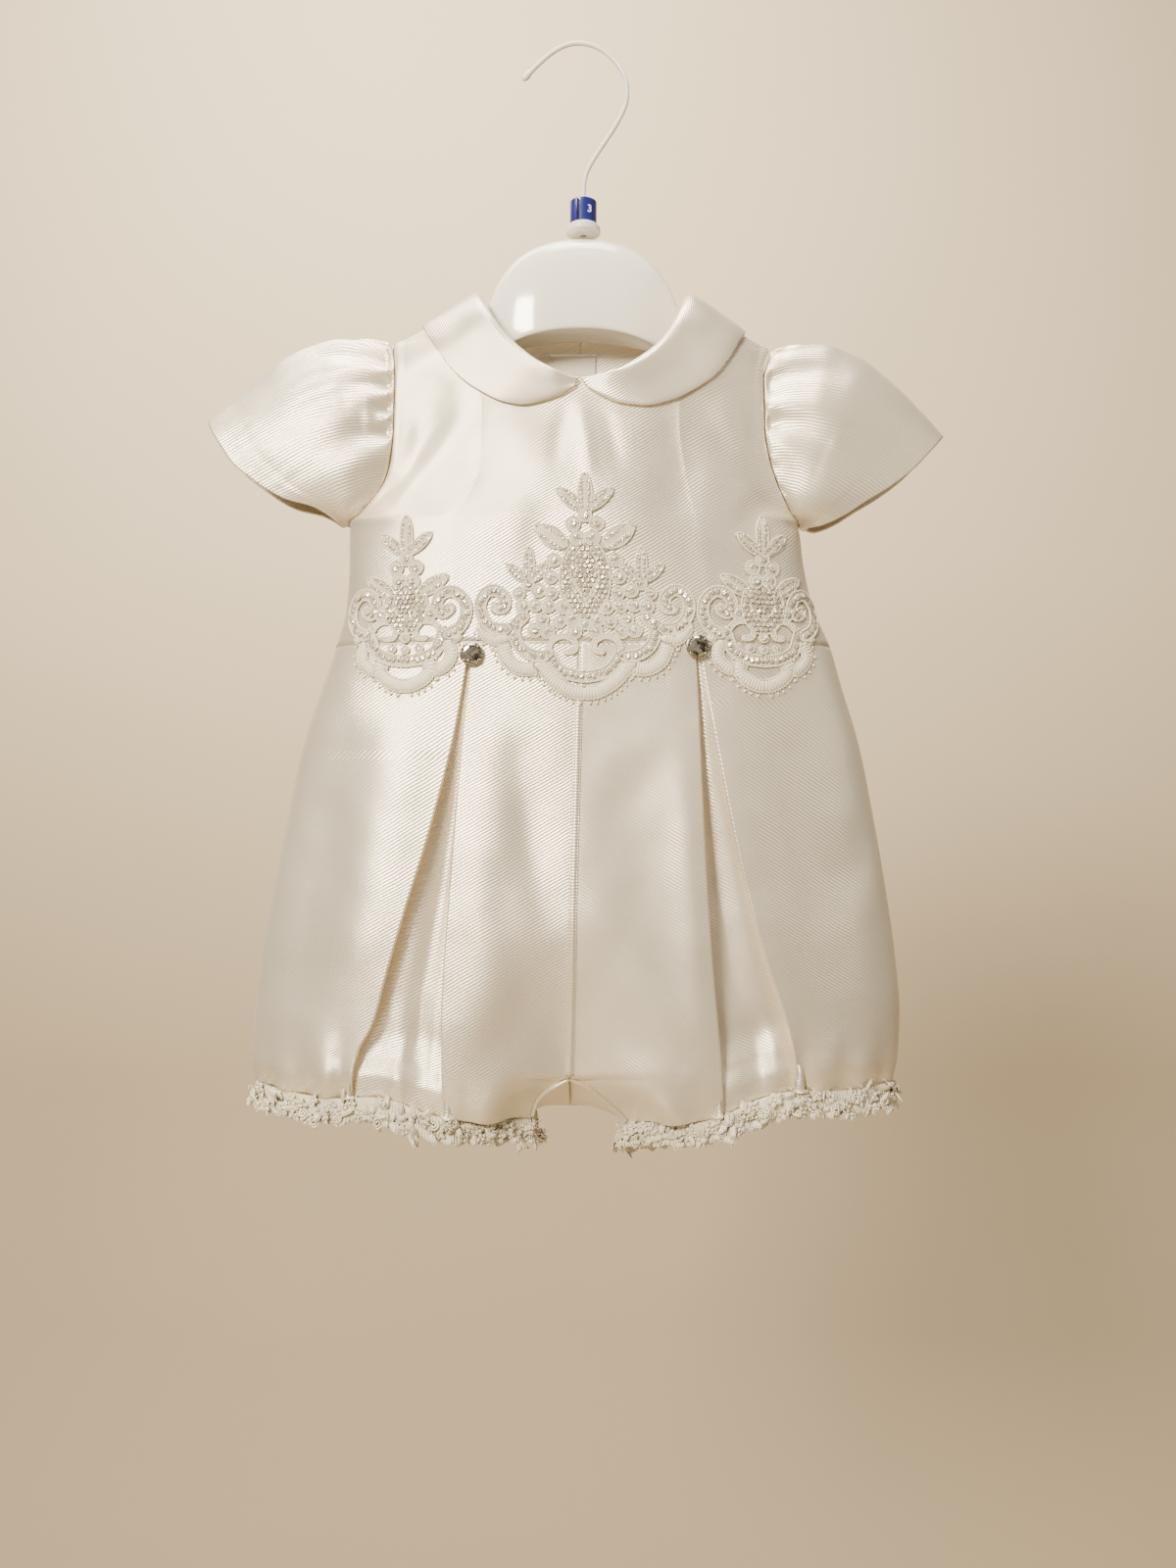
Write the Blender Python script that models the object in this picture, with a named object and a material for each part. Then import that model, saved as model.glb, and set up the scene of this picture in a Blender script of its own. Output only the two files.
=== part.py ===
"""A baby's baptism romper in lined satin, hanging on a child's plastic hanger.

Sizes here are in millimetres. The origin is the point under the top of the hanger's hook, +Z is
up, and the garment's front faces -Y. Left and right are the viewer's, as seen from the front.
"""

import math

import bmesh
import bpy
import numpy as np

MM = 0.001

# Driving sizes
CLOTH = 1.3  # satin with its lining
SEAM = 0.2  # half the gap that two panels leave at a seam
SEAT = 0.45  # what lies on a panel starts this far above it
WAIST = -308.0  # height of the waist seam
CENTRE_END = -520.3  # where the centre front seam meets the crotch arch
SIDE_HEM = -526.0  # height of the hem at the side seams
CORNER_DEPTH = -14.0  # how far forward the hem's corner stands, where front and back meet
TOP_EDGE = -140.0  # height at which the shoulders' width is taken
RIDGE = 26.0  # drop over which a shoulder rounds over the hanger
NECK = {-1: 48.5, 1: 52.0}  # half widths of the neck opening at the shoulder seams
ARM_DEPTH = {"front": 14.0, "back": 12.0}  # how far an armhole stands from the shoulder line
ARM_TOP = {-1: -153.5, 1: -156.5}
ARM_BOTTOM = {-1: -246.0, 1: -246.5}
ARM_GAP = 0.6  # how far a sleeve starts outside the armhole
UNDERCUT = 2.0  # how far a pleat runs in under its fold edges
COLLAR = 1.4
WELT = (1.25, 0.9)  # half width and thickness of the raised seam
WELT_TOP = -336.0  # it starts below the lace
BAND = (1.0, 10.0)  # thickness and height of the plain leg band
EDGING = (1.0, 13.0)  # thickness and height of the leg lace
LACE = 1.2
LACE_SEAT = 0.85
LACE_STEP = 1.6  # grid on which the lace's outline is found
LACE_ERROR = 1.0  # how far its simpler outline may stray
LACE_CUTS = (-117, -112, -105, -95, -84, -70, -46, -26, -8) + (
    10, 28, 46, 68, 82, 91, 99, 105, 109, 113, 116.5, 120)  # where it bends
LACE_ROW = 30.0  # height between its level cuts
SMALLEST_GAP = 17.0  # area of the smallest gap that is cut through the lace
WIRE = 1.3  # radius of the hook's wire
STEM_X = 1.6

LEFT, RIGHT = -1, 1
FRONT, BACK = "front", "back"
LOOKS = {FRONT: -1.0, BACK: 1.0}  # the way each face of the garment looks along Y
NAMES = {LEFT: "left", RIGHT: "right"}


def table(names, *rows):
    """A table with named columns. Each column is a list of (first column, value) pairs."""
    columns = {}
    for place, name in enumerate(names.split()):
        columns[name] = [(row[0], row[place]) for row in rows]
    return columns


# Half widths and depths of the body at each height, armholes included
BODY = table(
    "height left right front back",
    (-560, 160.0, 155.0, 38.0, 26.0),
    (-527, 165.0, 159.0, 41.0, 29.0),
    (-515, 167.0, 161.5, 43.0, 30.0),
    (-492, 165.5, 162.5, 44.0, 30.5),
    (-462, 162.0, 160.0, 43.0, 30.0),
    (-427, 156.0, 155.0, 41.0, 29.0),
    (-392, 148.5, 149.0, 38.5, 27.0),
    (-357, 141.0, 142.0, 35.5, 25.0),
    (-327, 131.0, 133.0, 33.0, 23.5),
    (-308, 124.5, 127.5, 31.5, 22.5),
    (-287, 119.0, 118.5, 30.0, 21.5),
    (-267, 117.6, 114.0, 29.0, 21.0),
    (-246, 117.3, 110.8, 28.5, 20.5),
    (-241, 110.8, 106.3, 28.3, 20.4),
    (-233, 103.0, 101.5, 28.1, 20.2),
    (-225, 97.3, 97.8, 28.0, 20.0),
    (-213, 94.1, 94.0, 27.5, 19.5),
    (-201, 92.9, 92.0, 27.0, 19.0),
    (-175, 92.4, 91.6, 25.0, 18.0),
    (-153, 94.5, 96.5, 22.5, 17.0),
    (-118, 94.5, 96.5, 21.0, 16.0),
)
SHOULDER = table(
    "across height",
    (-95, -153.5),
    (-72, -142.0),
    (-48.5, -131.5),
    (-25, -123.0),
    (0, -120.0),
    (25, -123.0),
    (52, -132.5),
    (75, -144.0),
    (97, -156.5),
)
NECKLINE = table(
    "across front back",
    (-48.5, -131.5, -131.5),
    (-46.5, -138.5, -133.0),
    (-41.0, -149.5, -134.8),
    (-30.0, -162.5, -137.0),
    (-17.5, -172.0, -139.0),
    (0, -178.8, -140.0),
    (18.0, -174.5, -139.0),
    (32.0, -166.5, -137.2),
    (44.0, -153.0, -135.2),
    (49.5, -141.0, -134.2),
    (52.0, -132.5, -132.5),
)
# The centre seam of the lower part, and the fold edges and depth of the inverted pleats
CENTRE = table("height across", (-525, -5.1), (-480, -3.9), (-430, -3.0), (-380, -1.7), (-308, 0.2))
PLEATS = {
    LEFT: table(
        "height inner outer",
        (-540, 64.5, 111.0),
        (-520, 65.3, 110.0),
        (-505, 65.6, 106.6),
        (-493, 65.6, 100.0),
        (-470, 64.8, 93.5),
        (-437, 62.6, 84.0),
        (-401, 60.0, 73.0),
        (-351, 56.0, 60.6),
        (-308, 51.4, 53.4),
    ),
    RIGHT: table(
        "height inner outer",
        (-540, 68.8, 105.5),
        (-516, 67.5, 104.6),
        (-503, 66.5, 102.4),
        (-482, 64.5, 96.5),
        (-458, 62.5, 88.5),
        (-414, 59.9, 77.4),
        (-356, 57.6, 66.2),
        (-308, 56.0, 58.0),
    ),
}
PLEAT_DEPTH = table(
    "height depth",
    (-545, 2.4),
    (-527, 4.0),
    (-516, 8.5),
    (-500, 12.5),
    (-440, 12.5),
    (-400, 10.0),
    (-350, 6.0),
    (-308, 1.6),
)
# The crotch arch, from its peak at the centre seam to each leg's corner at the hem
ARCH = {
    LEFT: table(
        "along across height depth",
        (0, -5.1, -520.7, -26.0),
        (0.25, -11.4, -524.3, -25.0),
        (0.5, -17.7, -528.8, -22.0),
        (0.75, -21.9, -535.0, -18.0),
        (1, -24.0, -542.5, -14.0),
    ),
    RIGHT: table(
        "along across height depth",
        (0, -5.1, -520.7, -26.0),
        (0.25, 2.6, -524.4, -25.0),
        (0.5, 10.6, -531.0, -22.0),
        (0.75, 17.8, -538.0, -18.0),
        (1, 23.5, -545.0, -14.0),
    ),
}
# Each leg's front hem, and the back hem from the same corner round the inner leg to the side
FRONT_HEM = {
    LEFT: table(
        "out height",
        (24, -542.5),
        (49, -539.5),
        (77, -534.0),
        (88, -529.5),
        (101, -527.5),
        (121, -529.0),
        (165, -526.0),
    ),
    RIGHT: table(
        "out height",
        (23.5, -545.0),
        (58, -538.5),
        (69, -536.0),
        (81, -530.5),
        (102, -525.0),
        (135, -526.5),
        (160, -526.0),
    ),
}
BACK_HEM = {
    LEFT: table(
        "along out depth height",
        (0, 24.0, -14.0, -542.5),
        (0.08, 22.5, -2.0, -546.5),
        (0.16, 26.0, 8.0, -550.5),
        (0.3, 46.0, 19.0, -551.0),
        (0.5, 80.0, 27.0, -545.0),
        (0.7, 115.0, 27.0, -537.5),
        (0.86, 145.0, 20.0, -531.0),
        (0.95, 160.5, 9.0, -527.0),
        (1, 165.0, 0.2, -526.0),
    ),
    RIGHT: table(
        "along out depth height",
        (0, 23.5, -14.0, -545.0),
        (0.08, 22.0, -2.0, -549.5),
        (0.16, 25.0, 8.0, -555.0),
        (0.3, 44.0, 19.0, -556.0),
        (0.5, 77.0, 27.0, -549.0),
        (0.7, 111.0, 27.0, -539.0),
        (0.86, 140.0, 20.0, -531.0),
        (0.95, 155.0, 9.0, -527.0),
        (1, 159.3, 0.2, -526.0),
    ),
}
# The centre of the back, from the waist under the crotch to the peak of the arch
SEAT_LINE = table(
    "along across depth height",
    (0, 0.2, 22.5, -308.0),
    (0.3, -1.7, 26.0, -380.0),
    (0.6, -3.5, 25.0, -460.0),
    (0.8, -4.2, 21.0, -520.0),
    (0.88, -4.4, 15.0, -540.0),
    (0.93, -4.6, 2.0, -541.5),
    (1, -5.1, -26.0, -520.7),
)
# Sleeves: the top ridge from the shoulder to the tip, and the hem from the tip to the underarm
RIDGE_LINE = {
    LEFT: table(
        "along out height",
        (0, 95.0, -153.5),
        (0.08, 102.3, -151.8),
        (0.16, 110.3, -150.4),
        (0.27, 121.0, -150.6),
        (0.44, 137.0, -154.5),
        (0.58, 150.5, -161.0),
        (0.72, 162.5, -171.5),
        (0.87, 176.0, -182.5),
        (1, 189.0, -192.0),
    ),
    RIGHT: table(
        "along out height",
        (0, 97.0, -157.0),
        (0.08, 104.0, -154.8),
        (0.16, 111.0, -153.4),
        (0.3, 124.7, -153.2),
        (0.42, 135.4, -157.0),
        (0.52, 144.8, -161.3),
        (0.65, 155.5, -169.2),
        (0.77, 164.8, -177.5),
        (0.88, 173.6, -187.0),
        (1, 184.9, -200.3),
    ),
}
CUFF_LINE = {
    LEFT: table(
        "along out height",
        (0, 189.0, -192.0),
        (0.05, 186.8, -197.2),
        (0.16, 180.2, -207.6),
        (0.3, 172.6, -217.9),
        (0.4, 165.3, -223.7),
        (0.53, 154.6, -231.1),
        (0.62, 146.8, -235.0),
        (0.76, 133.8, -238.4),
        (0.88, 127.4, -241.6),
        (1, 121.5, -246.0),
    ),
    RIGHT: table(
        "along out height",
        (0, 184.9, -200.3),
        (0.14, 174.6, -211.6),
        (0.27, 165.8, -220.5),
        (0.42, 154.3, -229.1),
        (0.58, 141.4, -236.9),
        (0.7, 132.5, -242.6),
        (0.82, 124.2, -246.4),
        (0.92, 119.5, -247.6),
        (1, 115.5, -247.4),
    ),
}
SLEEVE_DEPTH = {FRONT: 15.0, BACK: 12.0}  # half depths of the sleeve's mouth
SLEEVE_PUFF = 5.0
# The sleeve's columns round the armhole, in degrees from the ridge, with the cap's gathers
GATHERS = table(
    "round lift",
    (0, 0.6),
    (8, -0.6),
    (16, 2.0),
    (25, -1.0),
    (34, 2.6),
    (44, -1.2),
    (54, 2.8),
    (65, -1.2),
    (77, 2.6),
    (90, -1.0),
    (103, 1.8),
    (118, -0.4),
    (140, 0.6),
    (165, 0.0),
)
# The collar's outer edge from the centre front (0) over the shoulder (1) to the centre back (2)
COLLAR_EDGE = {
    LEFT: table(
        "along out height",
        (0, 2.5, -183.0),
        (0.12, 9.0, -186.8),
        (0.24, 17.0, -190.0),
        (0.37, 27.5, -192.2),
        (0.5, 37.5, -190.5),
        (0.64, 48.5, -185.0),
        (0.78, 60.5, -175.5),
        (0.9, 70.5, -162.0),
        (1, 79.5, -145.6),
        (1.15, 73.0, -160.0),
        (1.4, 55.0, -167.5),
        (1.7, 29.0, -170.0),
        (2, 1.0, -170.5),
    ),
    RIGHT: table(
        "along out height",
        (0, 2.5, -183.0),
        (0.12, 10.0, -187.5),
        (0.24, 20.5, -191.5),
        (0.37, 32.0, -192.4),
        (0.5, 44.0, -189.6),
        (0.64, 56.0, -183.6),
        (0.78, 67.0, -175.0),
        (0.9, 75.5, -163.0),
        (1, 83.3, -148.6),
        (1.15, 76.0, -162.0),
        (1.4, 57.0, -168.5),
        (1.7, 30.0, -170.5),
        (2, 1.0, -170.5),
    ),
}
COLLAR_STATIONS = (0, 0.06, 0.13, 0.22, 0.32, 0.43, 0.54, 0.65, 0.76, 0.86, 0.93, 0.97)
COLLAR_BACK_STATIONS = (1, 1.03, 1.07, 1.14, 1.26, 1.42, 1.6, 1.8, 2)
# The collar's section, from the neck seam over the fold to the outer edge
COLLAR_SECTION = table(
    "across lift",
    (0.0, 2.2),
    (0.05, 4.2),
    (0.14, 5.2),
    (0.32, 4.6),
    (0.6, 3.4),
    (1.0, 2.2),
)

# The hanger
HOOK_LINE = table(
    "along across height",
    (0, -29.2, -17.9),
    (11.7, -21.0, -9.6),
    (23.6, -11.8, -2.0),
    (33.4, -2.5, 1.3),
    (39.4, 3.5, 1.0),
    (49.1, 12.3, -3.1),
    (58.2, 19.0, -9.2),
    (67.7, 23.6, -17.5),
    (77.2, 24.3, -27.0),
    (88.3, 20.3, -37.3),
    (105.7, 11.0, -52.0),
    (118.8, 4.2, -62.7),
    (125.5, 1.8, -69.0),
    (136.5, 1.6, -80.0),
    (153.0, 1.6, -96.5),
)
# The crescent between the shoulders, and the arms: their height and depth, and how far their
# tops lie below the shoulder line
CRESCENT = table(
    "across top bottom depth",
    (-47.6, -136.0, -161.8, 4.4),
    (-45.4, -129.5, -161.0, 4.8),
    (-41.6, -120.0, -158.5, 5.6),
    (-34, -109.5, -154.6, 8.4),
    (-24, -103.2, -151.0, 10.6),
    (-12, -99.5, -149.0, 11.4),
    (1.5, -98.3, -148.4, 11.6),
    (15, -99.6, -149.2, 11.4),
    (27, -103.6, -151.8, 10.6),
    (36.5, -110.0, -155.6, 8.4),
    (44.6, -121.0, -159.6, 5.6),
    (48.4, -130.0, -161.9, 4.8),
    (50.6, -136.6, -162.8, 4.4),
)
ARM = table(
    "out height depth below",
    (55, 25.0, 4.6, 2.1),
    (66, 24.0, 4.6, 2.1),
    (78, 21.0, 4.4, 2.3),
    (86, 16.0, 4.0, 2.9),
    (89, 10.0, 2.8, 5.0),
)

# The lace: what its pattern is built from, in distances from its own axis and heights. A leaf
# has a width and runs from its root to its tip, a disc has a radius and its middle, an oval has
# half its width and height and its middle, and a band has a width and the points of its path.
CENTRE_MOTIF = (
    ("leaf", 6.8, (0, -243.3), (0, -227.8)),
    ("leaf", 6.2, (1.6, -243.0), (12.2, -234.2)),
    ("disc", 3.4, (0, -246.4)),
    ("disc", 3.7, (5.8, -250.4)),
    ("disc", 4.2, (3.8, -257.4)),
    ("leaf", 9.6, (10.4, -260.5), (21.7, -252.8)),
    ("oval", (13.2, 20.5), (0, -278.0)),
    ("disc", 3.4, (15.2, -268.2)),
    ("leaf", 5.4, (27.3, -277.0), (27.3, -263.3)),
    ("leaf", 5.2, (28.5, -278.0), (37.0, -271.2)),
    ("leaf", 5.2, (26.0, -278.0), (17.9, -270.1)),
    ("disc", 3.4, (27.4, -280.5)),
    ("disc", 3.4, (31.6, -284.6)),
    ("disc", 5.4, (22.5, -286.0)),
    ("disc", 6.0, (16.5, -279.0)),
    ("disc", 6.4, (15.5, -290.0)),
    ("disc", 4.2, (29.0, -291.0)),
    ("disc", 6.0, (8.0, -298.5)),
    ("disc", 4.4, (20.0, -300.5)),
    ("band", 4.3, (38, -302), (44.8, -301.3), (49.4, -296.5), (50.8, -290.1), (48.2, -284.4),
     (43.4, -282.9), (39.2, -286.3), (39.2, -291.2), (42.8, -291.8)),
    ("band", 4.0, (50.2, -301.3), (47.8, -305.0), (44.2, -307.6), (39.2, -306.5)),
    ("band", 4.3, (29.8, -296), (33.4, -300.1), (33.9, -305.6), (31.1, -311), (25.7, -314.7),
     (19.3, -315.6)),
    ("band", 3.0, (17.3, -314.3), (17, -309.7), (13.8, -306.5), (9.3, -305.6), (4.9, -308.4),
     (4.9, -312.4), (8.6, -313.4)),
    ("band", 4.3, (17.3, -314.3), (13.8, -320.2), (8.4, -323.8), (0, -325.6)),
    ("band", 5.0, (21.5, -319.0), (14.7, -327.3), (6.6, -332.3), (0, -333.3)),
    ("band", 5.0, (40.2, -309.8), (37, -317.4), (31.1, -321.3), (24.8, -321.3), (20.7, -318.7)),
)
SIDE_MOTIF = (
    ("leaf", 6.4, (0, -263.0), (0, -246.9)),
    ("leaf", 5.6, (1.8, -263.6), (11.8, -254.9)),
    ("disc", 3.6, (0, -266.2)),
    ("disc", 3.9, (5.0, -270.8)),
    ("disc", 4.2, (3.6, -277.4)),
    ("leaf", 7.2, (7.6, -283.6), (19.5, -276.3)),
    ("oval", (11.4, 14.0), (0, -290.0)),
    ("disc", 3.6, (11.0, -293.5)),
    ("band", 4.3, (21.7, -304.2), (27.2, -301.1), (30.4, -294.7), (29.4, -287.6), (24.2, -283.3),
     (18.5, -284.6), (15.9, -289.7), (18.5, -293.8), (22.2, -291.8)),
    ("band", 4.3, (19.2, -303), (17.6, -307.4), (15.3, -312.4), (8.5, -316.1), (0, -317.4)),
    ("band", 3.0, (16.6, -306.5), (17.4, -302), (13.9, -298.2), (8.5, -297.8), (5.2, -301.8),
     (6.2, -305.6), (10.2, -306.0)),
    ("disc", 2.2, (0, -305.6)),
    ("disc", 2.2, (0, -312.2)),
    ("band", 5.0, (11.2, -318.4), (12.6, -321.5), (9.7, -326.0), (3.6, -329.0), (0, -329.4)),
    ("band", 4.4, (11.2, -318.8), (16.7, -321.4), (21.6, -318.0), (23.2, -313.3), (21.4, -308.6)),
    ("band", 3.6, (21.6, -308.6), (22.6, -306.4), (26.2, -305.6)),
)
# Where each motif's axis stands
MOTIFS = {
    "motif_centre": (CENTRE_MOTIF, 2.5),
    "motif_left": (SIDE_MOTIF, -85.2),
    "motif_right": (SIDE_MOTIF, 89.8),
}
# Half width, top and bottom of the area that holds each motif
MOTIF_REACH = {
    "motif_centre": (55, -225, -338),
    "motif_left": (34, -244, -334),
    "motif_right": (34, -244, -334),
}
STONES = {LEFT: (-52.4, -314.0), RIGHT: (57.0, -310.5)}
LABEL = (-16.0, 8.6, -152.5, -174.0)  # left, right, top and bottom of the neck label

# Colours as base colour, roughness and metallic value
FINISHES = {
    "satin": ((0.86, 0.83, 0.78), 0.38, 0.0),
    "lace": ((0.88, 0.85, 0.78), 0.6, 0.0),
    "crystal": ((0.55, 0.52, 0.48), 0.12, 0.6),
    "setting": ((0.45, 0.42, 0.38), 0.25, 1.0),
    "hanger_plastic": ((0.87, 0.85, 0.81), 0.18, 0.0),
    "clear_plastic": ((0.82, 0.8, 0.76), 0.2, 0.0),
    "hook_wire": ((0.84, 0.82, 0.78), 0.3, 0.0),
    "size_ring": ((0.02, 0.03, 0.22), 0.3, 0.0),
    "label": ((0.84, 0.81, 0.74), 0.7, 0.0),
}


# Curves and vectors


def smooth(pairs, at):
    """Value at each place of a smooth curve through (place, value) pairs, without overshoot."""
    place, value = (np.array(column, float) for column in zip(*sorted(pairs)))
    step = np.diff(place)
    slope = np.diff(value) / step
    level = slope[:-1] * slope[1:] <= 0
    first, after = np.where(level, 1, slope[:-1]), np.where(level, 1, slope[1:])
    near, far = 2 * step[1:] + step[:-1], step[1:] + 2 * step[:-1]
    inner = np.where(level, 0, (near + far) / (near / first + far / after))
    tangent = np.concatenate([slope[:1], inner, slope[-1:]])
    at = np.clip(np.asarray(at, float), place[0], place[-1])
    k = np.clip(np.searchsorted(place, at, side="right") - 1, 0, len(step) - 1)
    t = (at - place[k]) / step[k]
    ends = (1 + 2 * t) * (1 - t) ** 2 * value[k] + t * t * (3 - 2 * t) * value[k + 1]
    return ends + step[k] * (t * (1 - t) ** 2 * tangent[k] + t * t * (t - 1) * tangent[k + 1])


def ease(t):
    """0 to 1 with level ends."""
    t = np.clip(t, 0, 1)
    return t * t * (3 - 2 * t)


def unit(vectors):
    """Each vector at length 1."""
    vectors = np.asarray(vectors, float)
    return vectors / np.maximum(np.linalg.norm(vectors, axis=-1, keepdims=True), 1e-9)


def stack(x, y, z):
    """Points from three arrays that broadcast together."""
    return np.stack(np.broadcast_arrays(x, y, z), axis=-1).astype(float)


def tangents(points, axis, closed):
    """At each grid point, the sum of the directions to it and from it along one axis."""
    if closed:
        ahead = unit(np.roll(points, -1, axis) - points)
        return ahead + np.roll(ahead, 1, axis)
    ahead = unit(np.diff(points, axis=axis))
    first, last = np.take(ahead, [0], axis), np.take(ahead, [-1], axis)
    return np.concatenate([first, ahead], axis) + np.concatenate([ahead, last], axis)


def normals(points, outside, closed=False):
    """Unit normals of a grid of points, on the side that outside, a direction, shows."""
    normal = unit(np.cross(tangents(points, 1, closed), tangents(points, 0, False)))
    middle = normal[normal.shape[0] // 2, normal.shape[1] // 2]
    return normal if np.dot(middle, outside) > 0 else -normal


def kept(normal, x, y, z):
    """Normals with some components taken out, where an edge has to meet another panel."""
    return unit(normal * np.array([x, y, z], float))


# The body


def body_edge(side, z):
    """Where the body's edge lies across at each height."""
    return side * smooth(BODY[NAMES[side]], z)


def armhole_depth(side, face, z):
    """How far the body's edge stands from the shoulder line: the armhole, then the side seam."""
    middle = (ARM_TOP[side] + ARM_BOTTOM[side]) / 2
    half = (ARM_TOP[side] - ARM_BOTTOM[side]) / 2
    level = np.clip(1 - ((z - middle) / half) ** 2, 0, 1)
    return ARM_DEPTH[face] * level**0.4


def drop_round(drop):
    """How far a shoulder has rounded out, 0 to 1, at each drop below the shoulder line."""
    return np.sqrt(1 - (1 - np.clip(drop / RIDGE, 0, 1)) ** 2)


def depth(face, x, z):
    """How far the front or back of the body stands from the plane of the hanger."""
    x, z = np.broadcast_arrays(np.asarray(x, float), np.asarray(z, float))
    left, right = body_edge(LEFT, z), body_edge(RIGHT, z)
    across = np.clip((x - left) / (right - left), 0, 1)
    edge = np.where(across < 0.5, armhole_depth(LEFT, face, z), armhole_depth(RIGHT, face, z))
    fullness = np.sqrt(np.clip(1 - np.abs(2 * across - 1) ** 2.7, 0, 1))
    full = smooth(BODY[face], z) * fullness + edge * (1 - fullness) ** 2
    if face == FRONT:
        full = full - 13.0 * ease((-440 - z) / 80) * np.exp(-(((x + 4) / 27) ** 2))
    return full * drop_round(smooth(SHOULDER["height"], x) - z)


def on_body(face, x, z):
    """Points on the body's outer surface, never past the seam between front and back."""
    return stack(x, LOOKS[face] * np.maximum(depth(face, x, z), SEAM), z)


def rolled(x, z, face):
    """Distance down over the rounded shoulder to a height, negative on the front."""
    drop = np.maximum(smooth(SHOULDER["height"], x) - z, 0)
    turn = RIDGE * np.arccos(1 - np.minimum(drop / RIDGE, 1))
    return LOOKS[face] * (turn + np.maximum(drop - RIDGE, 0))


def over_shoulder(x, roll):
    """The point of the body at a distance down over the shoulder, as rolled() gives it."""
    around = np.abs(roll) / RIDGE
    drop = RIDGE * (1 - np.cos(np.minimum(around, math.pi / 2)))
    z = smooth(SHOULDER["height"], x) - drop - RIDGE * np.maximum(around - math.pi / 2, 0)
    y = np.where(roll < 0, -depth(FRONT, x, z), depth(BACK, x, z))
    return stack(x, y, z)


# Making solids


def finish(name, points, faces, material):
    """A new object from points in millimetres, shaded smooth, with its own material."""
    mesh = bpy.data.meshes.new(name)
    mesh.from_pydata((np.asarray(points) * MM).tolist(), [], faces)
    mesh.shade_smooth()
    mesh.set_sharp_from_angle(angle=math.radians(40))
    mesh.materials.append(finish_material(material))
    piece = bpy.data.objects.new(name, mesh)
    bpy.context.scene.collection.objects.link(piece)
    return piece


def finish_material(slot):
    """The Principled material of one finish, made once."""
    if slot in bpy.data.materials:
        return bpy.data.materials[slot]
    colour, roughness, metallic = FINISHES[slot]
    material = bpy.data.materials.new(slot)
    material.use_nodes = True
    shader = material.node_tree.nodes["Principled BSDF"]
    shader.inputs["Base Color"].default_value = (*colour, 1.0)
    shader.inputs["Roughness"].default_value = roughness
    shader.inputs["Metallic"].default_value = metallic
    material.diffuse_color = (*colour, 1.0)
    return material


def wall(name, outer, inner, material, outside, closed=False):
    """A closed wall between two grids of the same size, which may close on themselves."""
    rows, columns = outer.shape[:2]
    count = rows * columns
    r, c = rows // 2, columns // 2
    facing = np.cross(outer[r, c] - outer[r, c - 1], outer[r, c] - outer[r - 1, c])
    turn = np.dot(facing, outside) > 0
    across = columns if closed else columns - 1
    faces = []

    def add(*face):
        faces.append(face if turn else tuple(reversed(face)))

    for i in range(rows - 1):
        for j in range(across):
            e = (j + 1) % columns
            quad = (i * columns + j, i * columns + e, (i + 1) * columns + e, (i + 1) * columns + j)
            add(*quad)
            add(*(k + count for k in reversed(quad)))
    base = (rows - 1) * columns
    rim = [(j, (j + 1) % columns) for j in range(across)]
    rim += [(base + (j + 1) % columns, base + j) for j in range(across)]
    if not closed:
        rim += [(i * columns + columns - 1, (i + 1) * columns + columns - 1) for i in range(rows - 1)]
        rim += [((i + 1) * columns, i * columns) for i in range(rows - 1)]
    for p, q in rim:
        add(q, p, p + count, q + count)
    points = np.concatenate([outer.reshape(-1, 3), inner.reshape(-1, 3)])
    return finish(name, points, faces, material)


def turned(name, profile, material, place, sides=20, slit=None, capped=False, toward="up"):
    """A shape turned from (radius, height) points round a line through place.

    The profile closes on itself, or ends in two flat caps where capped is set. slit is the start
    and end angle of what stands, in degrees from the front, where the ring is split.
    """
    start, end = slit or (0.0, 360.0)
    count = sides + 1 if slit else sides
    angles = np.radians(np.linspace(start, end, count, endpoint=bool(slit)))
    radius, height = (np.array(column, float)[:, None] for column in zip(*profile))
    flat_x, flat_y = radius * np.sin(angles), -radius * np.cos(angles)
    if toward == "up":
        points = stack(place[0] + flat_x, place[1] + flat_y, place[2] + height)
    else:
        points = stack(place[0] + flat_x, place[1] - height, place[2] + flat_y)
    rings = len(profile)
    faces = []
    for ring in range(rings - 1 if capped else rings):
        after = (ring + 1) % rings
        for c in range(sides):
            e = c + 1 if slit else (c + 1) % count
            faces.append((ring * count + c, ring * count + e, after * count + e, after * count + c))
    if slit:
        faces.append(tuple(ring * count for ring in range(rings)))
        faces.append(tuple(ring * count + sides for ring in reversed(range(rings))))
    if capped:
        faces.append(tuple(reversed(range(count))))
        faces.append(tuple((rings - 1) * count + c for c in range(count)))
    piece = finish(name, points.reshape(-1, 3), faces, material)
    face_out(piece)
    return piece


def face_out(piece):
    """Turns a closed shape's faces outwards."""
    edit = bmesh.new()
    edit.from_mesh(piece.data)
    bmesh.ops.recalc_face_normals(edit, faces=edit.faces)
    edit.to_mesh(piece.data)
    edit.free()


# Bodice

BODICE_ROWS = np.array(
    (0, 0.012, 0.035, 0.075, 0.13, 0.21, 0.3, 0.385, 0.463, 0.515, 0.566, 0.605, 0.78, 0.89, 1)
)
SHOULDER_COLUMNS = (1, 0.95, 0.82, 0.6, 0.34, 0.12, 0.0)  # from the armhole to the neck
NECK_COLUMNS = (0.94, 0.86, 0.74, 0.6, 0.42, 0.21)  # from the neck to the centre


def bodice_columns(side):
    """Where one half's columns start along the top edge, from the armhole to the centre."""
    tip, neck = float(body_edge(side, TOP_EDGE)), side * NECK[side]
    return [neck + (tip - neck) * share for share in SHOULDER_COLUMNS] + [
        neck * share for share in NECK_COLUMNS
    ]


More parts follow.
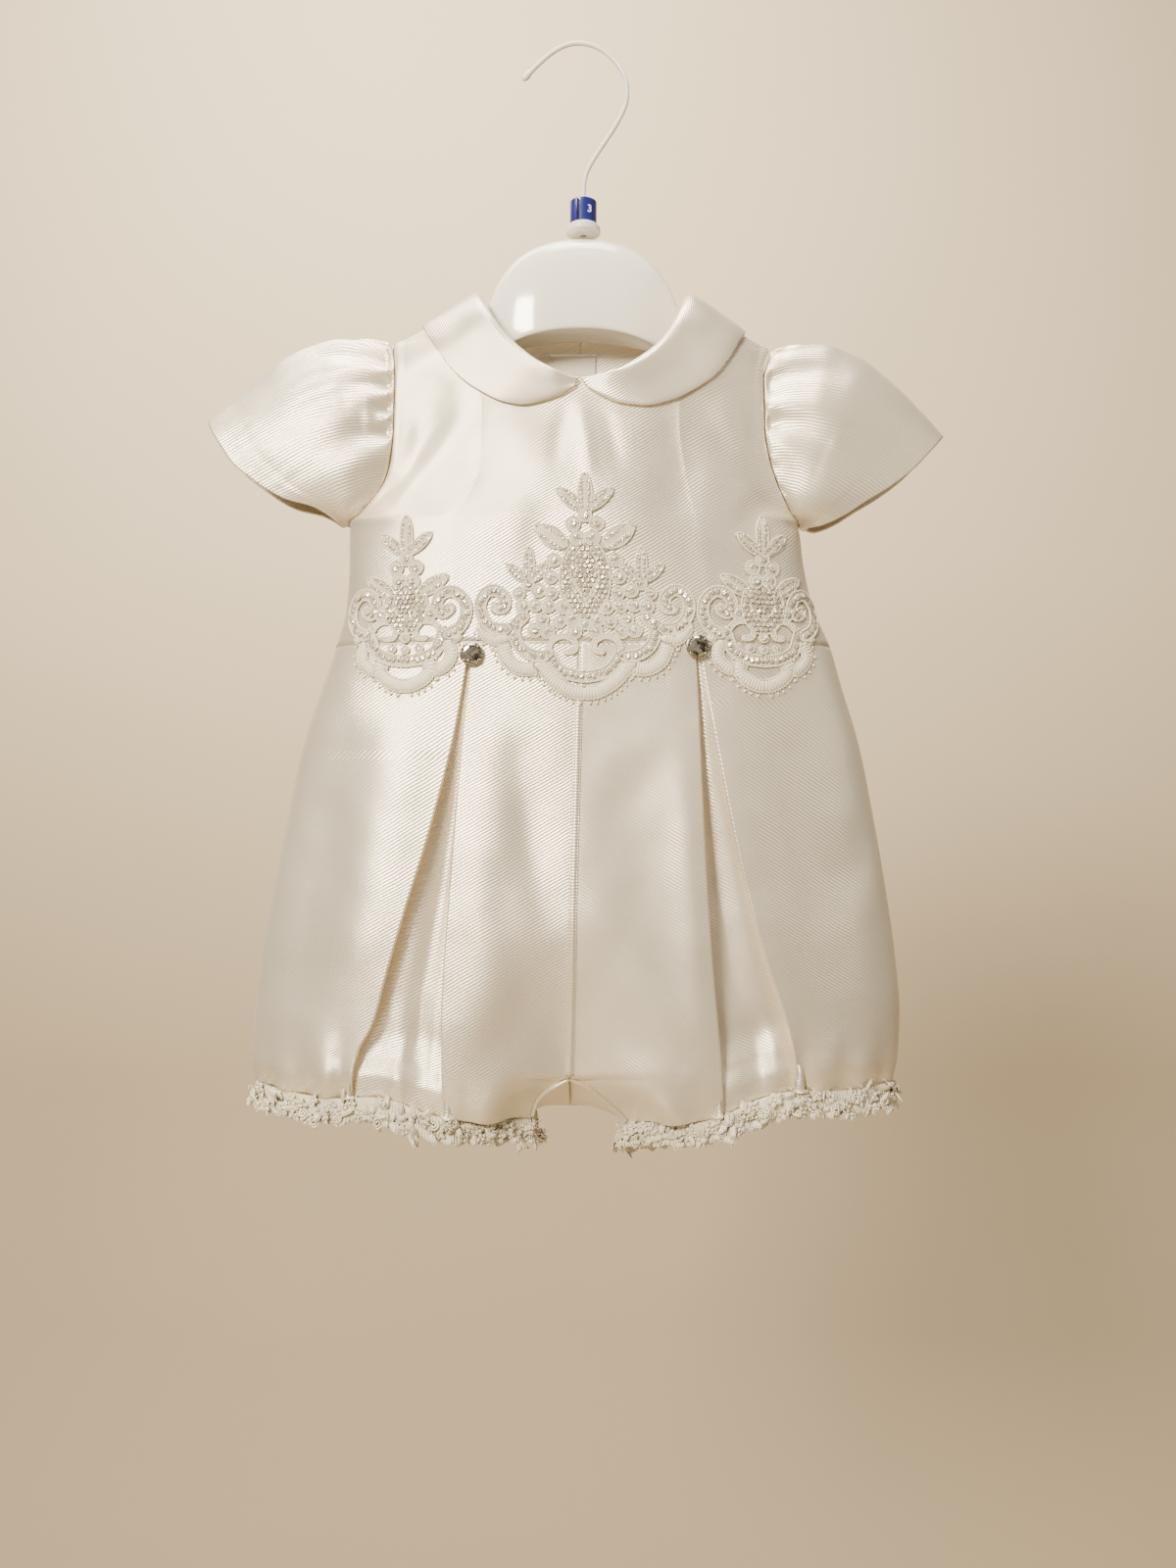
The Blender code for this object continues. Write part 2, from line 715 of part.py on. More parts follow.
def bodice_panel(name, face, columns, centre_edge=None):
    """A bodice panel from the places of its columns along the shoulder and neckline."""
    columns = np.array(columns)
    left, right = float(body_edge(LEFT, TOP_EDGE)), float(body_edge(RIGHT, TOP_EDGE))
    share = (columns - left) / (right - left)
    on_neck = (columns > -NECK[LEFT]) & (columns < NECK[RIGHT])
    top = np.where(on_neck, smooth(NECKLINE[face], columns), smooth(SHOULDER["height"], columns))
    v = BODICE_ROWS[:, None]
    z = top * (1 - v) + (WAIST + SEAM) * v
    x = body_edge(LEFT, z) + (body_edge(RIGHT, z) - body_edge(LEFT, z)) * share
    outer = on_body(face, x, z)
    normal = normals(outer, (0, LOOKS[face], 0))
    seam = np.abs(outer[..., 1]) <= SEAM + 1e-6
    normal[seam] = kept(normal[seam] + (0, 0, 0.01), 1, 0, 1)
    normal[0][seam[0]] = unit(kept(normal[0][seam[0]], 1, 0, 0) * 0.4 + (0, 0, 1))
    normal[-1] = kept(normal[-1], 1, 1, 0)
    if centre_edge is not None:
        normal[:, centre_edge] = kept(normal[:, centre_edge], 0, 1, 1)
    wall(name, outer, inside_of(outer, normal, face), "satin", (0, LOOKS[face], 0))


def inside_of(outer, normal, face):
    """The inner points of a panel, kept on its own side of the seams at the edge of the body."""
    inner = outer - normal * CLOTH
    inner[..., 1] = LOOKS[face] * np.maximum(LOOKS[face] * inner[..., 1], SEAM)
    return inner


def armhole_edge(side, face):
    """The line of a bodice panel's armhole and side seam, as (across, depth, height)."""
    top = float(smooth(SHOULDER["height"], body_edge(side, TOP_EDGE)))
    z = top * (1 - BODICE_ROWS) + (WAIST + SEAM) * BODICE_ROWS
    x = body_edge(side, z)
    return x, np.maximum(depth(face, x, z), SEAM), z


def make_bodice():
    """The front in one panel, and two back panels that meet down the centre back."""
    left, right = bodice_columns(LEFT), bodice_columns(RIGHT)
    bodice_panel("bodice_front", FRONT, left + [0.0] + right[::-1])
    bodice_panel("bodice_back_left", BACK, left + [-SEAM], -1)
    bodice_panel("bodice_back_right", BACK, [SEAM] + right[::-1], 0)


# Sleeves


def make_sleeve(side):
    """A tube from the armhole to the wide hem, puffed and gathered at the cap."""
    half = [place for place, _ in GATHERS["round"]]
    lifts = dict(GATHERS["lift"])
    degrees = np.array(half + [180] + [360 - place for place in reversed(half[1:])], float)
    lift = np.array([lifts.get(min(place, 360 - place), 0) for place in degrees])
    turn = np.radians(degrees)
    front = np.sin(turn) >= 0
    top, bottom = ARM_TOP[side] - SEAM, ARM_BOTTOM[side] + SEAM
    z = (top + bottom) / 2 + (top - bottom) / 2 * np.cos(turn)
    edge_x, front_y, edge_z = armhole_edge(side, FRONT)
    back_y = armhole_edge(side, BACK)[1]
    hole_depth = np.where(front, np.interp(-z, -edge_z, front_y), np.interp(-z, -edge_z, back_y))
    face = np.where(front, LOOKS[FRONT], LOOKS[BACK]) * np.where(np.abs(np.sin(turn)) < 1e-6, 0, 1)
    hole = stack(np.interp(-z, -edge_z, edge_x) + side * ARM_GAP, face * hole_depth, z)
    along = (1 - np.cos(turn)) / 2
    mouth_depth = np.where(front, SLEEVE_DEPTH[FRONT], SLEEVE_DEPTH[BACK])
    mouth_depth = mouth_depth * np.abs(np.sin(turn)) ** 0.8
    mouth = CUFF_LINE[side]
    cuff = stack(side * smooth(mouth["out"], along), face * mouth_depth, smooth(mouth["height"], along))
    t = np.array((0, 0.07, 0.16, 0.28, 0.42, 0.58, 0.74, 0.88, 1.0))[:, None, None]
    flat = t[..., 0]
    outer = hole * (1 - t) + cuff * t
    top_line = RIDGE_LINE[side]
    ridge = stack(side * smooth(top_line["out"], flat), 0, smooth(top_line["height"], flat))
    bulge = ridge - (hole[:1] * (1 - t) + cuff[:1] * t)
    outer = outer + bulge * (np.clip(np.cos(turn / 2) ** 2, 0, 1)[None, :, None]) ** 1.5
    swell = SLEEVE_PUFF * np.sin(np.pi * flat) * np.abs(np.sin(turn))
    outer[..., 1] += face * swell
    normal = normals(outer, (0, -1, 0), closed=True)
    middle = unit(outer[4, 0] - outer[4, len(degrees) // 2])
    if np.dot(normal[4, 0], middle) < 0:
        normal = -normal
    fade = np.sin(np.clip(flat * 2.2, 0, 1) * np.pi * 0.5) * np.clip(1 - flat, 0, 1) ** 1.6 * 2.0
    outer = outer + normal * (lift * np.clip(fade, 0, 1))[..., None]
    normal = normals(outer, normal[4, len(degrees) // 2], closed=True)
    normal[0] = kept(normal[0], 0, 1, 1)
    outside = normal[4, len(degrees) // 2]
    wall(f"sleeve_{NAMES[side]}", outer, outer - normal * CLOTH, "satin", outside, closed=True)


# Collar


def make_collar(side):
    """One collar half, from the centre front over the shoulder to the centre back."""
    stations = np.array(COLLAR_STATIONS + COLLAR_BACK_STATIONS)
    on_front = stations < 1
    front_share = np.sin(stations * np.pi / 2) ** 0.86
    back_share = np.sin(np.clip(2 - stations, 0, 1) * np.pi / 2) ** 0.7
    neck_x = side * np.where(on_front, front_share, back_share) * NECK[side]
    neck_x = np.where(np.abs(neck_x) < 0.6, side * 0.6, neck_x)
    neck_z = np.where(on_front, smooth(NECKLINE[FRONT], neck_x), smooth(NECKLINE[BACK], neck_x))
    edge = COLLAR_EDGE[side]
    edge_x, edge_z = side * smooth(edge["out"], stations), smooth(edge["height"], stations)
    neck_roll = np.where(on_front, rolled(neck_x, neck_z, FRONT), rolled(neck_x, neck_z, BACK))
    edge_roll = np.where(on_front, rolled(edge_x, edge_z, FRONT), rolled(edge_x, edge_z, BACK))
    across = np.array([place for place, _ in COLLAR_SECTION["across"]])[:, None]
    x = neck_x * (1 - across) + edge_x * across
    roll = neck_roll * (1 - across) + edge_roll * across
    base = over_shoulder(x, roll)
    normal = normals(base, (0, 0, 1))
    if normal[3, 2, 1] > 0:
        normal = -normal
    narrow = 0.25 + 0.75 * ease(stations / 0.16)
    lift = 2.2 + (smooth(COLLAR_SECTION["lift"], across) - 2.2) * narrow
    outer = base + normal * lift[..., None]
    facing = normals(outer, normal[3, len(stations) // 2])
    outside = facing[3, len(stations) // 2]
    wall(f"collar_{NAMES[side]}", outer, outer - facing * COLLAR, "satin", outside)


# Shorts

SHORTS_ROWS = np.array(
    (0, 0.03, 0.09, 0.18, 0.28, 0.38, 0.48, 0.58, 0.68, 0.77, 0.85, 0.905, 0.93, 0.955, 0.98, 1)
)
ARCH_START = 0.905  # the row where the centre seam ends and the crotch arch begins
CENTRE_SHARES = np.array((0, 0.12, 0.3, 0.5, 0.7, 0.87, 1.0))
SIDE_SHARES = np.array((0, 0.08, 0.24, 0.44, 0.64, 0.82, 0.94, 1.0))


def front_boundary(side):
    """The inner edge of a front panel: down the centre seam, then along the arch to the hem."""
    v = SHORTS_ROWS
    down = np.clip(v / ARCH_START, 0, 1)
    z = (WAIST - SEAM) * (1 - down) + CENTRE_END * down
    x = smooth(CENTRE["across"], z) + side * SEAM
    y = -depth(FRONT, x, z)
    along = np.clip((v - ARCH_START) / (1 - ARCH_START), 0, 1)
    arch = ARCH[side]
    on_arch = v > ARCH_START
    x = np.where(on_arch, smooth(arch["across"], along) + side * 0.3, x)
    z = np.where(on_arch, smooth(arch["height"], along), z)
    y = np.where(on_arch | (along > 0), smooth(arch["depth"], along) - 0.4, y)
    return x, y, z, along


def arch_normal(side, along):
    """The direction out of both panels that meet at the arch: down at its peak, then inward."""
    turn = along * np.pi / 2
    return unit(stack(-side * np.sin(turn), -1.0, -np.cos(turn)))


def make_shorts_front(side):
    """A front panel with its inverted pleat, from the waist to the hem and the crotch arch."""
    edge_x, edge_y, edge_z, along = front_boundary(side)
    pleat = PLEATS[side]
    rows = SHORTS_ROWS[:, None]
    hem_out = FRONT_HEM[side]["height"]
    bottom = edge_z[-1]
    fall = ((edge_z - edge_z[0]) / (bottom - edge_z[0]))[:, None]

    def height(hem_z, blend):
        """Heights of the rows, evenly spaced or as far down as the inner edge's own rows."""
        return (WAIST - SEAM) + (hem_z - (WAIST - SEAM)) * (fall * (1 - blend) + rows * blend)

    inner_hem = float(smooth(hem_out, smooth(pleat["inner"], -538)))
    outer_hem = float(smooth(hem_out, smooth(pleat["outer"], -528)))
    inner_z, outer_z, side_z = height(inner_hem, 0.85), height(outer_hem, 1.0), height(SIDE_HEM, 1.0)
    inner_x = side * smooth(pleat["inner"], inner_z)
    outer_x = side * smooth(pleat["outer"], outer_z)
    side_x = body_edge(side, side_z)
    x0, z0 = edge_x[:, None], edge_z[:, None]
    to_fold = CENTRE_SHARES[None, :]
    blend_z = ease(to_fold * 1.6)
    panel_x = x0 + (inner_x - x0) * to_fold
    panel_z = z0 + (inner_z - z0) * blend_z
    to_side = SIDE_SHARES[None, :]
    side_panel_x = outer_x + (side_x - outer_x) * to_side
    side_panel_z = outer_z + (side_z - outer_z) * to_side
    # The hem's own wave on the bottom rows
    wave = ease((rows - 0.8) / 0.2)
    target = smooth(hem_out, np.abs(panel_x))
    panel_z = panel_z + wave * ease(to_fold * 3) * (target[-1:] - panel_z[-1:])
    target = smooth(hem_out, np.abs(side_panel_x))
    side_panel_z = side_panel_z + wave * (target[-1:] - side_panel_z[-1:])
    inner_z, outer_z = panel_z[:, -1:], side_panel_z[:, :1]
    groove = smooth(PLEAT_DEPTH["depth"], inner_z)
    room = np.abs(outer_x - inner_x)
    under = np.minimum(UNDERCUT, room * 0.12) * np.where(room > 6, 1, 0)
    share = np.array((0.0, 0.35, 0.7, 1.0))[None, :]
    start, end = inner_x - side * under, outer_x + side * under
    groove_x = start + (end - start) * share
    groove_z = inner_z + (outer_z - inner_z) * share
    target = smooth(hem_out, np.abs(groove_x))
    groove_z = groove_z + wave * (target[-1:] - groove_z[-1:])
    x = np.concatenate([panel_x, groove_x, side_panel_x], axis=1)
    z = np.concatenate([panel_z, groove_z, side_panel_z], axis=1)
    y = -depth(FRONT, x, z)
    count = len(CENTRE_SHARES)
    y[:, count : count + 4] += groove
    # The arch's own depth fades into the panel's
    fade = (1 - ease(to_fold / 0.6)) * ease((rows - 0.7) / (ARCH_START - 0.7))
    fade = np.where(rows >= ARCH_START, 1 - ease(to_fold / 0.6), fade)
    y[:, :count] += (edge_y[:, None] - y[:, :1]) * fade
    y[:, 0] = np.where(SHORTS_ROWS >= ARCH_START, edge_y, y[:, 0])
    y[:, -1] = -SEAM
    outer = stack(x, y, z)
    normal = normals(outer, (0, -1, 0))
    normal[0] = kept(normal[0], 1, 1, 0)
    normal[-1] = kept(normal[-1], 1, 1, 0)
    normal[:, -1] = kept(normal[:, -1], 1, 0, 1)
    on_seam = SHORTS_ROWS <= ARCH_START
    normal[:, 0] = np.where(on_seam[:, None], kept(normal[:, 0], 0, 1, 1), arch_normal(side, along))
    normal[SHORTS_ROWS == ARCH_START, 0] = unit((0, -1, -1))
    wall(f"shorts_front_{NAMES[side]}", outer, outer - normal * CLOTH, "satin", (0, -1, 0))


SEAT_ROWS = np.array((0, 0.06, 0.16, 0.28, 0.4, 0.52, 0.64, 0.74, 0.82, 0.88, 0.93, 0.965, 1))
SEAT_COLUMNS = np.array((0, 0.05, 0.1, 0.15, 0.2, 0.3, 0.42, 0.55, 0.68, 0.8, 0.9, 0.97, 1))
CORNER = 0.2  # the share of the columns whose lower ends lie along the arch


def make_shorts_back(side):
    """A back panel, from the waist down the seat, under the crotch to the arch, and to the hem."""
    hem, arch = BACK_HEM[side], ARCH[side]
    on_arch = SEAT_COLUMNS <= CORNER
    along = np.clip(SEAT_COLUMNS / CORNER, 0, 1)
    beyond = np.clip((SEAT_COLUMNS - CORNER) / (1 - CORNER), 0, 1)
    low_x = np.where(on_arch, smooth(arch["across"], along), side * smooth(hem["out"], beyond))
    low_y = np.where(on_arch, smooth(arch["depth"], along), smooth(hem["depth"], beyond))
    low_z = np.where(on_arch, smooth(arch["height"], along), smooth(hem["height"], beyond))
    low = stack(low_x, low_y, low_z)
    low[:, 0] += np.where(SEAT_COLUMNS == 0, side * SEAM, 0)
    v = SEAT_ROWS[:, None]
    # The seat's fall from the waist, then the turn under the body towards the front
    middle_x = smooth(SEAT_LINE["across"], SEAT_ROWS)[:, None] + side * SEAM
    middle_y = smooth(SEAT_LINE["depth"], SEAT_ROWS)[:, None]
    middle_z = smooth(SEAT_LINE["height"], SEAT_ROWS)[:, None] - SEAM * (1 - v)
    u = SEAT_COLUMNS[None, :]
    near = np.clip(1 - u / 0.62, 0, 1) ** 1.5
    straight_z = (WAIST - SEAM) * (1 - v) + low_z[None, :] * v
    edge_x = body_edge(side, straight_z)
    x_flat = (smooth(CENTRE["across"], straight_z) + side * SEAM) * (1 - u) + edge_x * u
    y_flat = np.maximum(depth(BACK, x_flat, straight_z), SEAM)
    close = ease((v - 0.45) / 0.55)
    x = x_flat * (1 - close) + (low_x[None, :] + (x_flat - x_flat[-1:])) * close
    y = y_flat + (low_y[None, :] - y_flat[-1:]) * ease((v - 0.55) / 0.45)
    z = straight_z
    shift = near * ease(v / 0.3)
    x = x + (middle_x - x[:, :1]) * shift
    y = y + (middle_y - y[:, :1]) * near
    z = z + (middle_z - z[:, :1]) * near
    outer = stack(x, y, z)
    outer[-1] = low
    outer[:, 0] = np.concatenate([middle_x, middle_y, middle_z], axis=1)
    outer[:, -1] = stack(body_edge(side, straight_z[:, -1]), SEAM, straight_z[:, -1])
    outer[0, :, 2] = WAIST - SEAM
    normal = normals(outer, (0, 1, 0))
    normal[0] = kept(normal[0], 1, 1, 0)
    normal[:, -1] = kept(normal[:, -1], 1, 0, 1)
    normal[-1] = kept(normal[-1], 1, 1, 0)
    normal[:, 0] = kept(normal[:, 0], 0, 1, 1)
    normal[-1] = np.where(on_arch[:, None], arch_normal(side, along), normal[-1])
    normal[-1, 0] = unit((0, -1, -1))
    wall(f"shorts_back_{NAMES[side]}", outer, outer - normal * CLOTH, "satin", (0, 1, 0))


def make_welt():
    """The raised seam down the centre front, following the panels' surface."""
    z = np.linspace(WELT_TOP, -517.0, 13)[:, None]
    x = smooth(CENTRE["across"], z) + np.array((-WELT[0], 0, WELT[0]))[None, :]
    surface = on_body(FRONT, x, z)
    normal = normals(surface, (0, -1, 0))
    lift = SEAT + np.array((0, 0.25, 0))[None, :, None]
    under = surface + normal * lift
    wall("centre_welt", under + normal * WELT[1], under, "satin", (0, -1, 0))


# Leg trims


def hem_ring(side, count):
    """Evenly spaced points round a leg's hem, from the corner along the front to the side."""
    out = np.linspace(0, 1, 60)
    start, end = FRONT_HEM[side]["height"][0][0], smooth(BODY[NAMES[side]], SIDE_HEM)
    reach = start + (end - start) * out
    front_z = smooth(FRONT_HEM[side]["height"], reach)
    front_y = -depth(FRONT, side * reach, front_z)
    front_y = front_y + (CORNER_DEPTH - front_y[0]) * (1 - ease(out / 0.35))
    front = stack(side * reach, front_y, front_z)
    hem = BACK_HEM[side]
    back_out, back_y, back_z = (smooth(hem[name], 1 - out) for name in ("out", "depth", "height"))
    back = stack(side * back_out, back_y, back_z)
    ring = np.concatenate([front, back[1:-1]])
    steps = np.linalg.norm(np.roll(ring, -1, 0) - ring, axis=1)
    reached = np.concatenate([[0], np.cumsum(steps)])
    places = np.linspace(0, reached[-1], count, endpoint=False)
    closed = np.concatenate([ring, ring[:1]])
    return np.stack([np.interp(places, reached, closed[:, axis]) for axis in range(3)], axis=1)


def ring_outward(ring):
    """Level directions out of a ring of points."""
    along = np.roll(ring, -1, 0) - np.roll(ring, 1, 0)
    out = unit(stack(along[:, 1], -along[:, 0], 0))
    return out if np.sum(out * (ring - ring.mean(0))) > 0 else -out


def make_leg_trims(side):
    """The plain band below a hem, and the ruffled lace edging over it."""
    ring = hem_ring(side, 36)
    out = ring_outward(ring)
    down = np.array((0.85, 5.0, BAND[1]))[:, None, None]
    outer = ring - out * (EDGING[0] + 1.1) + (0, 0, -1) * down
    outside = out[len(out) // 2]
    wall(f"leg_band_{NAMES[side]}", outer, outer - out * BAND[0], "satin", outside, closed=True)
    ring = hem_ring(side, 44)
    out = ring_outward(ring)
    wave = np.where(np.arange(len(ring)) % 2, 1.0, -1.0)[None, :, None]
    share = np.array((0.0, 0.3, 0.65, 1.0))[:, None, None]
    drop = 0.85 + (EDGING[1] - 0.85) * share - wave * share**2 * 1.3
    outer = ring + out * share * (1.4 + wave * 1.5) - out * 0.3 + (0, 0, -1) * drop
    outside = out[len(out) // 2]
    wall(f"leg_lace_{NAMES[side]}", outer, outer - out * EDGING[0], "lace", outside, closed=True)


# Lace motifs


def line_distance(line, x, z):
    """Distance from points to a line of (across, height) points, and the share of it reached."""
    best, share = np.full(np.shape(x), 1e9), np.zeros(np.shape(x))
    for (from_x, from_z), (to_x, to_z) in zip(line, line[1:]):
        span_x, span_z = to_x - from_x, to_z - from_z
        reached = ((x - from_x) * span_x + (z - from_z) * span_z) / (span_x**2 + span_z**2)
        reached = np.clip(reached, 0, 1)
        away = np.hypot(x - from_x - span_x * reached, z - from_z - span_z * reached)
        share = np.where(away < best, reached, share)
        best = np.minimum(best, away)
    return best, share


def shape_distance(shape, x, z):
    """Signed distance from points to one shape of the lace, negative inside it."""
    kind, size, *line = shape
    middle_x, middle_z = line[0]
    if kind == "disc":
        return np.hypot(x - middle_x, z - middle_z) - size
    if kind == "oval":
        return (np.hypot((x - middle_x) / size[0], (z - middle_z) / size[1]) - 1) * size[0]
    away, share = line_distance(line, x, z)
    if kind == "band":
        return away - size / 2
    return away - size / 2 * (0.35 + 0.65 * np.sin(np.pi * (0.15 + 0.7 * share)))


def motif_distance(design, x, z):
    """Signed distance to a whole motif, mirrored over its axis."""
    return np.min([shape_distance(shape, np.abs(x), z) for shape in design], axis=0)


def lace_net(design, reach, top, bottom):
    """The motif as a flat net of triangles, cut along the motif's edge."""
    xs = np.linspace(-reach, reach, int(2 * reach / LACE_STEP) | 1)
    zs = np.linspace(bottom, top, int((top - bottom) / LACE_STEP))
    value = motif_distance(design, *np.meshgrid(xs, zs, indexing="ij"))
    edit = bmesh.new()
    made = {}

    def point(first, second):
        key = tuple(sorted((first, second)))
        if key not in made:
            (i, j), (k, m) = key
            t = 0.0
            if first != second:
                t = np.clip(value[i, j] / (value[i, j] - value[k, m]), 0.05, 0.95)
            made[key] = edit.verts.new((xs[i] + (xs[k] - xs[i]) * t, zs[j] + (zs[m] - zs[j]) * t, 0))
        return made[key]

    for i in range(len(xs) - 1):
        for j in range(len(zs) - 1):
            square = ((i, j), (i + 1, j), (i + 1, j + 1), (i, j + 1))
            for triangle in ((square[0], square[1], square[2]), (square[0], square[2], square[3])):
                face = []
                for place, after in zip(triangle, triangle[1:] + triangle[:1]):
                    if value[place] < 0:
                        face.append(point(place, place))
                    if (value[place] < 0) != (value[after] < 0):
                        face.append(point(place, after))
                if len(face) > 2:
                    edit.faces.new(face)
    return edit


def edge_loops(edit):
    """The closed lines of points round a flat net and its holes."""
    beside = {}
    for edge in edit.edges:
        if edge.is_boundary:
            first, second = edge.verts
            beside.setdefault(first, []).append(second)
            beside.setdefault(second, []).append(first)
    loops = []
    while beside:
        start = next(iter(beside))
        loop, vert = [], start
        while vert in beside:
            loop.append(np.array(vert.co[:2]))
            ways = [other for other in beside.pop(vert) if other in beside]
            vert = ways[0] if ways else start
        loops.append(np.array(loop))
    return loops


def simpler(line, error):
    """The points of an open line that are needed to stay within an error of it."""
    if len(line) < 3:
        return line
    span = line[-1] - line[0]
    offset = line - line[0]
    away = np.abs(offset[:, 0] * span[1] - offset[:, 1] * span[0]) / max(np.hypot(*span), 1e-6)
    far = int(np.argmax(away))
    if away[far] < error or far in (0, len(line) - 1):
        return line[[0, -1]]
    return np.concatenate([simpler(line[: far + 1], error)[:-1], simpler(line[far:], error)])


def lace_outline(design, reach, top, bottom, upright_cuts):
    """The motif as a flat bmesh, filled inside its outline and cut into strips that can bend."""
    net = lace_net(design, reach, top, bottom)
    edit = bmesh.new()
    for loop in edge_loops(net):
        after = np.roll(loop, -1, 0)
        if abs(np.sum(loop[:, 0] * after[:, 1] - loop[:, 1] * after[:, 0])) / 2 < SMALLEST_GAP:
            continue
        half = int(np.argmax(np.hypot(*(loop - loop[0]).T)))
        line = np.concatenate([loop, loop[:1]])
        there, back = simpler(line[: half + 1], LACE_ERROR), simpler(line[half:], LACE_ERROR)
        verts = [edit.verts.new((x, z, 0)) for x, z in np.concatenate([there[:-1], back[:-1]])]
        for vert, after in zip(verts, verts[1:] + verts[:1]):
            edit.edges.new((vert, after))
    net.free()
    bmesh.ops.triangle_fill(edit, edges=edit.edges[:], use_beauty=True, use_dissolve=False)
    for axis, places in (((1, 0, 0), upright_cuts), ((0, 1, 0), np.arange(bottom, top, LACE_ROW))):
        for place in places:
            geometry = edit.verts[:] + edit.edges[:] + edit.faces[:]
            at = np.array(axis) * place
            bmesh.ops.bisect_plane(edit, geom=geometry, plane_co=at, plane_no=axis, dist=0.3)
    bmesh.ops.triangulate(edit, faces=edit.faces)
    return edit


def round_the_body(axis, across, z):
    """Places across that lie a distance from an axis, measured over the front's surface."""
    x = np.full(z.shape, float(axis))
    steps = 30
    for _ in range(steps):
        slope = depth(FRONT, x + np.sign(across), z) - depth(FRONT, x, z)
        x = x + across / steps / np.sqrt(1 + slope**2)
    return x


def make_motif(name):
    """One motif of corded lace, lying over the waist seam and clear of the cloth."""
    design, axis = MOTIFS[name]
    edit = lace_outline(design, *MOTIF_REACH[name], np.array(LACE_CUTS) - axis)
    edit.verts.index_update()
    flat = np.array([vert.co[:] for vert in edit.verts])
    faces = [tuple(vert.index for vert in face.verts) for face in edit.faces]
    rim = [
        tuple(loop.vert.index for loop in (edge.link_loops[0], edge.link_loops[0].link_loop_next))
        for edge in edit.edges
        if edge.is_boundary
    ]
    edit.free()
    x, z = round_the_body(axis, flat[:, 0], flat[:, 1]), flat[:, 1]
    surface, step = on_body(FRONT, x, z), 1.0
    slope_x = (on_body(FRONT, x + step, z) - on_body(FRONT, x - step, z))
    slope_z = (on_body(FRONT, x, z + step) - on_body(FRONT, x, z - step))
    normal = unit(np.cross(slope_x, slope_z))
    normal = np.where(normal[:, 1:2] > 0, -normal, normal)
    count = len(flat)
    points = np.concatenate([surface + normal * (LACE_SEAT + LACE), surface + normal * LACE_SEAT])
    solid = faces + [tuple(k + count for k in reversed(face)) for face in faces]
    solid += [(q, p, p + count, q + count) for p, q in rim]
    piece = finish(name, points, solid, "lace")
    face_out(piece)


# Stones and label

SETTING = ((5.7, 0.0), (5.7, 1.4), (5.3, 2.2), (4.6, 2.4), (4.6, 0.9), (2.4, 0.9), (2.4, 0.0))
STONE = ((4.2, 1.2), (4.3, 2.2), (2.6, 3.9), (1.2, 4.3))


def make_stone(side):
    """A faceted stone in its metal setting, on the pleat's upper end."""
    x, z = STONES[side]
    around = np.radians(np.arange(0, 360, 30))
    near = depth(FRONT, x + 5.7 * np.cos(around), z + 5.7 * np.sin(around))
    y = -(float(near.max()) + SEAT + 0.2)
    turned(f"stone_setting_{NAMES[side]}", SETTING, "setting", (x, y, z), sides=14, toward="front")
    turned(f"stone_{NAMES[side]}", STONE, "crystal", (x, y, z), sides=12, capped=True, toward="front")


def make_label():
    """The bare label inside the back of the neck."""
    left, right, top, bottom = LABEL
    x = np.linspace(left, right, 4)[None, :]
    z = np.linspace(top, bottom, 3)[:, None]
    behind = depth(BACK, x, z) - CLOTH - SEAT
    outer = stack(x, behind, z)
    wall("neck_label", outer, outer - (0, 0.7, 0), "label", (0, 1, 0))


# Hanger


def hanger_sections():
    """Rows of across, top, bottom and depth along the hanger, arms included."""
    columns = [CRESCENT[name] for name in ("top", "bottom", "depth")]
    rows = [(top[0], top[1], low[1], deep[1]) for top, low, deep in zip(*columns)]
    for side in (LEFT, RIGHT):
        for out, tall in ARM["height"]:
            x = side * (out + (3 if side == RIGHT else 0))
            top = float(smooth(SHOULDER["height"], x)) - dict(ARM["below"])[out]
            rows.append((x, top, top - tall, dict(ARM["depth"])[out]))
    return sorted(rows)


def make_hanger_body():
    """The moulded crescent and its arms: rounded sections from tip to tip."""
    rows = np.array(hanger_sections())
    turn = np.radians(np.arange(0, 360, 30))
    cross, up = np.sin(turn), np.cos(turn)
    cross = np.sign(cross) * np.abs(cross) ** 0.75
    up = np.sign(up) * np.abs(up) ** 0.85
    x = rows[:, :1]
    z = (rows[:, 1:2] + rows[:, 2:3]) / 2 + (rows[:, 1:2] - rows[:, 2:3]) / 2 * up
    sections = stack(x, rows[:, 3:4] * cross, z)
    tube("hanger_body", sections, "hanger_plastic")


def tube(name, sections, material):
    """A solid through rings of points, closed by a face at each end."""
    rings, sides = sections.shape[:2]
    faces = []
    for r in range(rings - 1):
        for c in range(sides):
            e = (c + 1) % sides
            faces.append((r * sides + c, r * sides + e, (r + 1) * sides + e, (r + 1) * sides + c))
    faces.append(tuple(range(sides)))
    faces.append(tuple((rings - 1) * sides + c for c in reversed(range(sides))))
    piece = finish(name, sections.reshape(-1, 3), faces, material)
    face_out(piece)


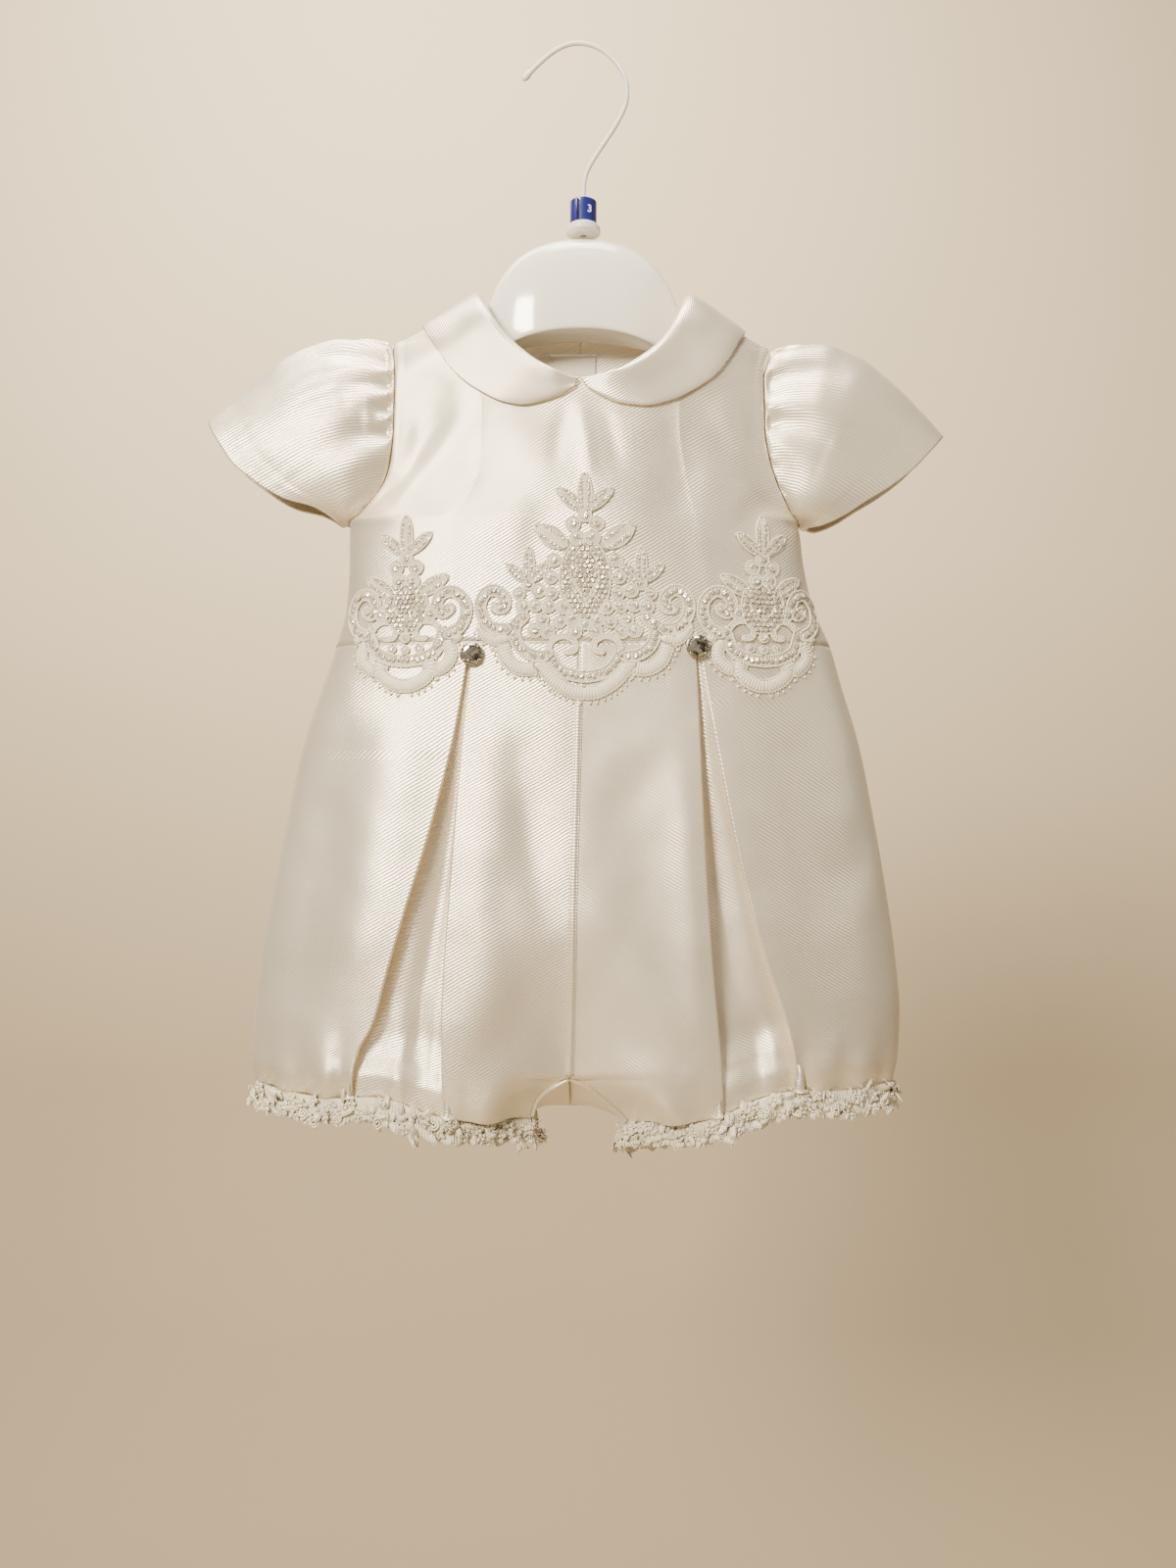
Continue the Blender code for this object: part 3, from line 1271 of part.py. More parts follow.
def make_hook():
    """The coated wire hook, with a ball at its end."""
    length = HOOK_LINE["across"][-1][0]
    along = np.concatenate([(0, 1.0, 2.6, 4.2, 5.2), np.linspace(9, length, 21)])
    radius = smooth(((0, 0.9), (1.0, 1.7), (2.6, 2.1), (4.2, 1.7), (5.2, WIRE), (length, WIRE)), along)
    x, z = smooth(HOOK_LINE["across"], along), smooth(HOOK_LINE["height"], along)
    centre = stack(x, 0, z)
    ahead = unit(tangents(centre[None], 1, False)[0])
    side = stack(-ahead[:, 2], 0, ahead[:, 0])
    turn = np.radians(np.arange(0, 360, 45))[None, :, None]
    sections = centre[:, None] + radius[:, None, None] * (
        side[:, None] * np.cos(turn) + np.array((0, 1, 0)) * np.sin(turn)
    )
    tube("hanger_hook", sections, "hook_wire")


BUSH = (
    (1.65, -97.6),
    (6.2, -97.6),
    (8.8, -96.3),
    (8.8, -94.0),
    (7.4, -92.3),
    (2.9, -92.3),
    (2.9, -80.6),
    (1.65, -80.6),
)
SIZE_RING = ((3.25, -91.9), (6.9, -91.9), (6.9, -80.6), (6.4, -80.2), (3.25, -80.2))


def make_fittings():
    """The bush that carries the hook, and the split size ring on it."""
    turned("hanger_bush", BUSH, "clear_plastic", (STEM_X, 0, 0), sides=16)
    turned("size_ring", SIZE_RING, "size_ring", (STEM_X, 0, 0), sides=20, slit=(-14, 330))


def main():
    """Builds the whole garment and its hanger."""
    for old in list(bpy.data.objects):
        bpy.data.objects.remove(old)
    make_bodice()
    make_welt()
    for side in (LEFT, RIGHT):
        make_sleeve(side)
        make_collar(side)
        make_shorts_front(side)
        make_shorts_back(side)
        make_leg_trims(side)
        make_stone(side)
    for name in MOTIFS:
        make_motif(name)
    make_label()
    make_hanger_body()
    make_fittings()
    make_hook()


main()
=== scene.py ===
"""The looks of a baby's baptism romper in lined satin, on its child's hanger.

Sizes in the tables are in millimetres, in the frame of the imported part: the origin is under the
top of the hook, +Z is up and the garment's front faces -Y. Left and right are the viewer's.
"""

import math

import bmesh
import bpy
import numpy as np
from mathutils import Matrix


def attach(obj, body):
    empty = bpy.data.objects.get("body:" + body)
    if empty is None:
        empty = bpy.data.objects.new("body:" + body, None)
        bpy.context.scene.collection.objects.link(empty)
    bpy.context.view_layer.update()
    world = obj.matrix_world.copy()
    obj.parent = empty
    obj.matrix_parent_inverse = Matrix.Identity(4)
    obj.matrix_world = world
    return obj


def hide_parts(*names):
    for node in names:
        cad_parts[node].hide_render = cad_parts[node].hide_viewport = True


bl_info = {
    "name": "Baptism romper",
    "version": (1, 0, 0),
    "blender": (4, 5, 0),
    "location": "3D View > Sidebar > Romper",
    "description": "Builds the looks of a satin baptism romper on its hanger",
    "category": "Object",
}

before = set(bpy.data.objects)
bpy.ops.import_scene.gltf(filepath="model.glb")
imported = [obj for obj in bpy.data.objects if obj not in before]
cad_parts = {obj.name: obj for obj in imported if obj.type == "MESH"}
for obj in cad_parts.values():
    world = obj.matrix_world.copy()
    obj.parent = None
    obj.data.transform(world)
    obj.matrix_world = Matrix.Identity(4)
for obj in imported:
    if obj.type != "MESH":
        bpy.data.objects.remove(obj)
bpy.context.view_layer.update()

MM = 0.001
LEFT, RIGHT = -1, 1
SIDES = (LEFT, RIGHT)
FRONT, BACK = "front", "back"
LOOKS = {FRONT: -1.0, BACK: 1.0}
NAMES = {LEFT: "left", RIGHT: "right"}

# Sizes shared by the panels
CLOTH = 1.1
SEAM = 0.2
WAIST = -308.0
CENTRE_END = -520.3
SIDE_HEM = -526.0
CORNER_DEPTH = -14.0
TOP_EDGE = -140.0
RIDGE = 26.0
NECK = {LEFT: 48.5, RIGHT: 52.0}
ARM_DEPTH = {FRONT: 14.0, BACK: 12.0}
ARM_TOP = {LEFT: -153.5, RIGHT: -156.5}
ARM_BOTTOM = {LEFT: -246.0, RIGHT: -246.5}
ARM_GAP = 0.6
UNDERCUT = 2.0
COLLAR = 1.4
BAND = 0.9
WELT = 0.6
# How far from the sides and the seams the folds are still low, and where they end
CALM_SIDE = 14
CALM_SEAM = 24
CALM_END = -540
# How square the body's section is, and the hollow of its front between the legs
SECTION_ROUND = 2.7
CROTCH_HOLLOW = 13.0
CROTCH_TOP = -440
CROTCH_FALL = 80
CROTCH_MIDDLE = -4
CROTCH_WIDTH = 27


def table(names, *rows):
    """A table with named columns. Each column is a list of (first column, value) pairs."""
    columns = {}
    for place, name in enumerate(names.split()):
        columns[name] = [(row[0], row[place]) for row in rows]
    return columns


# Half widths and depths of the body at each height, armholes included
BODY = table(
    "height left right front back",
    (-560, 160, 155, 38, 26), (-527, 165, 159, 41, 29), (-515, 167, 161.5, 43, 30),
    (-492, 165.5, 162.5, 44, 30.5), (-462, 162, 160, 43, 30), (-427, 156, 155, 41, 29),
    (-392, 148.5, 149, 38.5, 27), (-357, 141, 142, 35.5, 25), (-327, 131, 133, 33, 23.5),
    (-308, 124.5, 127.5, 31.5, 22.5), (-287, 119, 118.5, 30, 21.5), (-267, 117.6, 114, 29, 21),
    (-246, 117.3, 110.8, 28.5, 20.5), (-241, 110.8, 106.3, 28.3, 20.4), (-233, 103, 101.5, 28.1, 20.2),
    (-225, 97.3, 97.8, 28, 20), (-213, 94.1, 94, 27.5, 19.5), (-201, 92.9, 92, 27, 19),
    (-175, 92.4, 91.6, 25, 18), (-153, 94.5, 96.5, 22.5, 17), (-118, 94.5, 96.5, 21, 16),
)
SHOULDER = table(
    "across height",
    (-95, -153.5), (-72, -142), (-48.5, -131.5), (-25, -123), (0, -120), (25, -123), (52, -132.5),
    (75, -144), (97, -156.5),
)
NECKLINE = table(
    "across front back",
    (-48.5, -131.5, -131.5), (-46.5, -138.5, -133), (-41, -149.5, -134.8), (-30, -162.5, -137),
    (-17.5, -172, -139), (0, -178.8, -140), (18, -174.5, -139), (32, -166.5, -137.2), (44, -153, -135.2),
    (49.5, -141, -134.2), (52, -132.5, -132.5),
)
CENTRE = table("height across", (-525, -5.1), (-480, -3.9), (-430, -3), (-380, -1.7), (-308, 0.2))
PLEATS = {
    LEFT: table(
        "height inner outer",
        (-540, 64.5, 111), (-520, 65.3, 110), (-505, 65.6, 106.6), (-493, 65.6, 100), (-470, 64.8, 93.5),
        (-437, 62.6, 84), (-401, 60, 73), (-351, 56, 60.6), (-308, 51.4, 53.4),
    ),
    RIGHT: table(
        "height inner outer",
        (-540, 68.8, 105.5), (-516, 67.5, 104.6), (-503, 66.5, 102.4), (-482, 64.5, 96.5),
        (-458, 62.5, 88.5), (-414, 59.9, 77.4), (-356, 57.6, 66.2), (-308, 56, 58),
    ),
}
PLEAT_DEPTH = table(
    "height depth",
    (-545, 2.4), (-527, 4), (-516, 8.5), (-500, 12.5), (-440, 12.5), (-400, 10), (-350, 6), (-308, 1.6),
)
ARCH = {
    LEFT: table(
        "along across height depth",
        (0, -5.1, -520.7, -26), (0.25, -11.4, -524.3, -25), (0.5, -17.7, -528.8, -22),
        (0.75, -21.9, -535, -18), (1, -24, -542.5, -14),
    ),
    RIGHT: table(
        "along across height depth",
        (0, -5.1, -520.7, -26), (0.25, 2.6, -524.4, -25), (0.5, 10.6, -531, -22), (0.75, 17.8, -538, -18),
        (1, 23.5, -545, -14),
    ),
}
FRONT_HEM = {
    LEFT: table(
        "out height",
        (24, -542.5), (49, -539.5), (77, -534), (88, -529.5), (101, -527.5), (121, -529), (165, -526),
    ),
    RIGHT: table(
        "out height",
        (23.5, -545), (58, -538.5), (69, -536), (81, -530.5), (102, -525), (135, -526.5), (160, -526),
    ),
}
BACK_HEM = {
    LEFT: table(
        "along out depth height",
        (0, 24, -14, -542.5), (0.08, 22.5, -2, -546.5), (0.16, 26, 8, -550.5), (0.3, 46, 19, -551),
        (0.5, 80, 27, -545), (0.7, 115, 27, -537.5), (0.86, 145, 20, -531), (0.95, 160.5, 9, -527),
        (1, 165, 0.2, -526),
    ),
    RIGHT: table(
        "along out depth height",
        (0, 23.5, -14, -545), (0.08, 22, -2, -549.5), (0.16, 25, 8, -555), (0.3, 44, 19, -556),
        (0.5, 77, 27, -549), (0.7, 111, 27, -539), (0.86, 140, 20, -531), (0.95, 155, 9, -527),
        (1, 159.3, 0.2, -526),
    ),
}
SEAT_LINE = table(
    "along across depth height",
    (0, 0.2, 22.5, -308), (0.3, -1.7, 26, -380), (0.6, -3.5, 25, -460), (0.8, -4.2, 21, -520),
    (0.88, -4.4, 15, -540), (0.93, -4.6, 2, -541.5), (1, -5.1, -26, -520.7),
)
RIDGE_LINE = {
    LEFT: table(
        "along out height",
        (0, 95, -153.5), (0.08, 102.3, -151.8), (0.16, 110.3, -150.4), (0.27, 121, -150.6),
        (0.44, 137, -154.5), (0.58, 150.5, -161), (0.72, 162.5, -171.5), (0.87, 176, -182.5),
        (1, 189, -192),
    ),
    RIGHT: table(
        "along out height",
        (0, 97, -157), (0.08, 104, -154.8), (0.16, 111, -153.4), (0.3, 124.7, -153.2), (0.42, 135.4, -157),
        (0.52, 144.8, -161.3), (0.65, 155.5, -169.2), (0.77, 164.8, -177.5), (0.88, 173.6, -187),
        (1, 184.9, -200.3),
    ),
}
CUFF_LINE = {
    LEFT: table(
        "along out height",
        (0, 189, -192), (0.05, 186.8, -197.2), (0.16, 180.2, -207.6), (0.3, 172.6, -217.9),
        (0.4, 165.3, -223.7), (0.53, 154.6, -231.1), (0.62, 146.8, -235), (0.76, 133.8, -238.4),
        (0.88, 127.4, -241.6), (1, 121.5, -246),
    ),
    RIGHT: table(
        "along out height",
        (0, 184.9, -200.3), (0.14, 174.6, -211.6), (0.27, 165.8, -220.5), (0.42, 154.3, -229.1),
        (0.58, 141.4, -236.9), (0.7, 132.5, -242.6), (0.82, 124.2, -246.4), (0.92, 119.5, -247.6),
        (1, 115.5, -247.4),
    ),
}
SLEEVE_DEPTH = {FRONT: 15, BACK: 12.0}
SLEEVE_PUFF = 5.0
# Where the hem's stitching lies, as a share of the sleeve's length
SLEEVE_STITCH = 0.87
# The gathers of each sleeve cap: where a fold starts at the seam and ends, in degrees from the
# ridge round the front, how far it reaches along the sleeve, its height and its half width
GATHERS = {
    LEFT: (
        (8, 2, 0.22, 1.4, 5), (16, 9, 0.25, -1.6, 5), (27, 17, 0.42, 2.4, 8), (41, 31, 0.44, -3.4, 7),
        (52, 46, 0.4, 2.6, 6), (61, 58, 0.34, -3.2, 5), (69, 69, 0.3, 2.6, 5), (77, 79, 0.16, -2.8, 4),
        (84, 85, 0.22, 2.6, 4), (91, 90, 0.62, -3.6, 7), (103, 108, 0.95, 1.8, 10),
        (345, 352, 0.3, -1.8, 6), (332, 340, 0.4, 2.2, 7), (318, 325, 0.36, -2.8, 6),
        (305, 312, 0.42, 2.2, 7), (291, 293, 0.3, -2.6, 6), (278, 279, 0.36, 2, 7),
        (264, 262, 0.5, -2.2, 8),
    ),
    RIGHT: (
        (8, 4, 0.2, 1.2, 6), (17, 12, 0.24, -1.4, 5), (33, 26, 0.6, 2, 13), (50, 45, 0.5, -3.2, 6),
        (58, 60, 0.34, -1.6, 9), (74, 72, 0.62, 2.2, 7), (84, 84, 0.55, -2.6, 7), (97, 100, 0.5, 1.4, 9),
        (344, 350, 0.26, -1.8, 6), (330, 338, 0.4, 2, 8), (315, 322, 0.38, -2.6, 6),
        (301, 305, 0.44, 2.4, 7), (286, 288, 0.32, -2.4, 6), (272, 271, 0.42, 1.8, 8),
    ),
}
COLLAR_EDGE = {
    LEFT: table(
        "along out height",
        (0, 2.5, -183), (0.12, 9, -186.8), (0.24, 17, -190), (0.37, 27.5, -192.2), (0.5, 37.5, -190.5),
        (0.64, 48.5, -185), (0.78, 60.5, -175.5), (0.9, 70.5, -162), (1, 79.5, -145.6), (1.15, 73, -160),
        (1.4, 55, -167.5), (1.7, 29, -170), (2, 1, -170.5),
    ),
    RIGHT: table(
        "along out height",
        (0, 2.5, -183), (0.12, 10, -187.5), (0.24, 20.5, -191.5), (0.37, 32, -192.4), (0.5, 44, -189.6),
        (0.64, 56, -183.6), (0.78, 67, -175), (0.9, 75.5, -163), (1, 83.3, -148.6), (1.15, 76, -162),
        (1.4, 57, -168.5), (1.7, 30, -170.5), (2, 1, -170.5),
    ),
}
COLLAR_STATIONS = (0, 0.06, 0.13, 0.22, 0.32, 0.43, 0.54, 0.65, 0.76, 0.86, 0.93, 0.97)
COLLAR_BACK_STATIONS = (1, 1.03, 1.07, 1.14, 1.26, 1.42, 1.6, 1.8, 2)
COLLAR_SECTION = table(
    "across lift",
    (0, 2.2), (0.05, 4.2), (0.14, 5.2), (0.32, 4.6), (0.6, 3.4), (0.93, 2.5), (1, 1.9),
)

# Soft folds of the front, as a line of (across, height), a height (a trough where negative) and
# the half widths on the line's left and right, seen from its start
FRONT_FOLDS = (
    (((-78, -194), (-56, -212), (-30, -237)), -2.4, 13, 20),
    (((-64, -176), (-74, -196), (-88, -226)), -3.2, 11, 12),
    (((-50, -198), (-68, -214), (-92, -240)), 2.6, 10, 9),
    (((-44, -222), (-60, -236), (-78, -252)), -1.4, 9, 9),
    (((0, -192), (3, -208), (5, -228)), 1, 4, 4),
    (((-6, -192), (-10, -206), (-12, -220)), -0.7, 4, 4),
    (((12, -194), (16, -208), (18, -222)), -0.6, 4, 4),
    (((48, -196), (50, -220), (44, -250)), -2, 12, 12),
    (((68, -186), (84, -208), (97, -230)), 2.8, 9, 9),
    (((100, -236), (88, -240), (79, -252)), -2.4, 5, 7),
    (((-14, -236), (-20, -252), (-26, -270)), -0.8, 8, 8),
    (((60, -250), (64, -268), (66, -286)), 0.8, 9, 9),
    (((-30, -352), (-24, -400), (-14, -452)), -2.4, 14, 9),
    (((-46, -360), (-48, -430), (-42, -500)), 1.8, 12, 14),
    (((-24, -470), (-34, -496), (-50, -514)), -2.6, 15, 12),
    (((22, -360), (30, -420), (36, -470)), -1.2, 13, 16),
    (((14, -488), (32, -502), (52, -516)), -2.2, 13, 12),
    (((50, -360), (54, -430), (58, -500)), 1.4, 9, 8),
    (((-84, -334), (-96, -400), (-112, -470)), 2.4, 16, 18),
    (((-118, -350), (-128, -420), (-138, -490)), -2.4, 16, 16),
    (((-128, -500), (-120, -514), (-108, -524)), 1.6, 10, 10),
    (((78, -340), (92, -400), (108, -470)), 2, 14, 16),
    (((98, -352), (114, -420), (128, -480)), -3, 16, 18),
    (((146, -398), (140, -414), (128, -430)), -1.8, 12, 14),
    (((118, -500), (128, -512), (142, -520)), 1.6, 10, 10),
)
BACK_FOLDS = (
    (((-60, -184), (-76, -206), (-90, -232)), -2.6, 11, 11),
    (((58, -186), (76, -210), (92, -234)), -2.4, 11, 12),
    (((-30, -200), (-36, -240), (-34, -280)), 1.6, 14, 14),
    (((34, -214), (30, -250), (36, -290)), -1.6, 14, 13),
    (((-44, -330), (-56, -400), (-60, -480)), -3, 16, 18),
    (((-86, -330), (-100, -410), (-112, -500)), 2.4, 16, 16),
    (((46, -330), (58, -400), (60, -470)), 2.6, 17, 16),
    (((84, -334), (100, -400), (116, -490)), -2.8, 16, 18),
    (((-20, -470), (-40, -500), (-60, -520)), -1.8, 12, 12),
    (((20, -480), (42, -504), (66, -520)), 1.8, 12, 12),
)
# Soft folds inside each pleat, in the same way
PLEAT_FOLDS = {
    LEFT: (
        (((-70, -536), (-71, -506), (-72, -476)), 1.8, 4, 5),
        (((-79, -533), (-79, -512), (-78, -484)), -2.2, 4, 4),
        (((-88, -532), (-87, -510), (-84, -486)), 2.2, 4, 5),
        (((-98, -530), (-96, -514), (-93, -494)), -2.4, 4, 3.5),
        (((-62, -384), (-73, -450), (-84, -506)), -1.6, 5, 4),
    ),
    RIGHT: (
        (((73, -536), (74, -508), (73, -476)), 1.5, 4, 5),
        (((85, -532), (87, -514), (86, -490)), -2.8, 4, 4),
        (((95, -530), (96, -514), (93, -498)), 3, 3.5, 4),
        (((101, -528), (100, -518), (99, -508)), -2, 2.5, 3),
        (((62, -380), (72, -440), (82, -500)), -1.3, 5, 4),
    ),
}
# Gathered tucks just above each leg's hem: where they stand, out from the centre, with their
# height and half width
HEM_TUCKS = {
    LEFT: ((30, -0.7, 4), (41, 0.8, 5), (54, -0.6, 4), (92, 1.2, 4), (98, -1.8, 3.5), (105, 1.4, 5),
           (116, -2.2, 4), (124, 1.2, 6), (136, -1.4, 5), (146, 1, 5), (155, -1, 4)),
    RIGHT: ((29, -0.6, 4), (42, 0.8, 5), (56, -0.7, 5), (88, 1.4, 4), (94, -2.6, 3), (99, 2.2, 3.5),
            (108, -1.8, 4), (118, 1, 6), (129, -1.2, 5), (140, 1, 5), (151, -1, 4)),
}


# Curves and vectors


def smooth(pairs, at):
    """Value at each place of a smooth curve through (place, value) pairs, without overshoot."""
    place, value = (np.array(column, float) for column in zip(*sorted(pairs)))
    step = np.diff(place)
    slope = np.diff(value) / step
    level = slope[:-1] * slope[1:] <= 0
    first, after = np.where(level, 1, slope[:-1]), np.where(level, 1, slope[1:])
    near, far = 2 * step[1:] + step[:-1], step[1:] + 2 * step[:-1]
    inner = np.where(level, 0, (near + far) / (near / first + far / after))
    tangent = np.concatenate([slope[:1], inner, slope[-1:]])
    at = np.clip(np.asarray(at, float), place[0], place[-1])
    k = np.clip(np.searchsorted(place, at, side="right") - 1, 0, len(step) - 1)
    t = (at - place[k]) / step[k]
    ends = (1 + 2 * t) * (1 - t) ** 2 * value[k] + t * t * (3 - 2 * t) * value[k + 1]
    return ends + step[k] * (t * (1 - t) ** 2 * tangent[k] + t * t * (t - 1) * tangent[k + 1])


def ease(t):
    """0 to 1 with level ends."""
    t = np.clip(t, 0, 1)
    return t * t * (3 - 2 * t)


def unit(vectors):
    """Each vector at length 1."""
    vectors = np.asarray(vectors, float)
    return vectors / np.maximum(np.linalg.norm(vectors, axis=-1, keepdims=True), 1e-9)


def stack(x, y, z):
    """Points from three arrays that broadcast together."""
    return np.stack(np.broadcast_arrays(x, y, z), axis=-1).astype(float)


def lengths_along(path):
    """The length along a path at each of its points."""
    return np.concatenate([[0], np.cumsum(np.linalg.norm(np.diff(path, axis=0), axis=1))])


def beside(path):
    """The direction to the left of a flat path at each of its points."""
    ahead = unit(np.gradient(path, axis=0))
    return np.stack([-ahead[:, 1], ahead[:, 0]], axis=1)


def finer(values, times):
    """The values with evenly spread ones put between each two."""
    values = np.asarray(values, float)
    spots = np.linspace(0, len(values) - 1, (len(values) - 1) * times + 1)
    return np.interp(np.round(spots, 9), np.arange(len(values)), values)


def normals(points, outside, closed=False):
    """Unit normals of a grid, on the side that outside shows at its middle."""
    if closed:
        across = np.roll(points[:, :-1], -1, 1) - np.roll(points[:, :-1], 1, 1)
        across = np.concatenate([across, across[:, :1]], axis=1)
    else:
        across = np.gradient(points, axis=1)
    normal = unit(np.cross(across, np.gradient(points, axis=0)))
    middle = normal[normal.shape[0] // 2, normal.shape[1] // 2]
    return normal if np.dot(middle, outside) > 0 else -normal


def facing_front(normal, row, column):
    """The normals of a grid, turned so that the one at a row and column faces the front."""
    return -normal if normal[row, column, 1] > 0 else normal


def ring_normals(points):
    """Unit normals of a closed grid, away from its middle."""
    normal = normals(points, (0, -1, 0), closed=True)
    row = len(points) // 2
    return normal if np.sum(normal[row] * (points[row] - points[row].mean(0))) > 0 else -normal


def kept(normal, x, y, z):
    """Normals with some components taken out, where an edge has to meet another panel."""
    return unit(normal * np.array([x, y, z], float))


def along_line(x, z, line):
    """Distance to a line of (across, height) points, its side from -1 to 1, the share reached."""
    line = np.asarray(line, float)
    reached = lengths_along(line)
    reached = reached / reached[-1]
    best, sign, share = np.full(x.shape, 1e9), np.ones(x.shape), np.zeros(x.shape)
    for k in range(len(line) - 1):
        span = line[k + 1] - line[k]
        t = np.clip(((x - line[k, 0]) * span[0] + (z - line[k, 1]) * span[1]) / (span @ span), 0, 1)
        away_x, away_z = x - line[k, 0] - span[0] * t, z - line[k, 1] - span[1] * t
        far = np.hypot(away_x, away_z)
        nearer = far < best
        best = np.where(nearer, far, best)
        turned = (span[0] * away_z - span[1] * away_x) / (np.hypot(*span) * np.maximum(far, 1e-6))
        sign = np.where(nearer, turned, sign)
        share = np.where(nearer, reached[k] + (reached[k + 1] - reached[k]) * t, share)
    return best, sign, share


def fold_heights(folds, x, z):
    """How far a set of soft folds lifts the cloth at each place."""
    lift = np.zeros(np.broadcast(x, z).shape)
    x, z = np.broadcast_arrays(x, z)
    for line, height, left, right in folds:
        far, sign, share = along_line(x, z, line)
        width = (left + right) / 2 + (left - right) / 2 * sign
        fade = 0.25 + 0.75 * np.sin(np.pi * np.clip(share, 0, 1)) ** 0.7
        lift = lift + height * fade * np.exp(-((far / width) ** 2))
    return lift


# The body


def body_edge(side, z):
    """Where the body's edge lies across at each height."""
    return side * smooth(BODY[NAMES[side]], z)


def armhole_depth(side, face, z):
    """How far the body's edge stands from the shoulder line: the armhole, then the side seam."""
    middle = (ARM_TOP[side] + ARM_BOTTOM[side]) / 2
    half = (ARM_TOP[side] - ARM_BOTTOM[side]) / 2
    level = np.clip(1 - ((z - middle) / half) ** 2, 0, 1)
    return ARM_DEPTH[face] * level**0.4


def drop_round(drop):
    """How far a shoulder has rounded out, 0 to 1, at each drop below the shoulder line."""
    return np.sqrt(1 - (1 - np.clip(drop / RIDGE, 0, 1)) ** 2)


def depth(face, x, z):
    """How far the front or back of the body stands from the plane of the hanger."""
    x, z = np.broadcast_arrays(np.asarray(x, float), np.asarray(z, float))
    left, right = body_edge(LEFT, z), body_edge(RIGHT, z)
    across = np.clip((x - left) / (right - left), 0, 1)
    edge = np.where(across < 0.5, armhole_depth(LEFT, face, z), armhole_depth(RIGHT, face, z))
    fullness = np.sqrt(np.clip(1 - np.abs(2 * across - 1) ** SECTION_ROUND, 0, 1))
    full = smooth(BODY[face], z) * fullness + edge * (1 - fullness) ** 2
    if face == FRONT:
        low = ease((CROTCH_TOP - z) / CROTCH_FALL)
        full = full - CROTCH_HOLLOW * low * np.exp(-(((x - CROTCH_MIDDLE) / CROTCH_WIDTH) ** 2))
    return full * drop_round(smooth(SHOULDER["height"], x) - z)


def calm(x, z):
    """1 inside the body and 0 at its edges and seams, where folds die out."""
    left, right = body_edge(LEFT, z), body_edge(RIGHT, z)
    edge = np.minimum(x - left, right - x)
    return ease(edge / CALM_SIDE) * ease(np.abs(z - WAIST) / CALM_SEAM) * ease((z - CALM_END) / CALM_SEAM)


def draped(face, x, z):
    """How far the cloth stands out at each place, with its folds."""
    x, z = np.broadcast_arrays(np.asarray(x, float), np.asarray(z, float))
    folds = FRONT_FOLDS if face == FRONT else BACK_FOLDS
    ripple = 0.35 * np.sin(x / 17 + z / 41) * np.sin(z / 23 - x / 37)
    return depth(face, x, z) + (fold_heights(folds, x, z) + ripple) * calm(x, z)


def on_body(face, x, z, lift=0.0):
    """Points on the draped cloth, or lifted off it."""
    x, z = np.broadcast_arrays(np.asarray(x, float), np.asarray(z, float))
    points = stack(x, LOOKS[face] * np.maximum(draped(face, x, z), SEAM), z)
    if np.any(lift):
        step = 0.8
        slope_x = (draped(face, x + step, z) - draped(face, x - step, z)) / (2 * step)
        slope_z = (draped(face, x, z + step) - draped(face, x, z - step)) / (2 * step)
        normal = unit(stack(-slope_x, LOOKS[face], -slope_z))
        points = points + normal * np.asarray(lift)[..., None]
    return points


def rolled(x, z, face):
    """Distance down over the rounded shoulder to a height, negative on the front."""
    drop = np.maximum(smooth(SHOULDER["height"], x) - z, 0)
    turn = RIDGE * np.arccos(1 - np.minimum(drop / RIDGE, 1))
    return LOOKS[face] * (turn + np.maximum(drop - RIDGE, 0))


def over_shoulder(x, roll):
    """The point of the body at a distance down over the shoulder, as rolled() gives it."""
    around = np.abs(roll) / RIDGE
    drop = RIDGE * (1 - np.cos(np.minimum(around, math.pi / 2)))
    z = smooth(SHOULDER["height"], x) - drop - RIDGE * np.maximum(around - math.pi / 2, 0)
    y = np.where(roll < 0, -depth(FRONT, x, z), depth(BACK, x, z))
    return stack(x, y, z)


# Making pieces


def new_piece(name, points, faces, material, uv=None):
    """A new object from points in millimetres, shaded smooth, with a UV for each point."""
    mesh = bpy.data.meshes.new(name)
    mesh.from_pydata((np.asarray(points) * MM).tolist(), [], faces)
    if uv is not None:
        layer = mesh.uv_layers.new(name="cloth")
        corner = np.empty(len(mesh.loops), int)
        mesh.loops.foreach_get("vertex_index", corner)
        layer.data.foreach_set("uv", (np.asarray(uv) * MM)[corner].astype(np.float32).ravel())
    mesh.shade_smooth()
    mesh.materials.append(material)
    piece = bpy.data.objects.new(name, mesh)
    bpy.context.scene.collection.objects.link(piece)
    return piece


def turn_outwards(piece, merge=False):
    """Turns the faces outwards, after joining points that lie on each other where merge is set."""
    edit = bmesh.new()
    edit.from_mesh(piece.data)
    if merge:
        bmesh.ops.remove_doubles(edit, verts=edit.verts, dist=1e-6)
    bmesh.ops.recalc_face_normals(edit, faces=edit.faces)
    edit.to_mesh(piece.data)
    edit.free()
    return piece


def show(piece, nodes, slot=None):
    """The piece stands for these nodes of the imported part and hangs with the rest."""
    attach(piece, "root")
    if nodes:
        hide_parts(*nodes)
    return piece


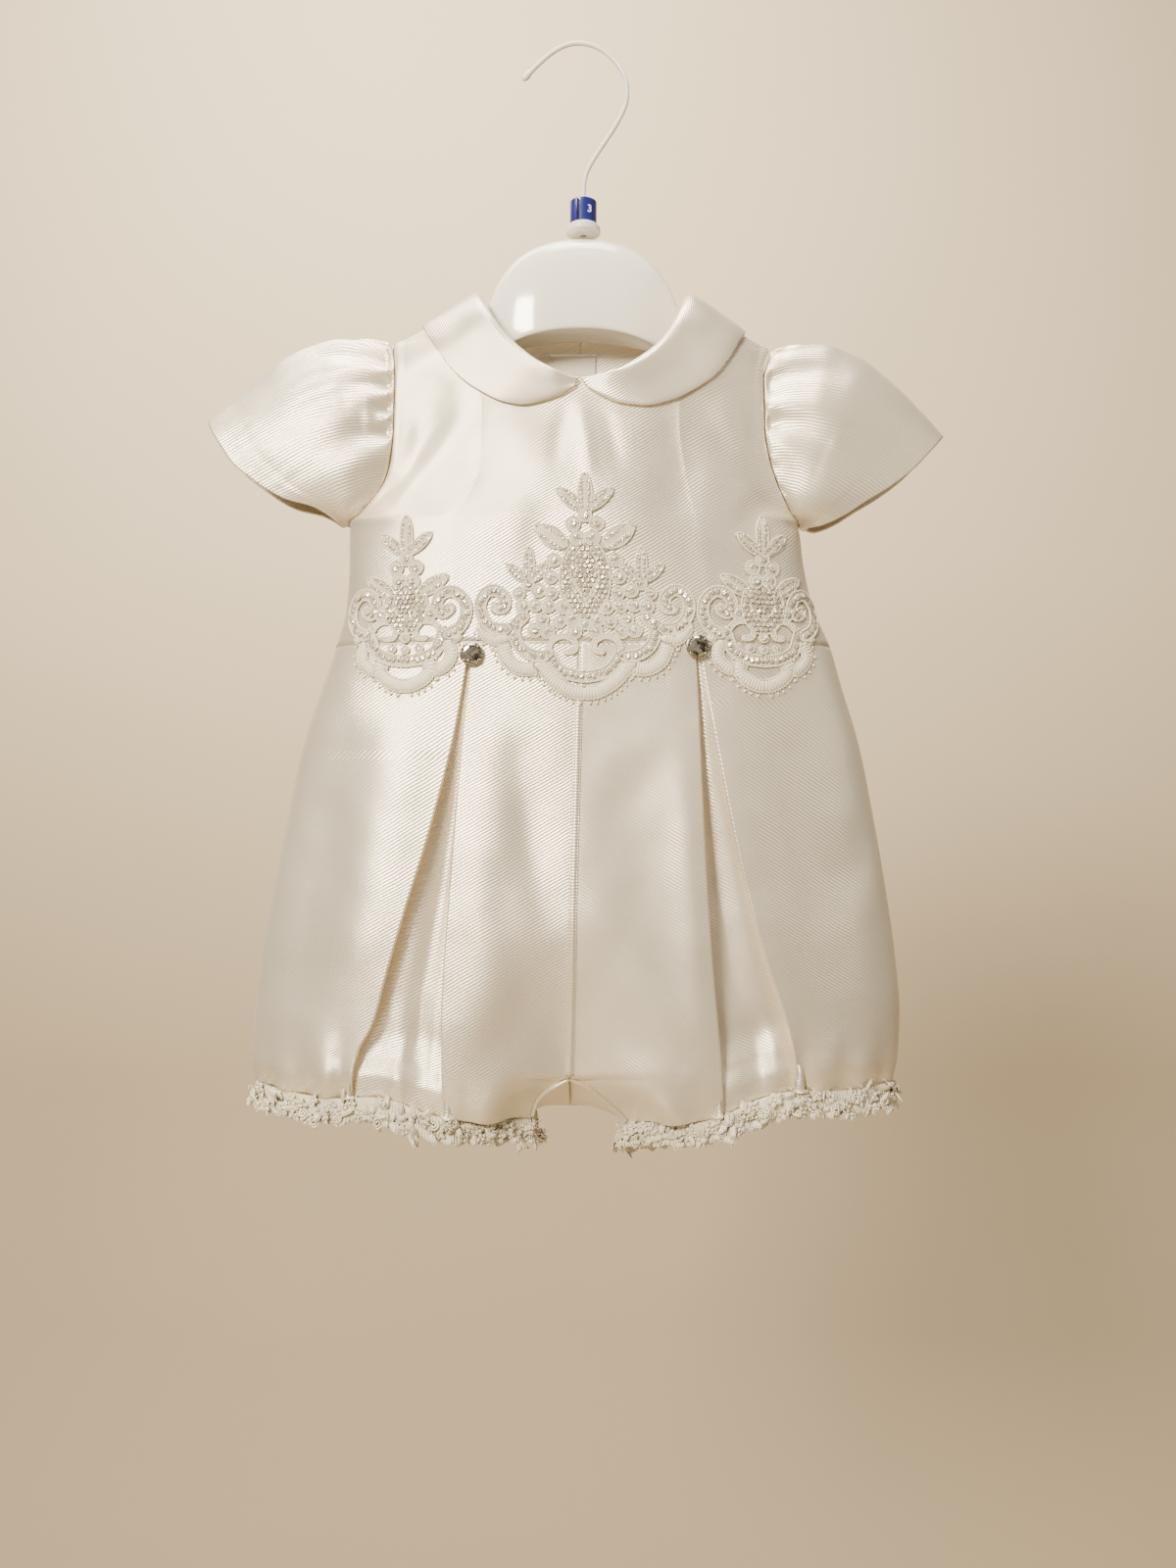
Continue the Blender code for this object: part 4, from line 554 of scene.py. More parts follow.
def weave_map(outer, across_sign, up_sign, middle, angle, rows_first=False, level=0):
    """Lengths along and across the ribs at each point of a grid of cloth.

    The grid's columns run sideways and its rows downwards, or the other way with rows_first.
    Lengths down are measured from the row named level, which lies straight.
    """
    side = np.linalg.norm(np.diff(outer, axis=1), axis=-1)
    side = np.concatenate([np.zeros((len(outer), 1)), np.cumsum(side, axis=1)], axis=1)
    side = side - side[:, middle : middle + 1]
    down = np.linalg.norm(np.diff(outer, axis=0), axis=-1)
    down = np.concatenate([np.zeros((1, outer.shape[1])), np.cumsum(down, axis=0)], axis=0)
    down = down - down[level][None, :]
    u, v = (down, side) if rows_first else (side, down)
    u, v = u * across_sign, v * up_sign
    turn = math.radians(angle)
    return stack(u * math.cos(turn) + v * math.sin(turn), v * math.cos(turn) - u * math.sin(turn), 0)[..., :2]


def shell(name, outer, normal, thickness, material, uv, closed=False):
    """A closed shell of cloth under a grid of outer points."""
    rows, columns = outer.shape[:2]
    inner = outer - normal * thickness
    count = rows * columns
    i, j = np.meshgrid(np.arange(rows - 1), np.arange(columns - 1), indexing="ij")
    start = (i * columns + j).ravel()
    quads = np.stack([start, start + 1, start + columns + 1, start + columns], axis=1)
    base = (rows - 1) * columns
    across, down = np.arange(columns - 1), np.arange(rows - 1) * columns
    rims = [(across, across + 1), (base + across + 1, base + across)]
    if not closed:
        rims += [(down + columns, down), (down + columns - 1, down + 2 * columns - 1)]
    edges = [np.stack([q, p, p + count, q + count], axis=1) for p, q in rims]
    faces = np.concatenate([quads, quads[:, ::-1] + count] + edges)
    points = np.concatenate([outer.reshape(-1, 3), inner.reshape(-1, 3)])
    flat = uv.reshape(-1, 2)
    piece = new_piece(name, points, faces.tolist(), material, np.concatenate([flat, flat]))
    return turn_outwards(piece, merge=True)


def satin_piece(node, outer, normal, uv, cloth, thickness=CLOTH, closed=False):
    """A shell of satin that stands for a node of the part."""
    piece = shell(f"satin_{node}", outer, normal, thickness, satin(cloth), uv, closed)
    return show(piece, [node], "satin")


def tube_points(path, radius, sides):
    """Rings of points round a path, both in millimetres."""
    ahead = unit(np.gradient(path, axis=0))
    side = unit(np.cross(ahead, (0.0, -1.0, 0.0)))[:, None]
    up = np.cross(side, ahead[:, None])
    turn = np.linspace(0, 2 * np.pi, sides, endpoint=False)[None, :, None]
    return path[:, None] + (side * np.cos(turn) + up * np.sin(turn)) * radius


class Heap:
    """Points, faces and UVs gathered from many small shapes into one piece."""

    def __init__(self):
        self.points, self.faces, self.uv, self.count = [], [], [], 0

    def add(self, points, faces, uv=None):
        points = np.asarray(points, float).reshape(-1, 3)
        self.points.append(points)
        self.faces += [tuple(k + self.count for k in face) for face in faces]
        self.uv.append(np.zeros((len(points), 2)) if uv is None else np.asarray(uv, float).reshape(-1, 2))
        self.count += len(points)

    def tube(self, path, radius, sides=6, closed=False):
        """A tube along a path, closed on itself or at its two ends."""
        path = np.asarray(path, float)
        if closed:
            rings = tube_points(np.concatenate([path[-1:], path, path[:1]]), radius, sides)[1:-1]
        else:
            rings = tube_points(path, radius, sides)
        rows = len(rings)
        faces = []
        for r in range(rows if closed else rows - 1):
            after = (r + 1) % rows
            for c in range(sides):
                e = (c + 1) % sides
                faces.append((r * sides + c, r * sides + e, after * sides + e, after * sides + c))
        if not closed:
            faces.append(tuple(range(sides)))
            faces.append(tuple((rows - 1) * sides + c for c in reversed(range(sides))))
        around = np.arange(sides) / sides
        uv = np.stack(np.broadcast_arrays(lengths_along(path)[:, None], around[None, :]), axis=-1)
        self.add(rings, faces, uv)

    def bend(self, lay):
        """Moves all the points by a way to lay them."""
        self.points = [lay(np.concatenate(self.points))]

    def piece(self, name, material):
        """The heap as one object with its faces outwards."""
        uv = np.concatenate(self.uv)
        return turn_outwards(new_piece(name, np.concatenate(self.points), self.faces, material, uv))


# Materials


class Nodes:
    """Short ways to build a material's nodes."""

    def __init__(self, tree):
        self.tree = tree

    def node(self, kind, inputs=(), **settings):
        """A node with its settings, and inputs given as values or as other nodes' sockets."""
        node = self.tree.nodes.new(kind)
        for name, value in settings.items():
            setattr(node, name, value)
        self.set(node, dict(inputs))
        return node

    def link(self, value, socket):
        """Links a socket, or sets the value where it is a plain one."""
        if isinstance(value, bpy.types.NodeSocket):
            self.tree.links.new(value, socket)
        else:
            socket.default_value = value

    def set(self, node, inputs):
        """Sets or links several of a node's inputs."""
        for name, value in inputs.items():
            self.link(value, node.inputs[name])

    def math(self, operation, *values):
        """A Math node's result."""
        node = self.node("ShaderNodeMath", operation=operation)
        for value, socket in zip(values, node.inputs):
            self.link(value, socket)
        return node.outputs[0]

    def mix(self, share, first, second):
        """A colour between two, by a share."""
        node = self.node("ShaderNodeMix", data_type="RGBA")
        for value, place in ((share, 0), (first, 6), (second, 7)):
            self.link(value, node.inputs[place])
        return node.outputs[2]

    def noise(self, vector, scale, detail=2.0):
        """A noise from 0 to 1."""
        inputs = {"Vector": vector, "Scale": scale, "Detail": detail}
        return self.node("ShaderNodeTexNoise", inputs).outputs["Fac"]

    def object_place(self):
        """The place on the object."""
        return self.node("ShaderNodeTexCoord").outputs["Object"]

    def bump(self, height, strength, distance):
        """A normal bumped by a height."""
        inputs = {"Height": height, "Strength": strength, "Distance": distance}
        return self.node("ShaderNodeBump", inputs).outputs["Normal"]

    def group(self, tree, inputs):
        """A shader group with its inputs."""
        return self.node("ShaderNodeGroup", inputs, node_tree=tree)


def new_group(name, inputs, outputs):
    """An empty shader node group with named sockets."""
    tree = bpy.data.node_groups.new(name, "ShaderNodeTree")
    for socket, kind, value in inputs:
        made = tree.interface.new_socket(name=socket, in_out="INPUT", socket_type=kind)
        if value is not None:
            made.default_value = value
    for socket, kind in outputs:
        tree.interface.new_socket(name=socket, in_out="OUTPUT", socket_type=kind)
    return tree, Nodes(tree), tree.nodes.new("NodeGroupInput"), tree.nodes.new("NodeGroupOutput")


def twill_group():
    """Fine raised ribs that run along a map's first direction, with their threads."""
    if "Twill weave" in bpy.data.node_groups:
        return bpy.data.node_groups["Twill weave"]
    tree, n, given, result = new_group(
        "Twill weave",
        (
            ("Map", "NodeSocketVector", None),
            ("Pitch", "NodeSocketFloat", 0.0015),
            ("Threads", "NodeSocketFloat", 0.0004),
        ),
        (("Height", "NodeSocketFloat"), ("Rib", "NodeSocketFloat")),
    )
    split = n.node("ShaderNodeSeparateXYZ", {"Vector": given.outputs["Map"]})
    wander = n.math("MULTIPLY", n.noise(given.outputs["Map"], 60.0, 1.0), 0.0011)
    across = n.math("ADD", split.outputs["Y"], wander)
    turns = n.math("MULTIPLY", n.math("DIVIDE", across, given.outputs["Pitch"]), 2 * math.pi)
    rib = n.math("MULTIPLY_ADD", n.math("SINE", turns), 0.5, 0.5)
    along = n.math("MULTIPLY", n.math("DIVIDE", split.outputs["X"], given.outputs["Threads"]), 2 * math.pi)
    yarn = n.math("MULTIPLY_ADD", n.math("SINE", n.math("ADD", along, turns)), 0.09, 0.0)
    grain = n.math("MULTIPLY", n.noise(given.outputs["Map"], 2600.0, 2.0), 0.2)
    height = n.math("ADD", n.math("ADD", rib, yarn), grain)
    n.link(height, result.inputs["Height"])
    n.link(rib, result.inputs["Rib"])
    return tree


def new_material(name):
    """A material with its Principled shader and its nodes."""
    material = bpy.data.materials.new(name)
    material.use_nodes = True
    nodes = Nodes(material.node_tree)
    return material, nodes, material.node_tree.nodes["Principled BSDF"]


def satin(cloth):
    """Ivory duchesse satin with its diagonal ribs."""
    if "ivory satin" in bpy.data.materials:
        return bpy.data.materials["ivory satin"]
    material, n, shader = new_material("ivory satin")
    where = n.node("ShaderNodeUVMap", uv_map="cloth").outputs["UV"]
    twill = n.group(twill_group(), {"Map": where, "Pitch": cloth.rib_pitch, "Threads": 0.0004})
    place = n.object_place()
    cloudy = n.noise(place, 16.0)
    colour = tuple(cloth.satin)
    warm = (colour[0] * 0.96, colour[1] * 0.93, colour[2] * 0.86, 1.0)
    tone = n.mix(n.math("MULTIPLY_ADD", cloudy, 0.7, -0.1), (*colour, 1.0), warm)
    # Painted shade: the colour darkens between the ribs, where the weave's grooves lie.
    between = n.math("MULTIPLY", n.math("SUBTRACT", 1.0, twill.outputs["Rib"]), 0.22)
    shade = n.mix(between, tone, (0.5, 0.45, 0.37, 1.0))
    n.link(shade, shader.inputs["Base Color"])
    rough = n.math("MULTIPLY_ADD", twill.outputs["Rib"], -0.07, cloth.roughness + 0.04)
    n.link(n.math("MULTIPLY_ADD", cloudy, 0.06, rough), shader.inputs["Roughness"])
    soft = n.noise(place, 24.0, 1.0)
    height = n.math("MULTIPLY_ADD", soft, 25.0, twill.outputs["Height"])
    n.link(n.bump(height, cloth.rib_strength, 0.00014), shader.inputs["Normal"])
    n.set(shader, {
        "Metallic": 0.62, "Sheen Weight": 0.1, "Sheen Roughness": 0.4, "Specular IOR Level": 0.7,
    })
    return material


def stitch_group():
    """Fine satin stitches that cross a map's first direction, and a twist for cords."""
    if "Stitches" in bpy.data.node_groups:
        return bpy.data.node_groups["Stitches"]
    tree, n, given, result = new_group(
        "Stitches",
        (
            ("Map", "NodeSocketVector", None),
            ("Pitch", "NodeSocketFloat", 0.0005),
            ("Slant", "NodeSocketFloat", 0.3),
        ),
        (("Height", "NodeSocketFloat"),),
    )
    split = n.node("ShaderNodeSeparateXYZ", {"Vector": given.outputs["Map"]})
    slanted = n.math("MULTIPLY_ADD", split.outputs["Y"], given.outputs["Slant"], split.outputs["X"])
    wander = n.math("MULTIPLY_ADD", n.noise(given.outputs["Map"], 500.0, 1.0), 0.0005, slanted)
    turns = n.math("MULTIPLY", n.math("DIVIDE", wander, given.outputs["Pitch"]), 2 * math.pi)
    wave = n.math("MULTIPLY_ADD", n.math("SINE", turns), 0.5, 0.5)
    fuzz = n.noise(given.outputs["Map"], 2200.0)
    n.link(n.math("MULTIPLY_ADD", fuzz, 0.6, wave), result.inputs["Height"])
    return tree


def thread(name, colour, deep, pitch, slant, strength, roughness, hollow_shade=0.0):
    """A material of laid threads, stitched or twisted, with painted shade between its stitches and in its
    narrow gaps.
    """
    if name in bpy.data.materials:
        return bpy.data.materials[name]
    material, n, shader = new_material(name)
    where = n.node("ShaderNodeUVMap", uv_map="cloth").outputs["UV"]
    stitches = n.group(stitch_group(), {"Map": where, "Pitch": pitch, "Slant": slant})
    # Painted shade: the colour runs towards the deep colour between the stitches and the turns of the twist.
    low = n.math("MULTIPLY", n.math("SUBTRACT", 1.1, stitches.outputs["Height"]), 0.36)
    laid = n.mix(low, (*colour, 1.0), (*deep, 1.0))
    # Painted shade: ambient occlusion darkens the colour in narrow gaps, where cords meet the ground.
    open_air = n.node("ShaderNodeAmbientOcclusion", {"Distance": 0.0016}, samples=8).outputs["AO"]
    hollow_shade_share = n.math("MULTIPLY", n.math("SUBTRACT", 0.95, open_air), hollow_shade)
    dark = tuple(0.42 * value for value in deep)
    n.link(n.mix(n.math("MINIMUM", hollow_shade_share, 0.8), laid, (*dark, 1.0)), shader.inputs["Base Color"])
    n.link(n.bump(stitches.outputs["Height"], strength, 0.0003), shader.inputs["Normal"])
    n.set(shader, {"Roughness": roughness, "Sheen Weight": 0.25, "Sheen Roughness": 0.35})
    return material


def lace_cloth(trim):
    """The stitched ground of the lace."""
    ground = tuple(0.95 * value for value in trim.lace)
    return thread("lace thread", ground, tuple(trim.shadow), 0.0014, 0.0, 1.0, 0.36, 1.9)


def lace_cord(trim):
    """The twisted cord along the lace's edges."""
    pale = tuple(min(value * 1.05, 0.98) for value in trim.lace)
    return thread("lace cord", pale, tuple(trim.shadow), 0.00095, 0.0007, 0.8, 0.38)


def sequin(trim):
    """Clear sequins that flash a little pink and blue."""
    if "sequin" in bpy.data.materials:
        return bpy.data.materials["sequin"]
    material, n, shader = new_material("sequin")
    spots = n.noise(n.object_place(), 420.0, 1.0)
    n.link(n.mix(spots, (0.98, 0.9, 0.74, 1.0), (0.78, 0.7, 0.56, 1.0)), shader.inputs["Base Color"])
    n.link(n.math("MULTIPLY_ADD", spots, 420.0, 120.0), shader.inputs["Thin Film Thickness"])
    n.set(shader, {"Metallic": 0.55, "Roughness": trim.sequin_roughness, "Coat Weight": 0.6})
    return material


def pearl(trim):
    """The tiny beads of the lace's edge."""
    if "seed bead" in bpy.data.materials:
        return bpy.data.materials["seed bead"]
    material, n, shader = new_material("seed bead")
    n.set(shader, {"Base Color": (*trim.lace, 1.0), "Roughness": 0.22, "Coat Weight": 0.5})
    return material


def plastic(name, colour, roughness, inner=0.0, coat=0.0):
    """Moulded plastic with a fine unevenness, letting some light in."""
    if name in bpy.data.materials:
        return bpy.data.materials[name]
    material, n, shader = new_material(name)
    where = n.object_place()
    patches = n.noise(where, 90.0, 3.0)
    n.link(n.math("MULTIPLY_ADD", patches, 0.06, roughness - 0.03), shader.inputs["Roughness"])
    n.link(n.bump(n.noise(where, 45.0, 2.0), 0.06, 0.0006), shader.inputs["Normal"])
    n.set(shader, {
        "Base Color": (*colour, 1.0), "Subsurface Weight": inner,
        "Subsurface Radius": (0.004, 0.004, 0.004), "Coat Weight": coat, "Coat Roughness": 0.05,
    })
    return material


# Bodice

BODICE_ROWS = (
    0, 0.012, 0.035, 0.075, 0.13, 0.21, 0.3, 0.385, 0.463, 0.515, 0.566, 0.605, 0.69, 0.78, 0.89, 1,
)
SHOULDER_COLUMNS = (1, 0.95, 0.82, 0.6, 0.34, 0.12, 0.0)
NECK_COLUMNS = (0.94, 0.86, 0.74, 0.6, 0.42, 0.21)
BODICE_DETAIL = 5
# How wide the pressed seam allowance of the armhole shows, and how far it lifts the satin
PRESSED = 3.0
PRESSED_RISE = 0.55


def bodice_columns(side):
    """Where one half's columns start along the top edge, from the armhole to the centre."""
    tip, neck = float(body_edge(side, TOP_EDGE)), side * NECK[side]
    return [neck + (tip - neck) * share for share in SHOULDER_COLUMNS] + [
        neck * share for share in NECK_COLUMNS
    ]


def bodice_panel(name, face, columns, cloth, centre_edge=None):
    """A bodice panel from the places of its columns along the shoulder and neckline."""
    columns = finer(columns, BODICE_DETAIL)
    left, right = float(body_edge(LEFT, TOP_EDGE)), float(body_edge(RIGHT, TOP_EDGE))
    share = (columns - left) / (right - left)
    on_neck = (columns > -NECK[LEFT]) & (columns < NECK[RIGHT])
    top = np.where(on_neck, smooth(NECKLINE[face], columns), smooth(SHOULDER["height"], columns))
    v = finer(BODICE_ROWS, BODICE_DETAIL)[:, None]
    z = top * (1 - v) + (WAIST + SEAM) * v
    x = body_edge(LEFT, z) + (body_edge(RIGHT, z) - body_edge(LEFT, z)) * share
    outer = on_body(face, x, z)
    # The seam allowance is pressed under the edge of the armhole
    edge = np.minimum(x - body_edge(LEFT, z), body_edge(RIGHT, z) - x)
    strip = ease(edge / 0.8) * (1 - ease((edge - PRESSED) / 1.2)) * ease((z - ARM_BOTTOM[LEFT]) / 12)
    normal = normals(outer, (0, LOOKS[face], 0))
    outer = outer + normal * (strip * PRESSED_RISE)[..., None]
    seam = np.abs(outer[..., 1]) <= SEAM + 1e-6
    normal[seam] = kept(normal[seam] + (0, 0, 0.01), 1, 0, 1)
    normal[0][seam[0]] = unit(kept(normal[0][seam[0]], 1, 0, 0) * 0.4 + (0, 0, 1))
    normal[-1] = kept(normal[-1], 1, 1, 0)
    if centre_edge is not None:
        normal[:, centre_edge] = kept(normal[:, centre_edge], 0, 1, 1)
    middle = int(np.argmin(np.abs(columns)))
    uv = weave_map(outer, 1, -1, middle, cloth.rib_angle, level=-1)
    return satin_piece(name, outer, normal, uv, cloth)


# Sleeves

SLEEVE_ROWS = (
    0, 0.03, 0.07, 0.11, 0.16, 0.22, 0.28, 0.35, 0.42, 0.5, 0.58, 0.66, 0.74, 0.81, 0.88, 0.94, 0.975, 1,
)


def armhole_edge(side, face):
    """The line of a bodice panel's armhole and side seam, as (across, depth, height)."""
    rows = finer(BODICE_ROWS, BODICE_DETAIL)
    top = float(smooth(SHOULDER["height"], body_edge(side, TOP_EDGE)))
    z = top * (1 - rows) + (WAIST + SEAM) * rows
    x = body_edge(side, z)
    return x, np.maximum(depth(face, x, z), SEAM), z


def make_sleeve(side, cloth):
    """A puffed tube from the armhole to the wide hem, gathered at the cap."""
    degrees = np.linspace(0, 360, 181)
    turn = np.radians(degrees)
    front = np.sin(turn) >= 0
    top, bottom = ARM_TOP[side] - SEAM, ARM_BOTTOM[side] + SEAM
    z = (top + bottom) / 2 + (top - bottom) / 2 * np.cos(turn)
    edge_x, front_y, edge_z = armhole_edge(side, FRONT)
    back_y = armhole_edge(side, BACK)[1]
    hole_depth = np.where(front, np.interp(-z, -edge_z, front_y), np.interp(-z, -edge_z, back_y))
    face = np.where(front, LOOKS[FRONT], LOOKS[BACK]) * np.where(np.abs(np.sin(turn)) < 1e-6, 0, 1)
    hole = stack(np.interp(-z, -edge_z, edge_x) + side * ARM_GAP, face * hole_depth, z)
    along = (1 - np.cos(turn)) / 2
    mouth_depth = np.where(front, SLEEVE_DEPTH[FRONT], SLEEVE_DEPTH[BACK])
    mouth_depth = mouth_depth * np.abs(np.sin(turn)) ** 0.8
    mouth = CUFF_LINE[side]
    cuff = stack(side * smooth(mouth["out"], along), face * mouth_depth, smooth(mouth["height"], along))
    flat = finer(SLEEVE_ROWS, 3)[:, None]
    t = flat[..., None]
    outer = hole * (1 - t) + cuff * t
    top_line = RIDGE_LINE[side]
    ridge = stack(side * smooth(top_line["out"], flat), 0, smooth(top_line["height"], flat))
    bulge = ridge - (hole[:1] * (1 - t) + cuff[:1] * t)
    outer = outer + bulge * (np.clip(np.cos(turn / 2) ** 2, 0, 1)[None, :, None]) ** 1.5
    swell = SLEEVE_PUFF * np.sin(np.pi * flat) * np.abs(np.sin(turn))
    outer[..., 1] += face * swell
    normal = facing_front(normals(outer, (0, -1, 0), closed=True), len(flat) // 2, len(turn) // 4)
    lift = np.zeros(outer.shape[:2])
    for start, end, reach, height, width in GATHERS[side]:
        centre = start + (end - start) * np.clip(flat / reach, 0, 1)
        away = (degrees[None, :] - centre + 180) % 360 - 180
        spread = width * (0.75 + 0.9 * flat / reach)
        fade = ease(flat / 0.035) * np.clip(1 - flat / reach, 0, 1) ** 0.8
        lift = lift + height * fade * np.exp(-((away / spread) ** 2))
    crinkle = np.sin(degrees * 0.42 + side) + 0.6 * np.sin(degrees * 0.71 + 1.0)
    lift = lift + 0.35 * crinkle * np.clip(1 - flat / 0.12, 0, 1) * ease(flat / 0.02)
    wave = np.sin(np.radians(degrees) * 5 + flat * 4 + side)
    lift = lift + 0.5 * wave * ease(flat / 0.4) * ease((1 - flat) / 0.2)
    hem = np.exp(-(((flat - SLEEVE_STITCH) / 0.012) ** 2)) * -0.3
    outer = outer + normal * (lift + hem)[..., None]
    outer[:, -1] = outer[:, 0]
    normal = facing_front(normals(outer, (0, -1, 0), closed=True), len(flat) // 2, len(turn) // 4)
    normal[0] = kept(normal[0], 0, 1, 1)
    uv = weave_map(outer, side, -1, len(degrees) // 4, -8 if side == LEFT else 10, rows_first=True)
    return satin_piece(f"sleeve_{NAMES[side]}", outer, normal, uv, cloth, closed=True)


# Collar


def make_collar(side, cloth):
    """One collar half, from the centre front over the shoulder to the centre back."""
    stations = finer(COLLAR_STATIONS + COLLAR_BACK_STATIONS, 5)
    on_front = stations < 1
    front_share = np.sin(np.clip(stations, 0, 1) * np.pi / 2) ** 0.86
    back_share = np.sin(np.clip(2 - stations, 0, 1) * np.pi / 2) ** 0.7
    neck_x = side * np.where(on_front, front_share, back_share) * NECK[side]
    neck_x = np.where(np.abs(neck_x) < 0.6, side * 0.6, neck_x)
    neck_z = np.where(on_front, smooth(NECKLINE[FRONT], neck_x), smooth(NECKLINE[BACK], neck_x))
    edge = COLLAR_EDGE[side]
    edge_x, edge_z = side * smooth(edge["out"], stations), smooth(edge["height"], stations)
    neck_roll = np.where(on_front, rolled(neck_x, neck_z, FRONT), rolled(neck_x, neck_z, BACK))
    edge_roll = np.where(on_front, rolled(edge_x, edge_z, FRONT), rolled(edge_x, edge_z, BACK))
    across = finer((0, 0.05, 0.14, 0.32, 0.6, 0.85, 0.95, 1.0), 4)[:, None]
    x = neck_x * (1 - across) + edge_x * across
    roll = neck_roll * (1 - across) + edge_roll * across
    base = over_shoulder(x, roll)
    normal = facing_front(normals(base, (0, 0, 1)), len(across) // 2, 8)
    narrow = 0.25 + 0.75 * ease(stations / 0.16)
    lift = 2.2 + (smooth(COLLAR_SECTION["lift"], across) - 2.2) * narrow
    lift = lift + 0.4 * np.sin(stations * 7 + side) * np.sin(np.pi * across)
    outer = base + normal * lift[..., None]
    facing = normals(outer, normal[len(across) // 2, len(stations) // 2])
    uv = weave_map(outer, side, -1, 0, 14 * side)
    return satin_piece(f"collar_{NAMES[side]}", outer, facing, uv, cloth, COLLAR)


# Shorts

SHORTS_ROWS = (0, 0.03, 0.09, 0.18, 0.28, 0.38, 0.48, 0.58, 0.68, 0.77, 0.85, 0.905, 0.93, 0.955, 0.98, 1)
ARCH_START = 0.905
CENTRE_SHARES = (0, 0.12, 0.3, 0.5, 0.7, 0.87, 0.97, 1.0)
SIDE_SHARES = (0, 0.03, 0.1, 0.24, 0.44, 0.64, 0.82, 0.94, 1.0)
SHORTS_DETAIL = 5
HEM_ROLL = 1.5
HEM_STEPS = 5
# The pleat's inside, from one fold edge to the other: its share of the opening and of the depth
PLEAT_INSIDE = (
    (-0.6, 0.12), (-0.4, 0.3), (0.0, 0.55), (0.5, 0.8), (1.0, 1.0), (10.0, 1.02), (22.0, 1.04),
    (36.0, 1.06), (44.0, 0.98), (56.0, 0.93), (70.0, 0.9), (84.0, 0.88), (94.0, 0.9), (99.0, 0.9),
    (99.5, 0.75), (100.0, 0.52), (100.4, 0.28), (100.6, 0.1),
)


def front_boundary(side, rows):
    """The inner edge of a front panel: down the centre seam, then along the arch to the hem."""
    down = np.clip(rows / ARCH_START, 0, 1)
    z = (WAIST - SEAM) * (1 - down) + CENTRE_END * down
    x = smooth(CENTRE["across"], z) + side * SEAM
    y = -depth(FRONT, x, z)
    along = np.clip((rows - ARCH_START) / (1 - ARCH_START), 0, 1)
    arch = ARCH[side]
    on_arch = along > 1e-9
    x = np.where(on_arch, smooth(arch["across"], along) + side * 0.3, x)
    z = np.where(on_arch, smooth(arch["height"], along), z)
    y = np.where(on_arch, smooth(arch["depth"], along) - 0.4, y)
    return x, y, z, along


def arch_normal(side, along):
    """The direction out of both panels that meet at the arch: down at its peak, then inward."""
    turn = along * np.pi / 2
    return unit(stack(-side * np.sin(turn), -1.0, -np.cos(turn)))


def hem_lift(side, out, above):
    """How far the tucks over the hem lift the cloth, at a height above the hem."""
    lift = np.zeros(np.broadcast(out, above).shape)
    for place, height, width in HEM_TUCKS[side]:
        lift = lift + height * np.exp(-(((out - place) / width) ** 2))
    above = np.maximum(above, 0)
    return lift * 1.5 * np.exp(-((above / 17) ** 1.5)) - 1.7 * np.clip(1 - above / 13, 0, 1) ** 2


def turned_hem(outer, inward):
    """The grid with its last row rolled under, towards the inside."""
    rolls = []
    for k in range(1, HEM_STEPS + 1):
        turn = math.pi * k / HEM_STEPS
        level = inward * (HEM_ROLL * (1 - math.cos(turn)))
        rolls.append(outer[-1] + level + np.array((0, 0, -1.0)) * HEM_ROLL * math.sin(turn) * 0.8)
    return np.concatenate([outer, np.array(rolls)])


